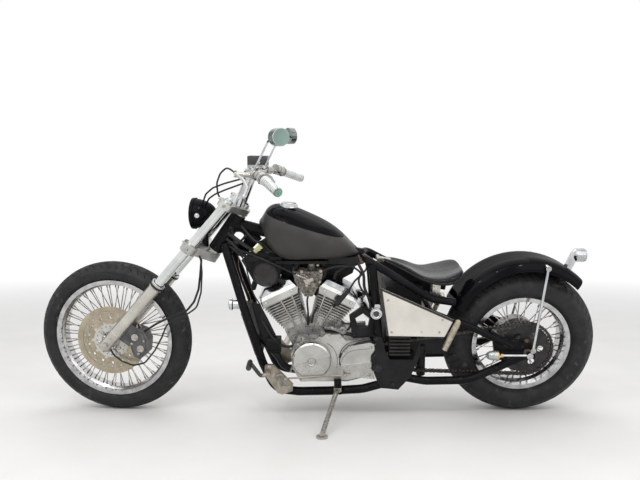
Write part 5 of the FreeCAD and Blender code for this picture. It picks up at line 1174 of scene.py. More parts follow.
# Front end
@dataclass
class FrontEnd:
    """Seals, pinch bolts, clamps, caliper and headlight details."""

    slider: float = 0.352
    slider_radius: float = 0.026
    caliper_corner: Vector = field(default_factory=lambda: Vector((0.088, 0.0, 0.262)))
    caliper_face: float = -0.0875
    caliper_width: float = 0.084
    caliper_height: float = 0.135
    lamp_face: Vector = field(default_factory=lambda: Vector((0.360, 0.0, 0.874)))

    def legs(self) -> None:
        """Dust seals, rings, axle pinch bolts, side screws and tube caps."""
        seals = Form()
        rings = Form()
        bolts = Form()
        caps = Form()
        for side in Side:
            top = fork_point(self.slider, side)
            seals.turn(((0.0296, 0), (0.0302, 0.002), (0.0302, 0.008), (0.0285, 0.010), (0.0290, 0.012),
                        (0.0262, 0.0165), (0.0210, 0.018)), top - FORK_AXIS * 0.017, FORK_AXIS, 36)
            rings.band((0.0262, 0.0272), 0, 0.005, 0.001, top - FORK_AXIS * 0.026, FORK_AXIS, 36)
            rings.band((0.0261, 0.0271), 0, 0.005, 0.001, fork_point(0.060, side), FORK_AXIS, 36)
            for reach in (-0.020, 0.012):
                foot = fork_point(reach, side, -self.slider_radius + 0.002)
                bolts.screw(foot, -FORK_BACK, 0.0050, 0.007)
            bolts.screw(fork_point(0.040, side) + ACROSS * side * 0.0255, ACROSS * side, 0.0050, 0.004)
            head = fork_point(self.leg_reach(0.090 + 0.010 + 0.027) + 0.012, side)
            caps.turn(((0.0150, 0), (0.0150, 0.001), (0.0090, 0.0015)), head, FORK_AXIS, 24)
            caps.turn(((0.0095, 0.0), (0.0095, 0.0075), (0.0082, 0.009)), head, FORK_AXIS, 6)
        FIT.fit("dust_seals", seals, RUBBER, Body.STEERING)
        FIT.fit("slider_rings", rings, SLIDER, Body.STEERING)
        FIT.fit("slider_screws", bolts, STEEL, Body.STEERING)
        FIT.fit("fork_caps", caps, CHROME, Body.STEERING)

    def leg_reach(self, neck_reach: float) -> float:
        """How far up a leg's line it is level with a place up the steering axis."""
        return (neck_reach - (FRONT_AXLE - NECK).dot(NECK_AXIS)) / FORK_AXIS.dot(NECK_AXIS)

    def clamps(self) -> None:
        """Pinch bolts of both clamps and the stem's nut."""
        screws = Form()
        dark = Form()
        for reach in (0.1135, -0.119):
            front = (fork_point(self.leg_reach(reach)) - NECK).dot(NECK_AHEAD)
            for side in Side:
                place = neck_point(reach, front, side * (FORK_SPREAD + 0.0320))
                screws.screw(place, ACROSS * side, 0.0066, 0.008)
                back = neck_point(reach + 0.008, front + 0.0322, side * FORK_SPREAD)
                screws.screw(back, NECK_AHEAD, 0.0052, 0.006)
        top = neck_point(0.143, 0.0, 0.0)
        dark.turn(((0.0176, -0.011), (0.0176, -0.002), (0.0150, 0.0)), top, NECK_AXIS, 6)
        dark.turn(((0.0100, -0.001), (0.0100, 0.003), (0.0080, 0.004)), top, NECK_AXIS, 24)
        FIT.fit("clamp_screws", screws, STEEL, Body.STEERING)
        FIT.fit("stem_nut", dark, BLACK_BOLT, Body.STEERING)

    def on_caliper(self, x: float, z: float, out: float = 0.0) -> Vector:
        """A place on the caliper's face, by shares of its width and height."""
        return self.caliper_corner + Vector((x * self.caliper_width, self.caliper_face - out,
                                             z * self.caliper_height))

    def caliper(self) -> None:
        """The caliper's raised cover, its pistons' caps, bolts and bleed nipple."""
        shares = ((0.16, 0.34), (0.09, 0.62), (0.15, 0.80), (0.42, 0.90), (0.72, 0.83), (0.88, 0.60),
                  (0.82, 0.26), (0.54, 0.12), (0.28, 0.16))
        thick = 0.0045
        cover = Form().plate([self.on_caliper(x, z) for x, z in shares], -ACROSS, thick, 0.002)
        FIT.fit("caliper_cover", cover, CALIPER, Body.STEERING)
        silver = Form()
        for x, z in ((0.34, 0.72), (0.60, 0.36)):
            silver.turn(((0.0155, 0), (0.0150, 0.003), (0.0120, 0.0036), (0.0110, 0.0020), (0, 0.0020)),
                        self.on_caliper(x, z, thick), -ACROSS, 28)
        for x, z in ((0.18, 0.52), (0.80, 0.62), (0.50, 0.20)):
            silver.screw(self.on_caliper(x, z, thick), -ACROSS, 0.0055, 0.005)
        top = self.on_caliper(0.40, 0.995, -0.012)
        silver.turn(((0.0048, -0.002), (0.0048, 0.004), (0.0030, 0.006), (0.0030, 0.013)), top, UP, 10)
        FIT.fit("caliper_bolts", silver, STEEL, Body.STEERING)

    def axle_ends(self) -> None:
        """Hexagons on both ends of the front axle."""
        form = Form()
        for side in Side:
            foot = FRONT_AXLE + ACROSS * side * 0.1275
            form.turn(((0.0108, 0), (0.0108, 0.004), (0.0092, 0.005)), foot, ACROSS * side, 6)
        FIT.fit("axle_hexagons", form, STEEL, Body.STEERING)

    def headlight(self) -> None:
        """Lens, reflector with its flutes, rim and the two side bolts."""
        face = self.lamp_face
        ahead = -BACK
        lens = Form().turn(dome(0.0560, 0.0010, 0.0085, 9), face, ahead, 48, False)
        FIT.fit("headlight_lens", lens, CLEAR_GLASS, Body.STEERING)
        bowl = Form()
        bowl.turn(((0.0555, 0.0008), (0.0480, 0.0006), (0.0470, 0.0012), (0.0200, 0.0010),
                   (0.0120, 0.0016), (0.0, 0.0042)), face, ahead, 48, False)
        for x in steps(-4 * 0.0115, 0.0115, 9):
            half = math.sqrt(0.052 ** 2 - x ** 2)
            start = face + ACROSS * x - UP * half + ahead * 0.0024
            bowl.rod(start, start + UP * 2 * half, 0.0011, 6)
        FIT.fit("headlight_reflector", bowl, CHROME, Body.STEERING)
        rim = Form().ring(((0.0560, 0.0), (0.0560, 0.0045), (0.0600, 0.0060), (0.0642, 0.0040),
                           (0.0648, -0.0090), (0.0636, -0.0095)), face, ahead, 64)
        FIT.fit("headlight_rim", rim, GLOSS, Body.STEERING)
        bolts = Form()
        for side in Side:
            foot = face + BACK * 0.030 + ACROSS * side * 0.0590
            bolts.turn(((0.0100, 0), (0.0100, 0.004), (0.0062, 0.005), (0.0062, 0.010), (0.0045, 0.011)),
                       foot, ACROSS * side, 18)
        FIT.fit("headlight_bolts", bolts, CHROME, Body.STEERING)

    def build(self) -> None:
        """Makes the details of the fork and lamp."""
        self.legs()
        self.clamps()
        self.caliper()
        self.axle_ends()
        self.headlight()


@dataclass
class Cockpit:
    """Grips, switches, levers, mirrors and the reservoir on the bar."""

    grip_inner: Vector = field(default_factory=lambda: Vector((0.692, -0.207, 1.036)))
    grip_outer: Vector = field(default_factory=lambda: Vector((0.765, -0.312, 0.998)))
    grip_start: float = 0.013

    def sided(self, point: Vector, side: Side) -> Vector:
        """A place of the left bar on the side asked for."""
        return Vector((point.x, point.y * -side, point.z))

    def grips(self) -> None:
        """Ribbed sleeves with rounded ends."""
        sleeves = Form()
        ends = Form()
        for side in Side:
            inner = self.sided(self.grip_inner, side)
            outer = self.sided(self.grip_outer, side)
            way = (outer - inner).normalized()
            long = (outer - inner).length - self.grip_start
            start = inner + way * self.grip_start
            for foot in steps(0.006, (long - 0.020) / 8, 9):
                sleeves.band((0.0170, 0.0176), foot, 0.0057, 0.0012, start, way)
            sleeves.ring(((0.0170, 0.0002), (0.0190, 0.0008), (0.0190, 0.0034), (0.0170, 0.0042)),
                         start, way, 32)
            ends.turn(((0.0166, -0.0030), (0.0172, -0.0010), (0.0160, 0.0012), (0.0120, 0.0030),
                       (0.0060, 0.0038), (0.0, 0.0040)), outer, way, 32)
        FIT.fit("grip_ribs", sleeves, GRIP, Body.STEERING)
        FIT.fit("grip_ends", ends, GREEN_GLASS, Body.STEERING)

    def switches(self) -> None:
        """Seams, screws and buttons on the housings."""
        seams = Form()
        buttons = Form()
        screws = Form()
        for side in Side:
            inner = self.sided(self.grip_inner, side)
            way = (self.sided(self.grip_outer, side) - inner).normalized()
            first, second = square_to(way)
            start = inner - way * 0.044
            for foot in (0.001, 0.021, 0.0445):
                seams.band((0.0208, 0.0217), foot, 0.0028, 0.0006, start, way, 36)
            for angle, foot, size in ((0.6, 0.012, 0.0050), (1.1, 0.033, 0.0042), (2.4, 0.030, 0.0050)):
                out = first * math.cos(angle) + second * math.sin(angle)
                buttons.rod(start + way * foot + out * 0.0190, start + way * foot + out * 0.0245,
                            size, 14)
            for angle in (3.6, 5.2):
                out = first * math.cos(angle) + second * math.sin(angle)
                screws.screw(start + way * 0.012 + out * 0.0200, out, 0.0034, 0.0025)
        FIT.fit("switch_seams", seams, DARK_ALLOY, Body.STEERING)
        FIT.fit("switch_buttons", buttons, BLACK_BOLT, Body.STEERING)
        FIT.fit("switch_screws", screws, STEEL, Body.STEERING)

    def levers(self) -> None:
        """Ball ends and screws on both levers."""
        balls = Form()
        screws = Form()
        for side in Side:
            pivot, knee, tip, perch = left(((0.571, -0.145, 1.050), (0.640, -0.245, 1.006),
                                            (0.640, -0.305, 0.980), (0.646, -0.148, 1.045)), side)
            way = (tip - knee).normalized()
            balls.turn([(0.0088 * math.sin(a), -0.0088 * math.cos(a)) for a in
                        (math.pi * k / 10 for k in range(11))], tip - way * 0.002, way, 20)
            screws.screw(pivot + UP * 0.0086, UP, 0.0068, 0.004)
            screws.nut(pivot - UP * 0.0086, -UP, 0.0062, 0.005)
            screws.screw(perch + Vector((-0.006, 0, 0.0160)), UP, 0.0044, 0.004)
        FIT.fit("lever_balls", balls, CHROME, Body.STEERING)
        FIT.fit("lever_screws", screws, STEEL, Body.STEERING)

    def reservoir(self) -> None:
        """The brake cup's lid with its screws and sight glass."""
        base = Vector((0.603, 0.140, 1.054))
        lid = Form().box(base + UP * 0.0485, Vector((0.0400, 0.0205, 0.0030)), 0.0015)
        FIT.fit("reservoir_lid", lid, DARK_ALLOY, Body.STEERING)
        screws = Form()
        for x in (-0.030, 0.030):
            screws.screw(base + Vector((x, 0.0, 0.0510)), UP, 0.0042, 0.002)
        FIT.fit("reservoir_screws", screws, STEEL, Body.STEERING)
        glass = Form().turn(((0.0075, 0), (0.0075, 0.0015), (0.0060, 0.0022), (0, 0.0022)),
                            base + Vector((0.006, -0.0222, 0.024)), -ACROSS, 20)
        FIT.fit("reservoir_sight", glass, YELLOW, Body.STEERING)

    def ovals(self, head: Vector, turn: Matrix, shares: Iterable[Pair]) -> list[list[Vector]]:
        """Ovals on a mirror's face.

        Args:
            head: The middle of the mirror's back.
            turn: How the mirror is turned.
            shares: Each oval's share of the face's size, and its rise over the face.

        Returns:
            The ovals.
        """
        angles = [math.tau * k / 48 for k in range(48)]
        oval = [turn @ ACROSS * math.cos(a) * 0.0495 + UP * math.sin(a) * 0.0335 for a in angles]
        return [[head + turn @ BACK * (0.0105 + rise) + place * share for place in oval]
                for share, rise in shares]

    def mirrors(self) -> None:
        """Mirror glass in a raised edge, and the stems' lock nuts."""
        glass = Form()
        edge = Form()
        nuts = Form()
        for side in Side:
            foot, bend, head = left(((0.628, -0.114, 1.046), (0.652, -0.112, 1.090),
                                     (0.741, -0.146, 1.189)), side)
            turn = Matrix.Rotation(math.radians(side * 30), 3, "Z")
            glass.loft(self.ovals(head, turn, ((0.98, 0.0008), (0.90, 0.0009), (0.02, 0.0009))))
            lip = ((1.004, -0.0040), (1.010, 0.0), (1.0, 0.0014), (0.955, 0.0014), (0.95, 0.0))
            edge.loft(self.ovals(head, turn, lip), True, False)
            nuts.nut(foot + (bend - foot).normalized() * 0.010, bend - foot, 0.0085, 0.009)
        FIT.fit("mirror_glass", glass, MIRROR_GLASS, Body.STEERING)
        FIT.fit("mirror_edges", edge, CHROME, Body.STEERING)
        FIT.fit("mirror_nuts", nuts, CHROME, Body.STEERING)

    def risers(self) -> None:
        """Pinch screws and end rings of the risers."""
        screws = Form()
        for side in Side:
            seat = Vector((0.606, side * FORK_SPREAD / 2, 1.044))
            for x in (-0.012, 0.012):
                screws.screw(seat + Vector((x, 0.0, 0.0165)), UP, 0.0046, 0.005)
            for end in (-0.0200, 0.0192):
                screws.band((0.0125, 0.0205), 0, 0.0008, 0, seat + ACROSS * end, ACROSS, 28)
        FIT.fit("riser_screws", screws, CHROME, Body.STEERING)

    def build(self) -> None:
        """Makes the details of the bar."""
        self.grips()
        self.switches()
        self.levers()
        self.reservoir()
        self.mirrors()
        self.risers()


# Engine
@dataclass
class Engine:
    """Bolts, plugs and leads, cover details and the carburettor's small parts."""

    deck: float = 0.124
    fins: float = 0.138
    cover_face: float = -0.1103
    dome: Vector = field(default_factory=lambda: Vector((0.847, 0.0, 0.284)))
    clutch: Vector = field(default_factory=lambda: Vector((0.960, 0.0, 0.275)))
    cleaner: Vector = field(default_factory=lambda: Vector((0.833, 0.0, 0.600)))

    def bore(self, which: int, across: float, rise: float, side: float) -> Vector:
        """A place by a cylinder: across its plane, up its bore, and out to the side."""
        return CRANK + about(-which * CYLINDER_LEAN) * across + bore_axis(which) * rise + ACROSS * side

    def heads(self) -> None:
        """Cover bolts and the joint band on both heads."""
        bolts = Form()
        band = Form()
        base = self.deck + self.fins
        for which in (-1, 1):
            for across in (-0.060, 0.060):
                for side in Side:
                    bolts.screw(self.bore(which, across, base + 0.016, side * 0.0750), ACROSS * side,
                                0.0070, 0.005)
            outline = [self.bore(which, x * 0.0815, base - 0.0022, y * 0.0735) for x, y in
                       ((-1, -1), (1, -1), (1, 1), (-1, 1))]
            band.plate(outline, bore_axis(which), 0.0030, 0.0006)
        FIT.fit("head_bolts", bolts, CHROME, Body.FRAME)
        FIT.fit("head_joints", band, DARK_ALLOY, Body.FRAME)

    def plugs(self) -> None:
        """Plug caps on the fins, the rear one left and the front one right, with their leads."""
        caps = Form()
        leads = Form()
        for side, places in (
                (Side.LEFT, ((0.938, 0.074, 0.503), (0.948, 0.100, 0.520), (1.000, 0.106, 0.584),
                             (1.020, 0.095, 0.614), (1.046, 0.074, 0.645), (0.985, 0.050, 0.676),
                             (0.900, 0.045, 0.677))),
                (Side.RIGHT, ((0.728, 0.074, 0.503), (0.718, 0.100, 0.520), (0.690, 0.104, 0.584),
                              (0.700, 0.095, 0.640), (0.760, 0.060, 0.678)))):
            line = [Vector((x, side * y, z)) for x, y, z in places]
            caps.pipe(line[:2] + [line[1].lerp(line[2], 0.3)], 0.0070, 14)
            caps.pipe([line[1], line[1].lerp(line[2], 0.5), line[2]], 0.0105, 14,
                      lambda share: 1.15 - 0.35 * share)
            leads.pipe(smooth_path(line[2:], 8), 0.0042, 10)
        FIT.fit("plug_caps", caps, RUBBER, Body.FRAME)
        FIT.fit("plug_leads", leads, RUBBER, Body.FRAME)

    def covers(self) -> None:
        """Screws and seams on the left covers, and the round cover's plug and screws."""
        screws = Form().screws(((0.790, 0.345), (0.812, 0.375), (0.880, 0.374), (0.920, 0.388),
                                (0.968, 0.380), (1.060, 0.352), (1.080, 0.280), (1.078, 0.214),
                                (0.800, 0.190)), self.cover_face + 0.0005, -ACROSS, 0.0062, 0.005)
        FIT.fit("cover_screws", screws, STEEL, Body.FRAME)
        seams = Form().band((0.0755, 0.0785), 0.1098, 0.0027, 0, self.dome, -ACROSS, 56)
        corner = Vector((0.962, -0.1115, 0.198))
        outline = [corner + Vector((x * 0.154, 0.0, z * 0.170)) for x, z in
                   ((-0.01, 0.52), (0.06, 0.73), (0.225, 0.89), (0.46, 0.955), (0.80, 1.012))]
        lip = [corner + Vector((x * 0.152, -0.0255, z * 0.168)) for x, z in
               ((0.05, 0.48), (0.12, 0.64), (0.27, 0.76), (0.48, 0.81), (0.80, 0.84))]
        edge = left(((0.912, -0.1108, 0.350), (0.936, -0.1108, 0.330), (0.952, -0.1108, 0.290),
                     (0.952, -0.1108, 0.240)))
        for line, radius in ((outline, 0.0016), (lip, 0.0012), (edge, 0.0010)):
            seams.pipe(smooth_path(line, 5), radius, 8)
        FIT.fit("case_seams", seams, DARK_ALLOY, Body.FRAME)
        plug = Form().ring(((0.0205, 0.1395), (0.0225, 0.1415), (0.0170, 0.1428), (0.0150, 0.1405)),
                           self.dome, -ACROSS, 40)
        plug.turn(((0.0135, 0.1375), (0.0135, 0.1385), (0.0060, 0.1385), (0.0045, 0.1365), (0, 0.1365)),
                  self.dome, -ACROSS, 24)
        FIT.fit("dome_plug", plug, COVER, Body.FRAME)
        lugs = Form()
        for angle in (-20, 100, 215):
            lugs.turn(((0.0095, 0.138), (0.0095, 0.1405), (0.0080, 0.1425), (0.0050, 0.1425),
                       (0.0042, 0.1400), (0, 0.1398)), self.dome + about(math.radians(angle)) * 0.0655,
                      -ACROSS, 20)
        FIT.fit("dome_screws", lugs, COVER, Body.FRAME)
        screws = Form().screws(((0.988, 0.330), (1.090, 0.345), (1.088, 0.222), (1.000, 0.232)),
                               -0.1375, -ACROSS, 0.0060, 0.005)
        FIT.fit("sprocket_cover_screws", screws, STEEL, Body.FRAME)

    def right_side(self) -> None:
        """Screws and ring on the clutch cover, and the cleaner's cover."""
        screws = Form()
        for out in spokes(8, 0.2):
            screws.screw(self.clutch + out * 0.0790 + ACROSS * 0.1458, ACROSS, 0.0058, 0.005)
        FIT.fit("clutch_screws", screws, STEEL, Body.FRAME)
        ring = Form().ring(((0.050, 0.1460), (0.052, 0.1480), (0.066, 0.1480), (0.068, 0.1460)),
                           self.clutch, ACROSS, 48)
        FIT.fit("clutch_ring", ring, COVER, Body.FRAME)
        cover = Form().ring(((0.0640, 0.1520), (0.0650, 0.1545), (0.0600, 0.1560), (0.0580, 0.1545)),
                            self.cleaner, ACROSS, 48)
        for out in spokes(3, 0.5):
            cover.screw(self.cleaner + out * 0.045 + ACROSS * 0.1540, ACROSS, 0.0060, 0.005)
        FIT.fit("cleaner_trim", cover, CHROME, Body.FRAME)

    def carburettor(self) -> None:
        """Cap ring, knurled knob, bowl screws, throttle spring, links and hoses."""
        brass = Form()
        cap = Vector((0.847, -0.030, 0.680))
        brass.turn(((0.0188, -0.012), (0.0192, -0.010), (0.0192, -0.003), (0.0150, 0.0)), cap, UP, 28)
        knob = Vector((0.854, 0.0, 0.592))
        for out in spokes(18):
            middle = knob + out * 0.0131
            brass.rod(middle - ACROSS * 0.0645, middle - ACROSS * 0.0765, 0.0011, 6)
        brass.turn(((0.0085, 0.0775), (0.0085, 0.0795), (0.0060, 0.0805), (0, 0.0800)), knob, -ACROSS, 20)
        brass.screws(((0.792, 0.628), (0.872, 0.628), (0.828, 0.552), (0.842, 0.552)), -0.0600,
                     -ACROSS, 0.0045, 0.004)
        brass.rod(Vector((0.800, -0.063, 0.600)), Vector((0.838, -0.063, 0.584)), 0.0026, 10)
        brass.rod(Vector((0.800, -0.060, 0.600)), Vector((0.800, -0.068, 0.600)), 0.0052, 14)
        FIT.fit("carburettor_brass", brass, BRASS, Body.FRAME)
        # the unions go on from the same form, so their piece repeats the brass faces
        for x, z, size in ((0.806, 0.648, 0.0080), (0.818, 0.622, 0.0065), (0.884, 0.650, 0.0080),
                           (0.872, 0.676, 0.0060), (0.826, 0.588, 0.0075), (0.880, 0.604, 0.0065)):
            foot = Vector((x, -0.0560, z))
            brass.turn(((size, 0), (size, 0.010), (size * 0.8, 0.012), (size * 0.55, 0.012)), foot,
                       -ACROSS, 12)
            brass.nut(foot - ACROSS * 0.0115, -ACROSS, size * 0.6, 0.004)
        FIT.fit("carburettor_parts", brass, BRASS, Body.FRAME)
        spring = Form()
        coils = [Vector((0.800 + 0.034 * k / 90, -0.068 + 0.0048 * math.sin(k * 0.7),
                         0.640 - 0.016 * k / 90 + 0.0048 * math.cos(k * 0.7))) for k in range(91)]
        spring.pipe(coils, 0.0009, 6)
        spring.pipe(smooth_path(left(((0.782, -0.080, 0.640), (0.800, -0.078, 0.632),
                                      (0.826, -0.066, 0.618)))), 0.0052, 12)
        spring.plate(left(((0.812, -0.063, 0.612), (0.850, -0.063, 0.622), (0.858, -0.063, 0.606),
                           (0.838, -0.063, 0.590), (0.820, -0.063, 0.594))), -ACROSS, 0.0025, 0.0006)
        FIT.fit("throttle_parts", spring, STEEL, Body.FRAME)
        hoses = Form().runs((
            (0.0075, ((1.046, -0.045, 0.682), (1.005, -0.052, 0.668), (0.950, -0.056, 0.668),
                      (0.905, -0.056, 0.655), (0.880, -0.054, 0.640))),
            (0.0055, ((0.792, -0.052, 0.600), (0.776, -0.056, 0.570), (0.790, -0.060, 0.530),
                      (0.812, -0.060, 0.480))),
            (0.0045, ((0.872, -0.056, 0.590), (0.892, -0.060, 0.560), (0.884, -0.062, 0.520),
                      (0.858, -0.060, 0.470), (0.846, -0.058, 0.420))),
            (0.0040, ((0.840, -0.050, 0.560), (0.828, -0.056, 0.520), (0.832, -0.058, 0.460),
                      (0.830, -0.056, 0.410))),
        ))
        intake = Vector((0.842, -0.030, 0.640))
        hoses.pipe([intake + about(math.radians(a)) * 0.060 for a in range(-35, 216, 8)], 0.0095, 14)
        FIT.fit("carburettor_hoses", hoses, RUBBER, Body.FRAME)

    def build(self) -> None:
        """Makes the engine's details."""
        self.heads()
        self.plugs()
        self.covers()
        self.right_side()
        self.carburettor()


# Wiring and hoses
@dataclass
class Loom:
    """Cables, a plug, brackets and hoses round the neck, the drum and the engine."""

    def run(self, name: str, runs: Iterable[Run], finish: Finish, slot: str) -> None:
        """Makes a piece of several round runs.

        Args:
            name: The piece's name.
            runs: Pairs of a radius and the places that the run passes.
            finish: Its surface.
            slot: The record's slot of its finish; not used.
        """
        FIT.fit(name, Form().runs(runs), finish, Body.FRAME)

    def neck(self) -> None:
        """The bundles behind the neck, their yellow plug and the carburettor's cable."""
        self.run("neck_bundles", (
            (0.0085, ((0.505, -0.028, 0.802), (0.545, -0.036, 0.772), (0.600, -0.040, 0.735),
                      (0.660, -0.036, 0.712), (0.720, -0.040, 0.700), (0.765, -0.045, 0.694))),
            (0.0065, ((0.498, -0.028, 0.778), (0.540, -0.034, 0.738), (0.585, -0.036, 0.692),
                      (0.605, -0.036, 0.650), (0.650, -0.030, 0.612))),
            (0.0055, ((0.545, -0.010, 0.845), (0.575, -0.028, 0.812), (0.612, -0.042, 0.775),
                      (0.648, -0.046, 0.760), (0.690, -0.044, 0.722))),
            (0.0070, ((0.508, -0.010, 0.742), (0.560, -0.024, 0.722), (0.615, -0.036, 0.716),
                      (0.670, -0.040, 0.722), (0.720, -0.036, 0.735))),
            (0.0050, ((0.520, -0.026, 0.812), (0.530, -0.030, 0.770), (0.522, -0.026, 0.735),
                      (0.515, -0.018, 0.715))),
            (0.0040, ((0.585, -0.012, 0.805), (0.560, -0.026, 0.772), (0.528, -0.030, 0.752),
                      (0.500, -0.026, 0.760))),
            (0.0040, ((0.520, -0.020, 0.720), (0.552, -0.020, 0.760), (0.590, -0.020, 0.798))),
        ), RUBBER, "hose_rubber")
        self.run("throttle_cable", (
            (0.0034, ((0.508, -0.026, 0.742), (0.575, -0.052, 0.726), (0.657, -0.094, 0.706),
                      (0.730, -0.098, 0.672), (0.784, -0.081, 0.640))),
            (0.0030, ((0.500, -0.028, 0.752), (0.565, -0.048, 0.700), (0.590, -0.094, 0.640),
                      (0.610, -0.092, 0.560), (0.640, -0.090, 0.500), (0.640, -0.088, 0.440))),
        ), RUBBER, "hose_rubber")
        self.run("earth_wire", (
            (0.0012, ((0.545, -0.030, 0.705), (0.552, -0.078, 0.672), (0.572, -0.092, 0.610),
                      (0.592, -0.094, 0.560), (0.600, -0.090, 0.520))),
        ), RUST, "rusty_steel")
        turn = Matrix.Rotation(math.radians(-43), 3, "Y")
        plug = Form()
        centre = Vector((0.6285, -0.052, 0.7415))
        plug.box(centre, Vector((0.0190, 0.0085, 0.0085)), 0.002, turn)
        plug.box(centre + turn @ Vector((0.0150, 0.0, 0.0)), Vector((0.0030, 0.0105, 0.0105)),
                 0.001, turn)
        plug.box(centre + turn @ Vector((-0.0040, -0.0080, 0.0)), Vector((0.0100, 0.0020, 0.0035)),
                 0.0008, turn)
        FIT.fit("yellow_plug", plug, YELLOW, Body.FRAME)

    def drum(self) -> None:
        """The carrier plate and the clamp round the side drum, and the drum's edge and screws."""
        plate = Form()
        outline = left(((0.558, -0.040, 0.690), (0.590, -0.040, 0.722), (0.640, -0.040, 0.728),
                        (0.700, -0.040, 0.706), (0.725, -0.040, 0.660), (0.716, -0.040, 0.615),
                        (0.690, -0.040, 0.585), (0.640, -0.040, 0.578), (0.606, -0.040, 0.600),
                        (0.585, -0.040, 0.640)))
        plate.plate(outline, -ACROSS, 0.008, 0.002)
        centre = Vector((0.660, 0.0, 0.640))
        plate.ring(((0.0500, 0.0440), (0.0590, 0.0450), (0.0590, 0.0600), (0.0570, 0.0620),
                    (0.0500, 0.0620)), centre, -ACROSS, 48)
        plate.box(Vector((0.612, -0.044, 0.697)), Vector((0.022, 0.016, 0.012)), 0.003)
        plate.box(Vector((0.700, -0.050, 0.700)), Vector((0.026, 0.014, 0.010)), 0.003)
        plate.plate(left(((0.640, -0.036, 0.715), (0.628, -0.036, 0.765), (0.660, -0.036, 0.785),
                          (0.690, -0.036, 0.770), (0.735, -0.036, 0.715), (0.735, -0.036, 0.695))),
                    -ACROSS, 0.006, 0.002)
        FIT.fit("drum_carrier", plate, BOX_BLACK, Body.FRAME)
        face = Form()
        face.ring(((0.0440, 0.0878), (0.0455, 0.0892), (0.0478, 0.0892), (0.0488, 0.0878)), centre,
                  -ACROSS, 48)
        for out in spokes(3, 0.9):
            face.screw(centre + out * 0.0400 - ACROSS * 0.0872, -ACROSS, 0.0042, 0.003)
        FIT.fit("drum_trim", face, BLACK_BOLT, Body.FRAME)

    def fillers(self) -> None:
        """Painted shade: black plates and boxes in the gaps under the tank and its tail, under the saddle
        and behind the pivot plates; and a banded post.
        """
        form = Form()
        # painted shade: the black plates and boxes below stand in for the shadow in these gaps
        form.plate(left(((0.908, -0.062, 0.706), (1.030, -0.062, 0.708), (1.046, -0.062, 0.690),
                         (1.020, -0.062, 0.674), (0.908, -0.062, 0.682))), ACROSS, 0.060, 0.002)
        form.plate(left(((1.120, -0.020, 0.676), (1.185, -0.020, 0.668), (1.300, -0.020, 0.602),
                         (1.345, -0.020, 0.578), (1.345, -0.020, 0.536), (1.240, -0.020, 0.575),
                         (1.150, -0.020, 0.622))), ACROSS, 0.040, 0.003)
        form.plate(left(((0.712, 0.026, 0.660), (1.036, 0.026, 0.660), (1.020, 0.026, 0.612),
                         (0.930, 0.026, 0.560), (0.872, 0.026, 0.500), (0.800, 0.026, 0.560),
                         (0.712, 0.026, 0.606))), ACROSS, 0.030, 0.003)
        form.box(Vector((1.352, -0.066, 0.322)), Vector((0.054, 0.012, 0.034)), 0.004)
        # painted shade: a black box that darkens the gap below the regulator
        form.box(Vector((1.219, -0.100, 0.285)), Vector((0.056, 0.020, 0.024)), 0.003)
        form.rod(Vector((1.306, -0.070, 0.330)), Vector((1.310, -0.070, 0.192)), 0.0190, 24)
        for z in steps(0.302, -0.016, 6):
            form.band((0.0185, 0.0205), 0, 0.006, 0.001, Vector((1.307, -0.070, z)), UP, 24)
        FIT.fit("shade_blocks_and_post", form, PLATE_BLACK, Body.FRAME)

    def front(self) -> None:
        """The shroud, the black box and the water hoses ahead of the engine."""
        shroud = Form()
        shroud.plate(left(((0.592, -0.060, 0.520), (0.632, -0.060, 0.505), (0.664, -0.060, 0.440),
                           (0.694, -0.060, 0.372), (0.718, -0.060, 0.306), (0.664, -0.060, 0.286),
                           (0.626, -0.060, 0.380))), -ACROSS, 0.006, 0.002)
        shroud.box(Vector((0.688, -0.062, 0.326)), Vector((0.030, 0.020, 0.032)), 0.004)
        for z in steps(0.304, 0.011, 5):
            shroud.box(Vector((0.688, -0.083, z)), Vector((0.026, 0.0030, 0.0020)), 0.0008)
        FIT.fit("engine_shroud", shroud, PLATE_BLACK, Body.FRAME)
        self.run("water_hoses", (
            (0.0150, ((0.618, -0.030, 0.350), (0.660, -0.048, 0.318), (0.700, -0.052, 0.268),
                      (0.728, -0.050, 0.222), (0.768, -0.046, 0.204), (0.810, -0.044, 0.214))),
            (0.0120, ((0.600, -0.020, 0.560), (0.620, -0.034, 0.600), (0.680, -0.040, 0.616),
                      (0.740, -0.040, 0.590), (0.770, -0.040, 0.560))),
            (0.0060, ((0.640, -0.066, 0.430), (0.690, -0.078, 0.352), (0.740, -0.074, 0.320),
                      (0.800, -0.066, 0.330))),
        ), RUBBER, "hose_rubber")
        bands = Form()
        for x, z, way in ((0.668, 0.309, Vector((0.6, -0.06, -0.75))),
                          (0.757, 0.208, Vector((0.9, 0.08, -0.3)))):
            bands.band((0.0150, 0.0163), -0.004, 0.008, 0, Vector((x, -0.0485, z)), way, 28)
        FIT.fit("hose_bands", bands, STEEL, Body.FRAME)

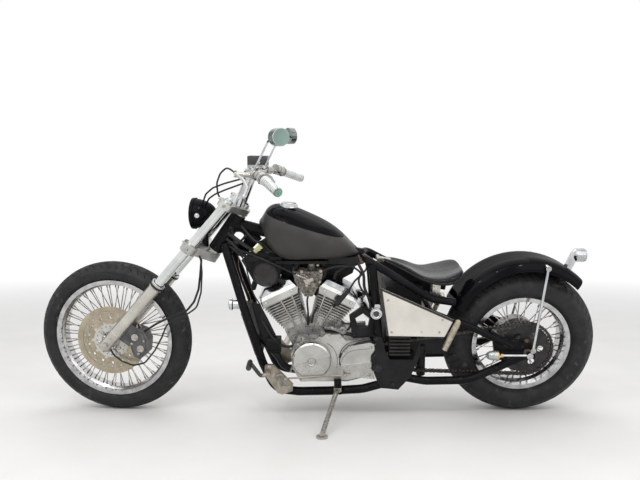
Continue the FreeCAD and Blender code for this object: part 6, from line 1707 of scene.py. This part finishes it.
    def rear(self) -> None:
        """The carrier behind the engine with its five-sided window, its fittings and the post's leads."""
        window = left(((1.0584, 0, 0.4769), (1.0877, 0, 0.4549), (1.0803, 0, 0.4151), (1.0388, 0, 0.4151),
                       (1.0258, 0, 0.4549)))
        outer = left(((1.060, 0, 0.506), (1.106, 0, 0.470), (1.104, 0, 0.372), (1.016, 0, 0.366),
                      (1.002, 0, 0.462)))
        inner, around = ([a.lerp(b, share) for a, b in zip(line, [*line[1:], line[0]])
                          for share in (0, 0.35, 0.65)] for line in (window, outer))
        rings = []
        for ring, depth, share in ((around, 0.070, 0.0), (inner, 0.070, 0.0), (inner, 0.096, 0.0),
                                   (inner, 0.099, 0.12), (around, 0.099, 0.06), (around, 0.095, 0.0),
                                   (around, 0.070, 0.0)):
            other = around if ring is inner else inner
            rings.append([place.lerp(mate, share) - ACROSS * depth for place, mate in zip(ring, other)])
        carrier = Form().loft(rings, True, False)
        for x, z, size in ((1.022, 0.388, 0.010), (1.050, 0.494, 0.008), (1.012, 0.440, 0.008)):
            carrier.turn(((size, 0.0985), (size, 0.104), (size * 0.7, 0.106), (size * 0.4, 0.104)),
                         Vector((x, 0.0, z)), -ACROSS, 16)
        weld(FIT.fit("link_carrier", carrier, PLATE_BLACK, Body.FRAME))
        self.run("post_leads", (
            (0.0060, ((1.030, -0.036, 0.700), (1.040, -0.060, 0.676), (1.058, -0.082, 0.640),
                      (1.062, -0.096, 0.590), (1.080, -0.104, 0.545), (1.092, -0.112, 0.500))),
            (0.0040, ((1.060, -0.040, 0.700), (1.070, -0.080, 0.668), (1.040, -0.092, 0.628),
                      (1.046, -0.096, 0.590), (1.070, -0.100, 0.560), (1.100, -0.108, 0.540))),
            (0.0045, ((1.014, -0.078, 0.430), (0.996, -0.084, 0.400), (0.960, -0.082, 0.392),
                      (0.925, -0.074, 0.398))),
            (0.0080, ((0.900, -0.060, 0.392), (0.936, -0.078, 0.386), (0.985, -0.084, 0.384),
                      (1.030, -0.082, 0.374))),
            (0.0070, ((1.005, -0.050, 0.690), (0.985, -0.050, 0.664), (0.950, -0.046, 0.640),
                      (0.940, -0.040, 0.610))),
        ), RUBBER, "hose_rubber")
        links = Form()
        links.pipe(smooth_path(left(((0.905, -0.072, 0.406), (0.935, -0.092, 0.410),
                                     (0.970, -0.094, 0.398)))), 0.0090, 14)
        links.rod(Vector((0.975, -0.070, 0.404)), Vector((0.975, -0.104, 0.404)), 0.0160, 22)
        links.nut(Vector((0.975, -0.103, 0.404)), -ACROSS, 0.0090, 0.006)
        links.rod(Vector((0.892, -0.060, 0.384)), Vector((0.892, -0.092, 0.384)), 0.0120, 20)
        links.screw(Vector((0.892, -0.0915, 0.384)), -ACROSS, 0.0070, 0.004)
        links.box(Vector((0.942, -0.082, 0.376)), Vector((0.026, 0.012, 0.008)), 0.002)
        FIT.fit("case_fittings", links, CASE, Body.FRAME)

    def switch(self) -> None:
        """The key switch's collar and barrel."""
        face = Vector((1.106, -0.1650, 0.502))
        collar = Form()
        collar.ring(((0.0125, -0.001), (0.0170, -0.001), (0.0170, 0.003), (0.0150, 0.005),
                     (0.0125, 0.003)), face, -ACROSS, 28)
        for out in spokes(12):
            collar.rod(face + out * 0.0170 + ACROSS * 0.016, face + out * 0.0170 + ACROSS * 0.002,
                       0.0016, 8)
        collar.box(face + Vector((0.004, 0.020, 0.026)), Vector((0.011, 0.012, 0.010)), 0.004)
        FIT.fit("key_collar", collar, CHROME, Body.FRAME)
        slot = Form()
        slot.turn(((0.0118, 0.0), (0.0118, 0.0012), (0.0100, 0.0020), (0, 0.0020)), face, -ACROSS, 24)
        slot.box(face - ACROSS * 0.0024, Vector((0.0012, 0.0008, 0.0062)), 0.0003)
        FIT.fit("key_barrel", slot, DARK_ALLOY, Body.FRAME)

    def build(self) -> None:
        """Makes everything between neck and seat post."""
        self.neck()
        self.drum()
        self.fillers()
        self.front()
        self.rear()
        self.switch()


# Seat, tank and tail
@dataclass
class Saddle:
    """The solo seat: a crowned pan of hide with a welt round its edge."""

    start: Vector = field(default_factory=lambda: Vector((1.148, 0.0, 0.0)))
    length: float = 0.322
    height: float = 0.062
    half: float = 0.131
    fender_centre: Pair = (1.732 + 0.003, 0.3237 + 0.050)
    fender_radius: float = 0.328
    fender_gap: float = 0.039
    stations: tuple = ((0.0, 1.16, 1.35, 0.14), (0.13, 0.87, 1.23, 0.29), (0.27, 0.55, 0.98, 0.47),
                       (0.51, 0.10, 0.45, 0.78), (0.74, 0.0, 0.52, 1.0), (0.91, 0.15, 0.80, 0.87),
                       (1.0, 0.55, 0.90, 0.54))

    def level(self) -> float:
        """Height of the seat's lowest point, over the fender's crown."""
        behind = self.start.x + self.length - self.fender_centre[0]
        return self.fender_centre[1] + math.sqrt(self.fender_radius ** 2 - behind ** 2) + self.fender_gap

    def at(self, share: float) -> tuple[float, float, float]:
        """The seat's lower and upper height and half width, as shares, at a share of its length.

        Args:
            share: The share of the length.

        Returns:
            The three shares.
        """
        spots = self.stations
        for index in range(len(spots) - 1):
            if share <= spots[index + 1][0]:
                break
        a = spots[max(index - 1, 0)]
        b = spots[index]
        c = spots[index + 1]
        d = spots[min(index + 2, len(spots) - 1)]
        t = (share - b[0]) / (c[0] - b[0])
        values = []
        for k in (1, 2, 3):
            slope_b = (c[k] - a[k]) / max(c[0] - a[0], 0.01) * (c[0] - b[0])
            slope_c = (d[k] - b[k]) / max(d[0] - b[0], 0.01) * (c[0] - b[0])
            values.append((2 * t ** 3 - 3 * t ** 2 + 1) * b[k] + (t ** 3 - 2 * t ** 2 + t) * slope_b
                          + (3 * t ** 2 - 2 * t ** 3) * c[k] + (t ** 3 - t ** 2) * slope_c)
        return values[0], values[1], values[2]

    def taper(self, share: float, reach: float) -> float:
        """A factor that falls to 0 in a round over the seat's two ends, each of that reach."""
        return math.sqrt(1 - (1 - min(1.0, min(share, 1 - share) / reach)) ** 2)

    def section(self, share: float, ends: float) -> list[Vector]:
        """One ring of the cushion, narrowed by ends.

        Args:
            share: The share of its length.
            ends: How wide it is there, as a share.

        Returns:
            The ring's places.
        """
        low, high, wide = self.at(share)
        base = self.level()
        half = wide * self.half * ends
        middle = (low + high) / 2
        low = middle + (low - middle) * ends
        high = middle + (high - middle) * ends
        right = ((0, 0.02), (0.35, 0.02), (0.68, 0.06), (0.88, 0.20), (0.955, 0.34), (0.975, 0.50),
                 (0.965, 0.68), (0.92, 0.86), (0.82, 0.955), (0.68, 0.93), (0.52, 0.84), (0.34, 0.75),
                 (0.16, 0.69), (0.05, 0.672))
        ring = [*right, *((-y, z) for y, z in reversed(right[1:]))]
        x = self.start.x + self.length * share
        return [Vector((x, y * half, base + (low + z * (high - low)) * self.height)) for y, z in ring]

    def build(self) -> None:
        """Makes the cushion, its welt, its pan's edge and its stitches."""
        form = Form()
        count = 44
        rings = []
        for index in range(count + 1):
            share = 0.5 - 0.5 * math.cos(math.pi * index / count)
            rings.append(self.section(0.004 + share * 0.992, self.taper(share, 0.035) * 0.94 + 0.06))
        form.loft(rings)
        cushion = FIT.fit("saddle_cushion", form, HIDE, Body.FRAME, ("seat",), 80.0)
        smooth = cushion.modifiers.new("soft", "SUBSURF")
        smooth.levels = 1
        smooth.render_levels = 2
        self.welt()
        self.stitches()

    def edge_line(self, share_y: float, share_z: float) -> list[Vector]:
        """A line round the seat at shares of its half width and height.

        Args:
            share_y: The share of its half width.
            share_z: The share of its height.

        Returns:
            The line's places.
        """
        base = self.level()
        line = []
        count = 60
        for side in (1, -1):
            for index in range(count + 1):
                share = index / count if side == 1 else 1 - index / count
                share = 0.012 + 0.976 * share
                low, high, wide = self.at(share)
                y = side * wide * self.half * share_y * (0.30 + 0.70 * self.taper(share, 0.05))
                line.append(Vector((self.start.x + self.length * share, y,
                                    base + (low + share_z * (high - low)) * self.height)))
        return line

    def welt(self) -> None:
        """The rolled edge under the cushion's side, and the pan's edge below it."""
        for name, finish, share_y, share_z, radius, count in (
                ("saddle_welt", WELT, 0.965, 0.30, 0.0042, 10),
                ("saddle_pan_edge", PLATE_BLACK, 0.955, 0.14, 0.0032, 8)):
            line = self.edge_line(share_y, share_z)
            FIT.fit(name, Form().pipe([*line, line[0]], radius, count), finish, Body.FRAME,
                    angle=60.0)

    def stitches(self) -> None:
        """Short stitches above the welt."""
        line = self.edge_line(0.985, 0.56)
        form = Form()
        far = 0.0
        for a, b in zip(line, line[1:]):
            run = (b - a).length
            while far < run:
                start = a.lerp(b, far / run)
                end = start + (b - a).normalized() * 0.0038
                form.pipe([start, start.lerp(end, 0.5), end], 0.0007, 5)
                far += 0.0065
            far -= run
        FIT.fit("saddle_stitches", form, PLATE_BLACK, Body.FRAME)


@dataclass
class Tail:
    """Tank cap and tap, panels, fender beads, struts' nuts, axle nuts and lamps."""

    strut: float = 0.376

    def tank(self) -> None:
        """Cap knurl and filler ring, and the tap below."""
        cap = Vector((0.634 + 0.410 * 0.29, 0.0, 0.709 + 0.204 * 0.97))
        tilt = Matrix.Rotation(math.radians(4), 3, "Y")
        up = tilt @ UP
        form = Form()
        form.ring(((0.0345, 0.0085), (0.0364, 0.0070), (0.0372, 0.0030), (0.0380, 0.0005),
                   (0.0330, 0.0005)), cap, up, 56)
        for way in spokes(36):
            foot = cap + tilt @ Vector((way.x, way.z, 0.0)) * 0.0361
            form.rod(foot + up * 0.002, foot + up * 0.008, 0.0011, 6)
        form.turn(((0.0200, 0.0138), (0.0200, 0.0144), (0.0180, 0.0150), (0, 0.0152)), cap, up, 40)
        FIT.fit("cap_trim", form, CHROME, Body.FRAME)
        tap = Form()
        tap.rod(Vector((1.040, -0.020, 0.700)), Vector((1.050, -0.052, 0.690)), 0.0095, 18)
        tap.nut(Vector((1.050, -0.050, 0.690)), -ACROSS, 0.0120, 0.010)
        tap.rod(Vector((1.050, -0.050, 0.690)), Vector((1.072, -0.052, 0.700)), 0.0065, 14)
        tap.nut(Vector((1.070, -0.052, 0.699)), Vector((1.0, 0.0, 0.4)), 0.0085, 0.008)
        FIT.fit("fuel_tap", tap, RUST, Body.FRAME)

    def plates(self) -> None:
        """Panel edges and screws, and the pivot bolts."""
        screws = Form()
        for side in Side:
            screws.screws(((1.152, 0.560), (1.372, 0.476), (1.170, 0.425), (1.362, 0.424)), side * 0.1635,
                          ACROSS * side, 0.0050, 0.0030)
        FIT.fit("panel_screws", screws, STEEL, Body.FRAME)
        bolts = Form()
        for side in Side:
            foot = Vector((1.117, side * 0.1630, 0.262))
            bolts.turn(((0.0190, -0.005), (0.0190, -0.002), (0.0150, -0.0015)), foot, ACROSS * side, 28)
            bolts.turn(((0.0130, -0.003), (0.0130, 0.003), (0.0110, 0.005)), foot, ACROSS * side, 6)
            for x, z in ((1.106, 0.392), (1.180, 0.190)):
                bolts.nut(Vector((x, side * 0.1578, z)), ACROSS * side, 0.0075, 0.007)
        FIT.fit("pivot_bolts", bolts, BLACK_BOLT, Body.FRAME)
        edge = Form()
        corner = Vector((1.118, 0.0, 0.403))
        shares = ((0.0, 1.0), (1.0, 0.35), (0.11, 0.02))
        for side in Side:
            top, low, foot = (corner + Vector((x * 0.299, side * 0.1622, z * 0.209)) for x, z in shares)
            drop = UP * -0.010
            strip = [top, low, low + drop * 0.9 - BACK * 0.004, top + drop + BACK * 0.0012]
            edge.plate(strip, ACROSS * side, 0.0025, 0.0008)
            strip = [top, foot, foot + BACK * 0.008, top + BACK * 0.010 + drop]
            edge.plate(strip, ACROSS * side, 0.0024, 0.0008)
        FIT.fit("panel_bevels", edge, SATIN, Body.FRAME)

    def fender(self) -> None:
        """The rolled bead round the fender's edges and its stays' bolts."""
        centre = REAR_AXLE + UP * 0.050 + BACK * 0.003
        beads = Form()
        reach = 0.328 - 0.044
        for side in Side:
            path = [centre + about(math.radians(a)) * (reach + 0.0010) + ACROSS * side * 0.1000
                    for a in range(158, 46, -3)]
            beads.pipe(path, 0.0026, 8)
        FIT.fit("fender_beads", beads, GLOSS, Body.FRAME, angle=60.0)
        bolts = Form()
        for side in Side:
            for x, y, z in ((0.176, 0.1145, 0.931), (0.045, 0.1620, 0.0426)):
                place = REAR_AXLE + Vector((x * self.strut, side * y, z * self.strut))
                bolts.nut(place, ACROSS * side, 0.0070, 0.0055)
        FIT.fit("strut_nuts", bolts, STEEL, Body.FRAME)
        seat = Form()
        for side in Side:
            seat.turn(((0.0120, 0), (0.0120, 0.002), (0.0100, 0.0035), (0.0, 0.0042)),
                      Vector((1.358, side * 0.1018, 0.529)), ACROSS * side, 24)
        FIT.fit("seat_bolt_caps", seat, CHROME, Body.FRAME)

    def axle(self) -> None:
        """Axle nuts and adjuster screws at the rear axle."""
        nuts = Form()
        for side in Side:
            foot = REAR_AXLE + ACROSS * side * 0.1545
            nuts.turn(((0.0150, -0.010), (0.0150, -0.001), (0.0130, 0.0)), foot, ACROSS * side, 6)
            start = REAR_AXLE + Vector((0.034, side * 0.132, 0.0))
            nuts.rod(start - BACK * 0.012, start + BACK * 0.004, 0.0040, 10)
            nuts.nut(start - BACK * 0.002, BACK, 0.0070, 0.006)
        FIT.fit("rear_axle_nuts", nuts, RUST, Body.FRAME)

    def lamps(self) -> None:
        """Tail lamp lens and rim, signal lenses and their rings."""
        base = Vector((1.934, 0.0, 0.700))
        lens = Form().turn(dome(0.0235, 0.0500, 0.0045, 7), base, BACK, 36, False)
        FIT.fit("tail_lens", lens, LAMP_RED, Body.FRAME)
        rim = Form()
        for foot in steps(0.010, 0.008, 5):
            rim.band((0.0268, 0.0284), foot, 0.005, 0.001, base, BACK, 40)
        rim.ring(((0.0225, 0.0512), (0.0252, 0.0522), (0.0262, 0.0500), (0.0240, 0.0492)), base, BACK, 40)
        FIT.fit("tail_rim", rim, CHROME, Body.FRAME)
        rings = Form()
        lenses = Form()
        for side in Side:
            root = REAR_AXLE + ACROSS * side * 0.168 - BACK * 0.118
            rings.band((0.0190, 0.0206), 0.0085, 0.0075, 0.001, root, -BACK, 36)
            rings.turn(((0.0075, -0.012), (0.0085, -0.010), (0.0085, -0.002), (0.0100, 0.0)), root,
                       -BACK, 20)
            lenses.turn(((0.0198, 0.0165), (0.0204, 0.0190), (0.0204, 0.0290), (0.0180, 0.0420),
                         (0.0142, 0.0510), (0.0080, 0.0580), (0.0, 0.0604)), root, -BACK, 32)
        FIT.fit("signal_rings", rings, AMBER, Body.FRAME)
        FIT.fit("signal_lenses", lenses, CLEAR_GLASS, Body.FRAME)

    def build(self) -> None:
        """Makes the details of tank, panels, fender and lamps."""
        self.tank()
        self.plates()
        self.fender()
        self.axle()
        self.lamps()


@dataclass
class FootControls:
    """Plate screws, peg rings, toe rubbers, rod ends and the pillion pegs' ribs."""

    outer: float = 0.150

    def build(self) -> None:
        """Makes the details of the foot controls and the pillion pegs."""
        screws = Form()
        rings = Form()
        rubbers = Form()
        ribs = Form()
        for side in Side:
            face = side * self.outer
            for x, z, size in ((0.672, 0.262, 0.0085), (0.690, 0.228, 0.0085), (0.672, 0.232, 0.0060),
                               (0.752, 0.172, 0.0075), (0.742, 0.160, 0.0060)):
                screws.screw(Vector((x, face - side * 0.0005, z)), ACROSS * side, size, size * 0.6)
            foot = Vector((0.712, side * 0.145, 0.213))
            tip = Vector((0.738, side * 0.263, 0.223))
            way = (tip - foot).normalized()
            rings.ring(((0.0188, 0.0085), (0.0198, 0.0092), (0.0202, 0.0120), (0.0198, 0.0150),
                        (0.0188, 0.0157)),
                       foot, way, 40)
            for start in steps(0.032, 0.0118, 7):
                rings.band((0.0150, 0.0156), start, 0.0060, 0.0010, foot, way, 28)
            toe = Vector((0.597, side * 0.168, 0.296))
            for start in steps(0.010, 0.0050, 10):
                rubbers.band((0.0099, 0.0112), start, 0.0038, 0.0010, toe, ACROSS * side, 20)
            root = Vector((1.434, side * 0.170, 0.470))
            fold = Vector((1.385, side * 0.170, 0.350)) - root
            for start in steps(0.012, 0.0078, 14):
                ribs.band((0.0119, 0.0130), start, 0.0042, 0.0008, root, fold, 20)
        FIT.fit("plate_screws", screws, STEEL, Body.FRAME)
        FIT.fit("peg_rings", rings, PEG, Body.FRAME)
        FIT.fit("toe_rubbers", rubbers, RUBBER, Body.FRAME)
        FIT.fit("pillion_ribs", ribs, BRASS, Body.FRAME)
        ends = Form()
        for x, z in ((0.737, 0.211), (0.985, 0.226)):
            ends.turn(((0.0070, -0.003), (0.0078, 0.0), (0.0070, 0.003)), Vector((x, -0.1535, z)),
                      -ACROSS, 16)
            ends.nut(Vector((x, -0.1538, z)), -ACROSS, 0.0050, 0.0045)
        FIT.fit("rod_ends", ends, STEEL, Body.FRAME)


# Finishes of the solids that stay
@dataclass
class Dresser:
    """Gives each solid that stays its finish."""

    frame: dict

    def table(self) -> dict[str, Finish | Divided]:
        """Each solid's name with its finish.

        Returns:
            The finishes by name.
        """
        lever = Divided(PLATE_BRONZE, DARK_ALLOY, Zone.ALONG, Vector((0.652, 0, 0.262)),
                        Vector((-1, 0, 0.25)), 0.0, Body.FRAME)
        plain = {
            "front_tyre": TYRE_RUBBER, "rear_tyre": TYRE_RUBBER, "front_rim": RIM_CHROME,
            "rear_rim": RIM_CHROME,
            "front_hub_and_spokes": Divided(CLAMP, SPOKE, Zone.AROUND, FRONT_AXLE, ACROSS, 0.0395,
                                            Body.FRONT_WHEEL),
            "rear_hub_and_spokes": Divided(CASE, SPOKE, Zone.AROUND, REAR_AXLE, ACROSS, 0.0935,
                                           Body.REAR_WHEEL),
            "front_brake_disc": Divided(DISC_SILVER, DISC_TAN, Zone.AROUND, FRONT_AXLE, ACROSS, 0.0745,
                                        Body.FRONT_WHEEL),
            "rear_sprocket": SPROCKET, "drive_chain": CHAIN,
            "front_axle": STEEL, "lower_clamp_and_stem": CLAMP, "upper_clamp": CLAMP, "headlight": GLOSS,
            "handlebar": CHROME, "left_bar_controls": HOUSING,
            "right_bar_controls": Divided(HOUSING, DARK_ALLOY, Zone.ALONG,
                                          Vector((0.603, 0.140, 1.068)), UP, 0.0, Body.STEERING),
            "front_caliper": CALIPER, "front_hoses": RUBBER,
            "frame_backbone": FRAME_BLACK, "frame_cradle": FRAME_BLACK, "frame_seat_rails": FRAME_BLACK,
            "pivot_plates": PLATE_BLACK, "swingarm": FRAME_BLACK, "rear_axle": RUST,
            "front_cylinder": FINS, "rear_cylinder": FINS, "front_head_cover": self.lid(-1),
            "rear_head_cover": self.lid(1),
            "crankcase": CASE, "left_case_cover": ENGINE, "right_case_cover": ENGINE,
            "alternator_cover": Divided(PITTED, COVER, Zone.ALONG, Vector((0.847, 0, 0.284)),
                                        Vector((-0.25, 0, 1)), 0.006, Body.FRAME),
            "sprocket_cover": Divided(PITTED, COVER, Zone.ALONG, Vector((1.03, 0, 0.272)),
                                      Vector((-0.1, 0, 1)), 0.0, Body.FRAME),
            "carburettor": CARB, "coil_tray": BOX_BLACK,
            "air_cleaner": Divided(FLAT_BLACK, CHROME, Zone.ALONG, Vector((0.833, 0.135, 0.6)),
                                   ACROSS, 0.0, Body.FRAME),
            "exhaust_pipes": CHROME, "radiator": FLAT_BLACK,
            "horn": CHROME, "side_drum": FLAT_BLACK, "ignition_switch": CHROME,
            "fuel_tank": Divided(SATIN, GLOSS, Zone.ALONG, Vector((0.80, 0, 0.845)),
                                 Vector((0.33, 0, 1)), 0.0, Body.FRAME),
            "tank_cap": CHROME, "seat": HIDE, "seat_mounts": STEEL, "side_panels": PANEL,
            "electrics_box": BOX_BLACK, "regulator": FLAT_BLACK, "rear_fender": GLOSS,
            "fender_struts": CHROME, "tail_lamp": CHROME, "rear_signals": CHROME,
            "foot_control_left": lever, "foot_control_right": lever, "passenger_pegs": BRASS,
            "side_stand": STEEL, "side_stand_bracket": FRAME_BLACK,
            "mirrors": Divided(CHROME, MIRROR_SHELL, Zone.ALONG, Vector((0.70, 0, 1.160)),
                               Vector((0.35, 0, 0.4)), 0.0, Body.STEERING),
        }
        for side in Side:
            leg = Divided(SLIDER, TUBE, Zone.ALONG, fork_point(0, side), FORK_AXIS, 0.3515, Body.STEERING)
            plain["fork_leg_" + side.name.lower()] = leg
        return plain

    def lid(self, which: int) -> Divided:
        """A head cover's bright skirt and its darker polished lid."""
        up = bore_axis(which)
        return Divided(COVER, LID, Zone.ALONG, CRANK + up * 0.302, up, 0.0, Body.FRAME)

    def dress(self) -> None:
        """Puts a finish in every slot of every solid."""
        table = self.table()
        for name, solid in self.frame["nodes"].items():
            material = table.get(name, PLATE_BLACK).material()
            if not solid.material_slots:
                solid.data.materials.append(material)
            for slot in solid.material_slots:
                slot.material = material
            if name not in table:
                LOG.warning("%s has no finish of its own", name)
        LOG.info("dressed %d solids", len(self.frame["nodes"]))


# The room
WHITE = (1.0, 1.0, 1.0, 1.0)
DIM = (0.97, 0.98, 1.0, 1.0)


@dataclass
class Studio:
    """Pale floor, white surroundings, soft lamps and the camera."""

    eye: Triple = (0.0186, -2.5466, 0.7642)
    down: float = math.radians(0.5)
    lens: float = 34.501
    floor_radius: float = 24.0
    fade: Pair = (2.6, 9.0)

    def surroundings(self) -> None:
        """White behind the machine, and a plain level of light on it."""
        world = bpy.data.worlds.new("studio")
        bpy.context.scene.world = world
        tree = Tree(world)
        path = tree.add("ShaderNodeLightPath").outputs
        seen = tree.sum("MAXIMUM", path["Is Camera Ray"], path["Is Transmission Ray"])
        dim = tree.add("ShaderNodeBackground", {"Color": DIM, "Strength": 0.62}).outputs[0]
        white = tree.add("ShaderNodeBackground", {"Color": WHITE, "Strength": 1.0}).outputs[0]
        share = tree.sum("MAXIMUM", seen, path["Is Glossy Ray"])
        mixed = tree.add("ShaderNodeMixShader", {0: share, 1: dim, 2: white}).outputs[0]
        tree.add("ShaderNodeOutputWorld", {"Surface": mixed})

    def floor(self) -> None:
        """A pale floor that keeps the shadow and fades to white far away."""
        form = Form().turn(((0.0, 0.0), (3.0, 0.0), (8.0, 0.0), (self.floor_radius, 0.0)), Vector(),
                           UP, 64, False)
        mesh = bpy.data.meshes.new("floor")
        mesh.from_pydata(form.points, [], form.faces)
        floor = bpy.data.objects.new("floor", mesh)
        bpy.context.scene.collection.objects.link(floor)
        tree = Tree(bpy.data.materials.new("pale_floor"))
        where = tree.place()
        fade = tree.spread(tree.vector("LENGTH", where).outputs[1], *self.fade)
        tone = tree.spread(tree.noise(where, 3.0, 4.0), *NOISE_RANGE)
        colour = tree.blend(tone, (0.84, 0.83, 0.80, 1.0), (0.88, 0.87, 0.85, 1.0))
        plain = tree.add("ShaderNodeBsdfPrincipled", {"Base Color": colour, "Roughness": 0.6})
        glow = tree.add("ShaderNodeEmission", {"Color": WHITE, "Strength": 1.0})
        mixed = tree.add("ShaderNodeMixShader", {0: fade, 1: plain.outputs[0], 2: glow.outputs[0]})
        tree.add("ShaderNodeOutputMaterial", {"Surface": mixed.outputs[0]})
        mesh.materials.append(tree.owner)

    def lamp(self, name: str, place: Triple, target: Triple, size: float, power: float) -> None:
        """One soft square lamp that faces a target.

        Args:
            name: Its name.
            place: Where it hangs.
            target: What it faces.
            size: The length of its side.
            power: Its power in watts.
        """
        data = bpy.data.lights.new(name, "AREA")
        data.size = size
        data.energy = power
        lamp = bpy.data.objects.new(name, data)
        lamp.location = place
        lamp.rotation_euler = (Vector(target) - Vector(place)).to_track_quat("-Z", "Y").to_euler()
        bpy.context.scene.collection.objects.link(lamp)

    def camera(self) -> None:
        """The camera at the photograph's place and angle."""
        data = bpy.data.cameras.new("eye")
        data.lens = self.lens
        data.sensor_width = 36.0
        data.clip_start = 0.05
        eye = bpy.data.objects.new("eye", data)
        eye.location = self.eye
        eye.rotation_euler = (math.pi / 2 - self.down, 0.0, 0.0)
        bpy.context.scene.collection.objects.link(eye)
        bpy.context.scene.camera = eye

    def build(self) -> None:
        """Sets the room."""
        bpy.context.scene.view_settings.view_transform = "Standard"
        self.surroundings()
        self.floor()
        self.lamp("key", (-1.6, -2.9, 3.4), (0.0, 0.0, 0.5), 3.8, 60.0)
        self.lamp("fill", (2.4, -2.4, 2.2), (0.0, 0.0, 0.5), 3.2, 26.0)
        self.lamp("top", (0.0, 1.2, 3.8), (0.0, 0.0, 0.4), 4.0, 42.0)
        for place in ((-1.3, -1.9, 2.5), (-0.1, -2.1, 2.8), (1.2, -1.8, 2.4)):
            self.lamp("spark", place, (0.0, 0.0, 0.6), 0.12, 5.0)
        self.camera()


def corners(box: Sequence[Vector]) -> list[list[float]]:
    """A box's two corners as plain lists."""
    return [[float(value) for value in corner] for corner in box]


def main() -> None:
    """Builds everything in order and reports it."""
    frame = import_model()
    Studio().build()
    Dresser(frame).dress()
    for maker in (Wheels(), Chain(), FrontEnd(), Cockpit(), Engine(), Loom(), Saddle(), Tail(),
                  FootControls()):
        before = FIT.pieces
        maker.build()
        LOG.info("%s: %d pieces", type(maker).__name__, FIT.pieces - before)


if __name__ == "__main__":
    logging.basicConfig(level=logging.INFO)
    main()
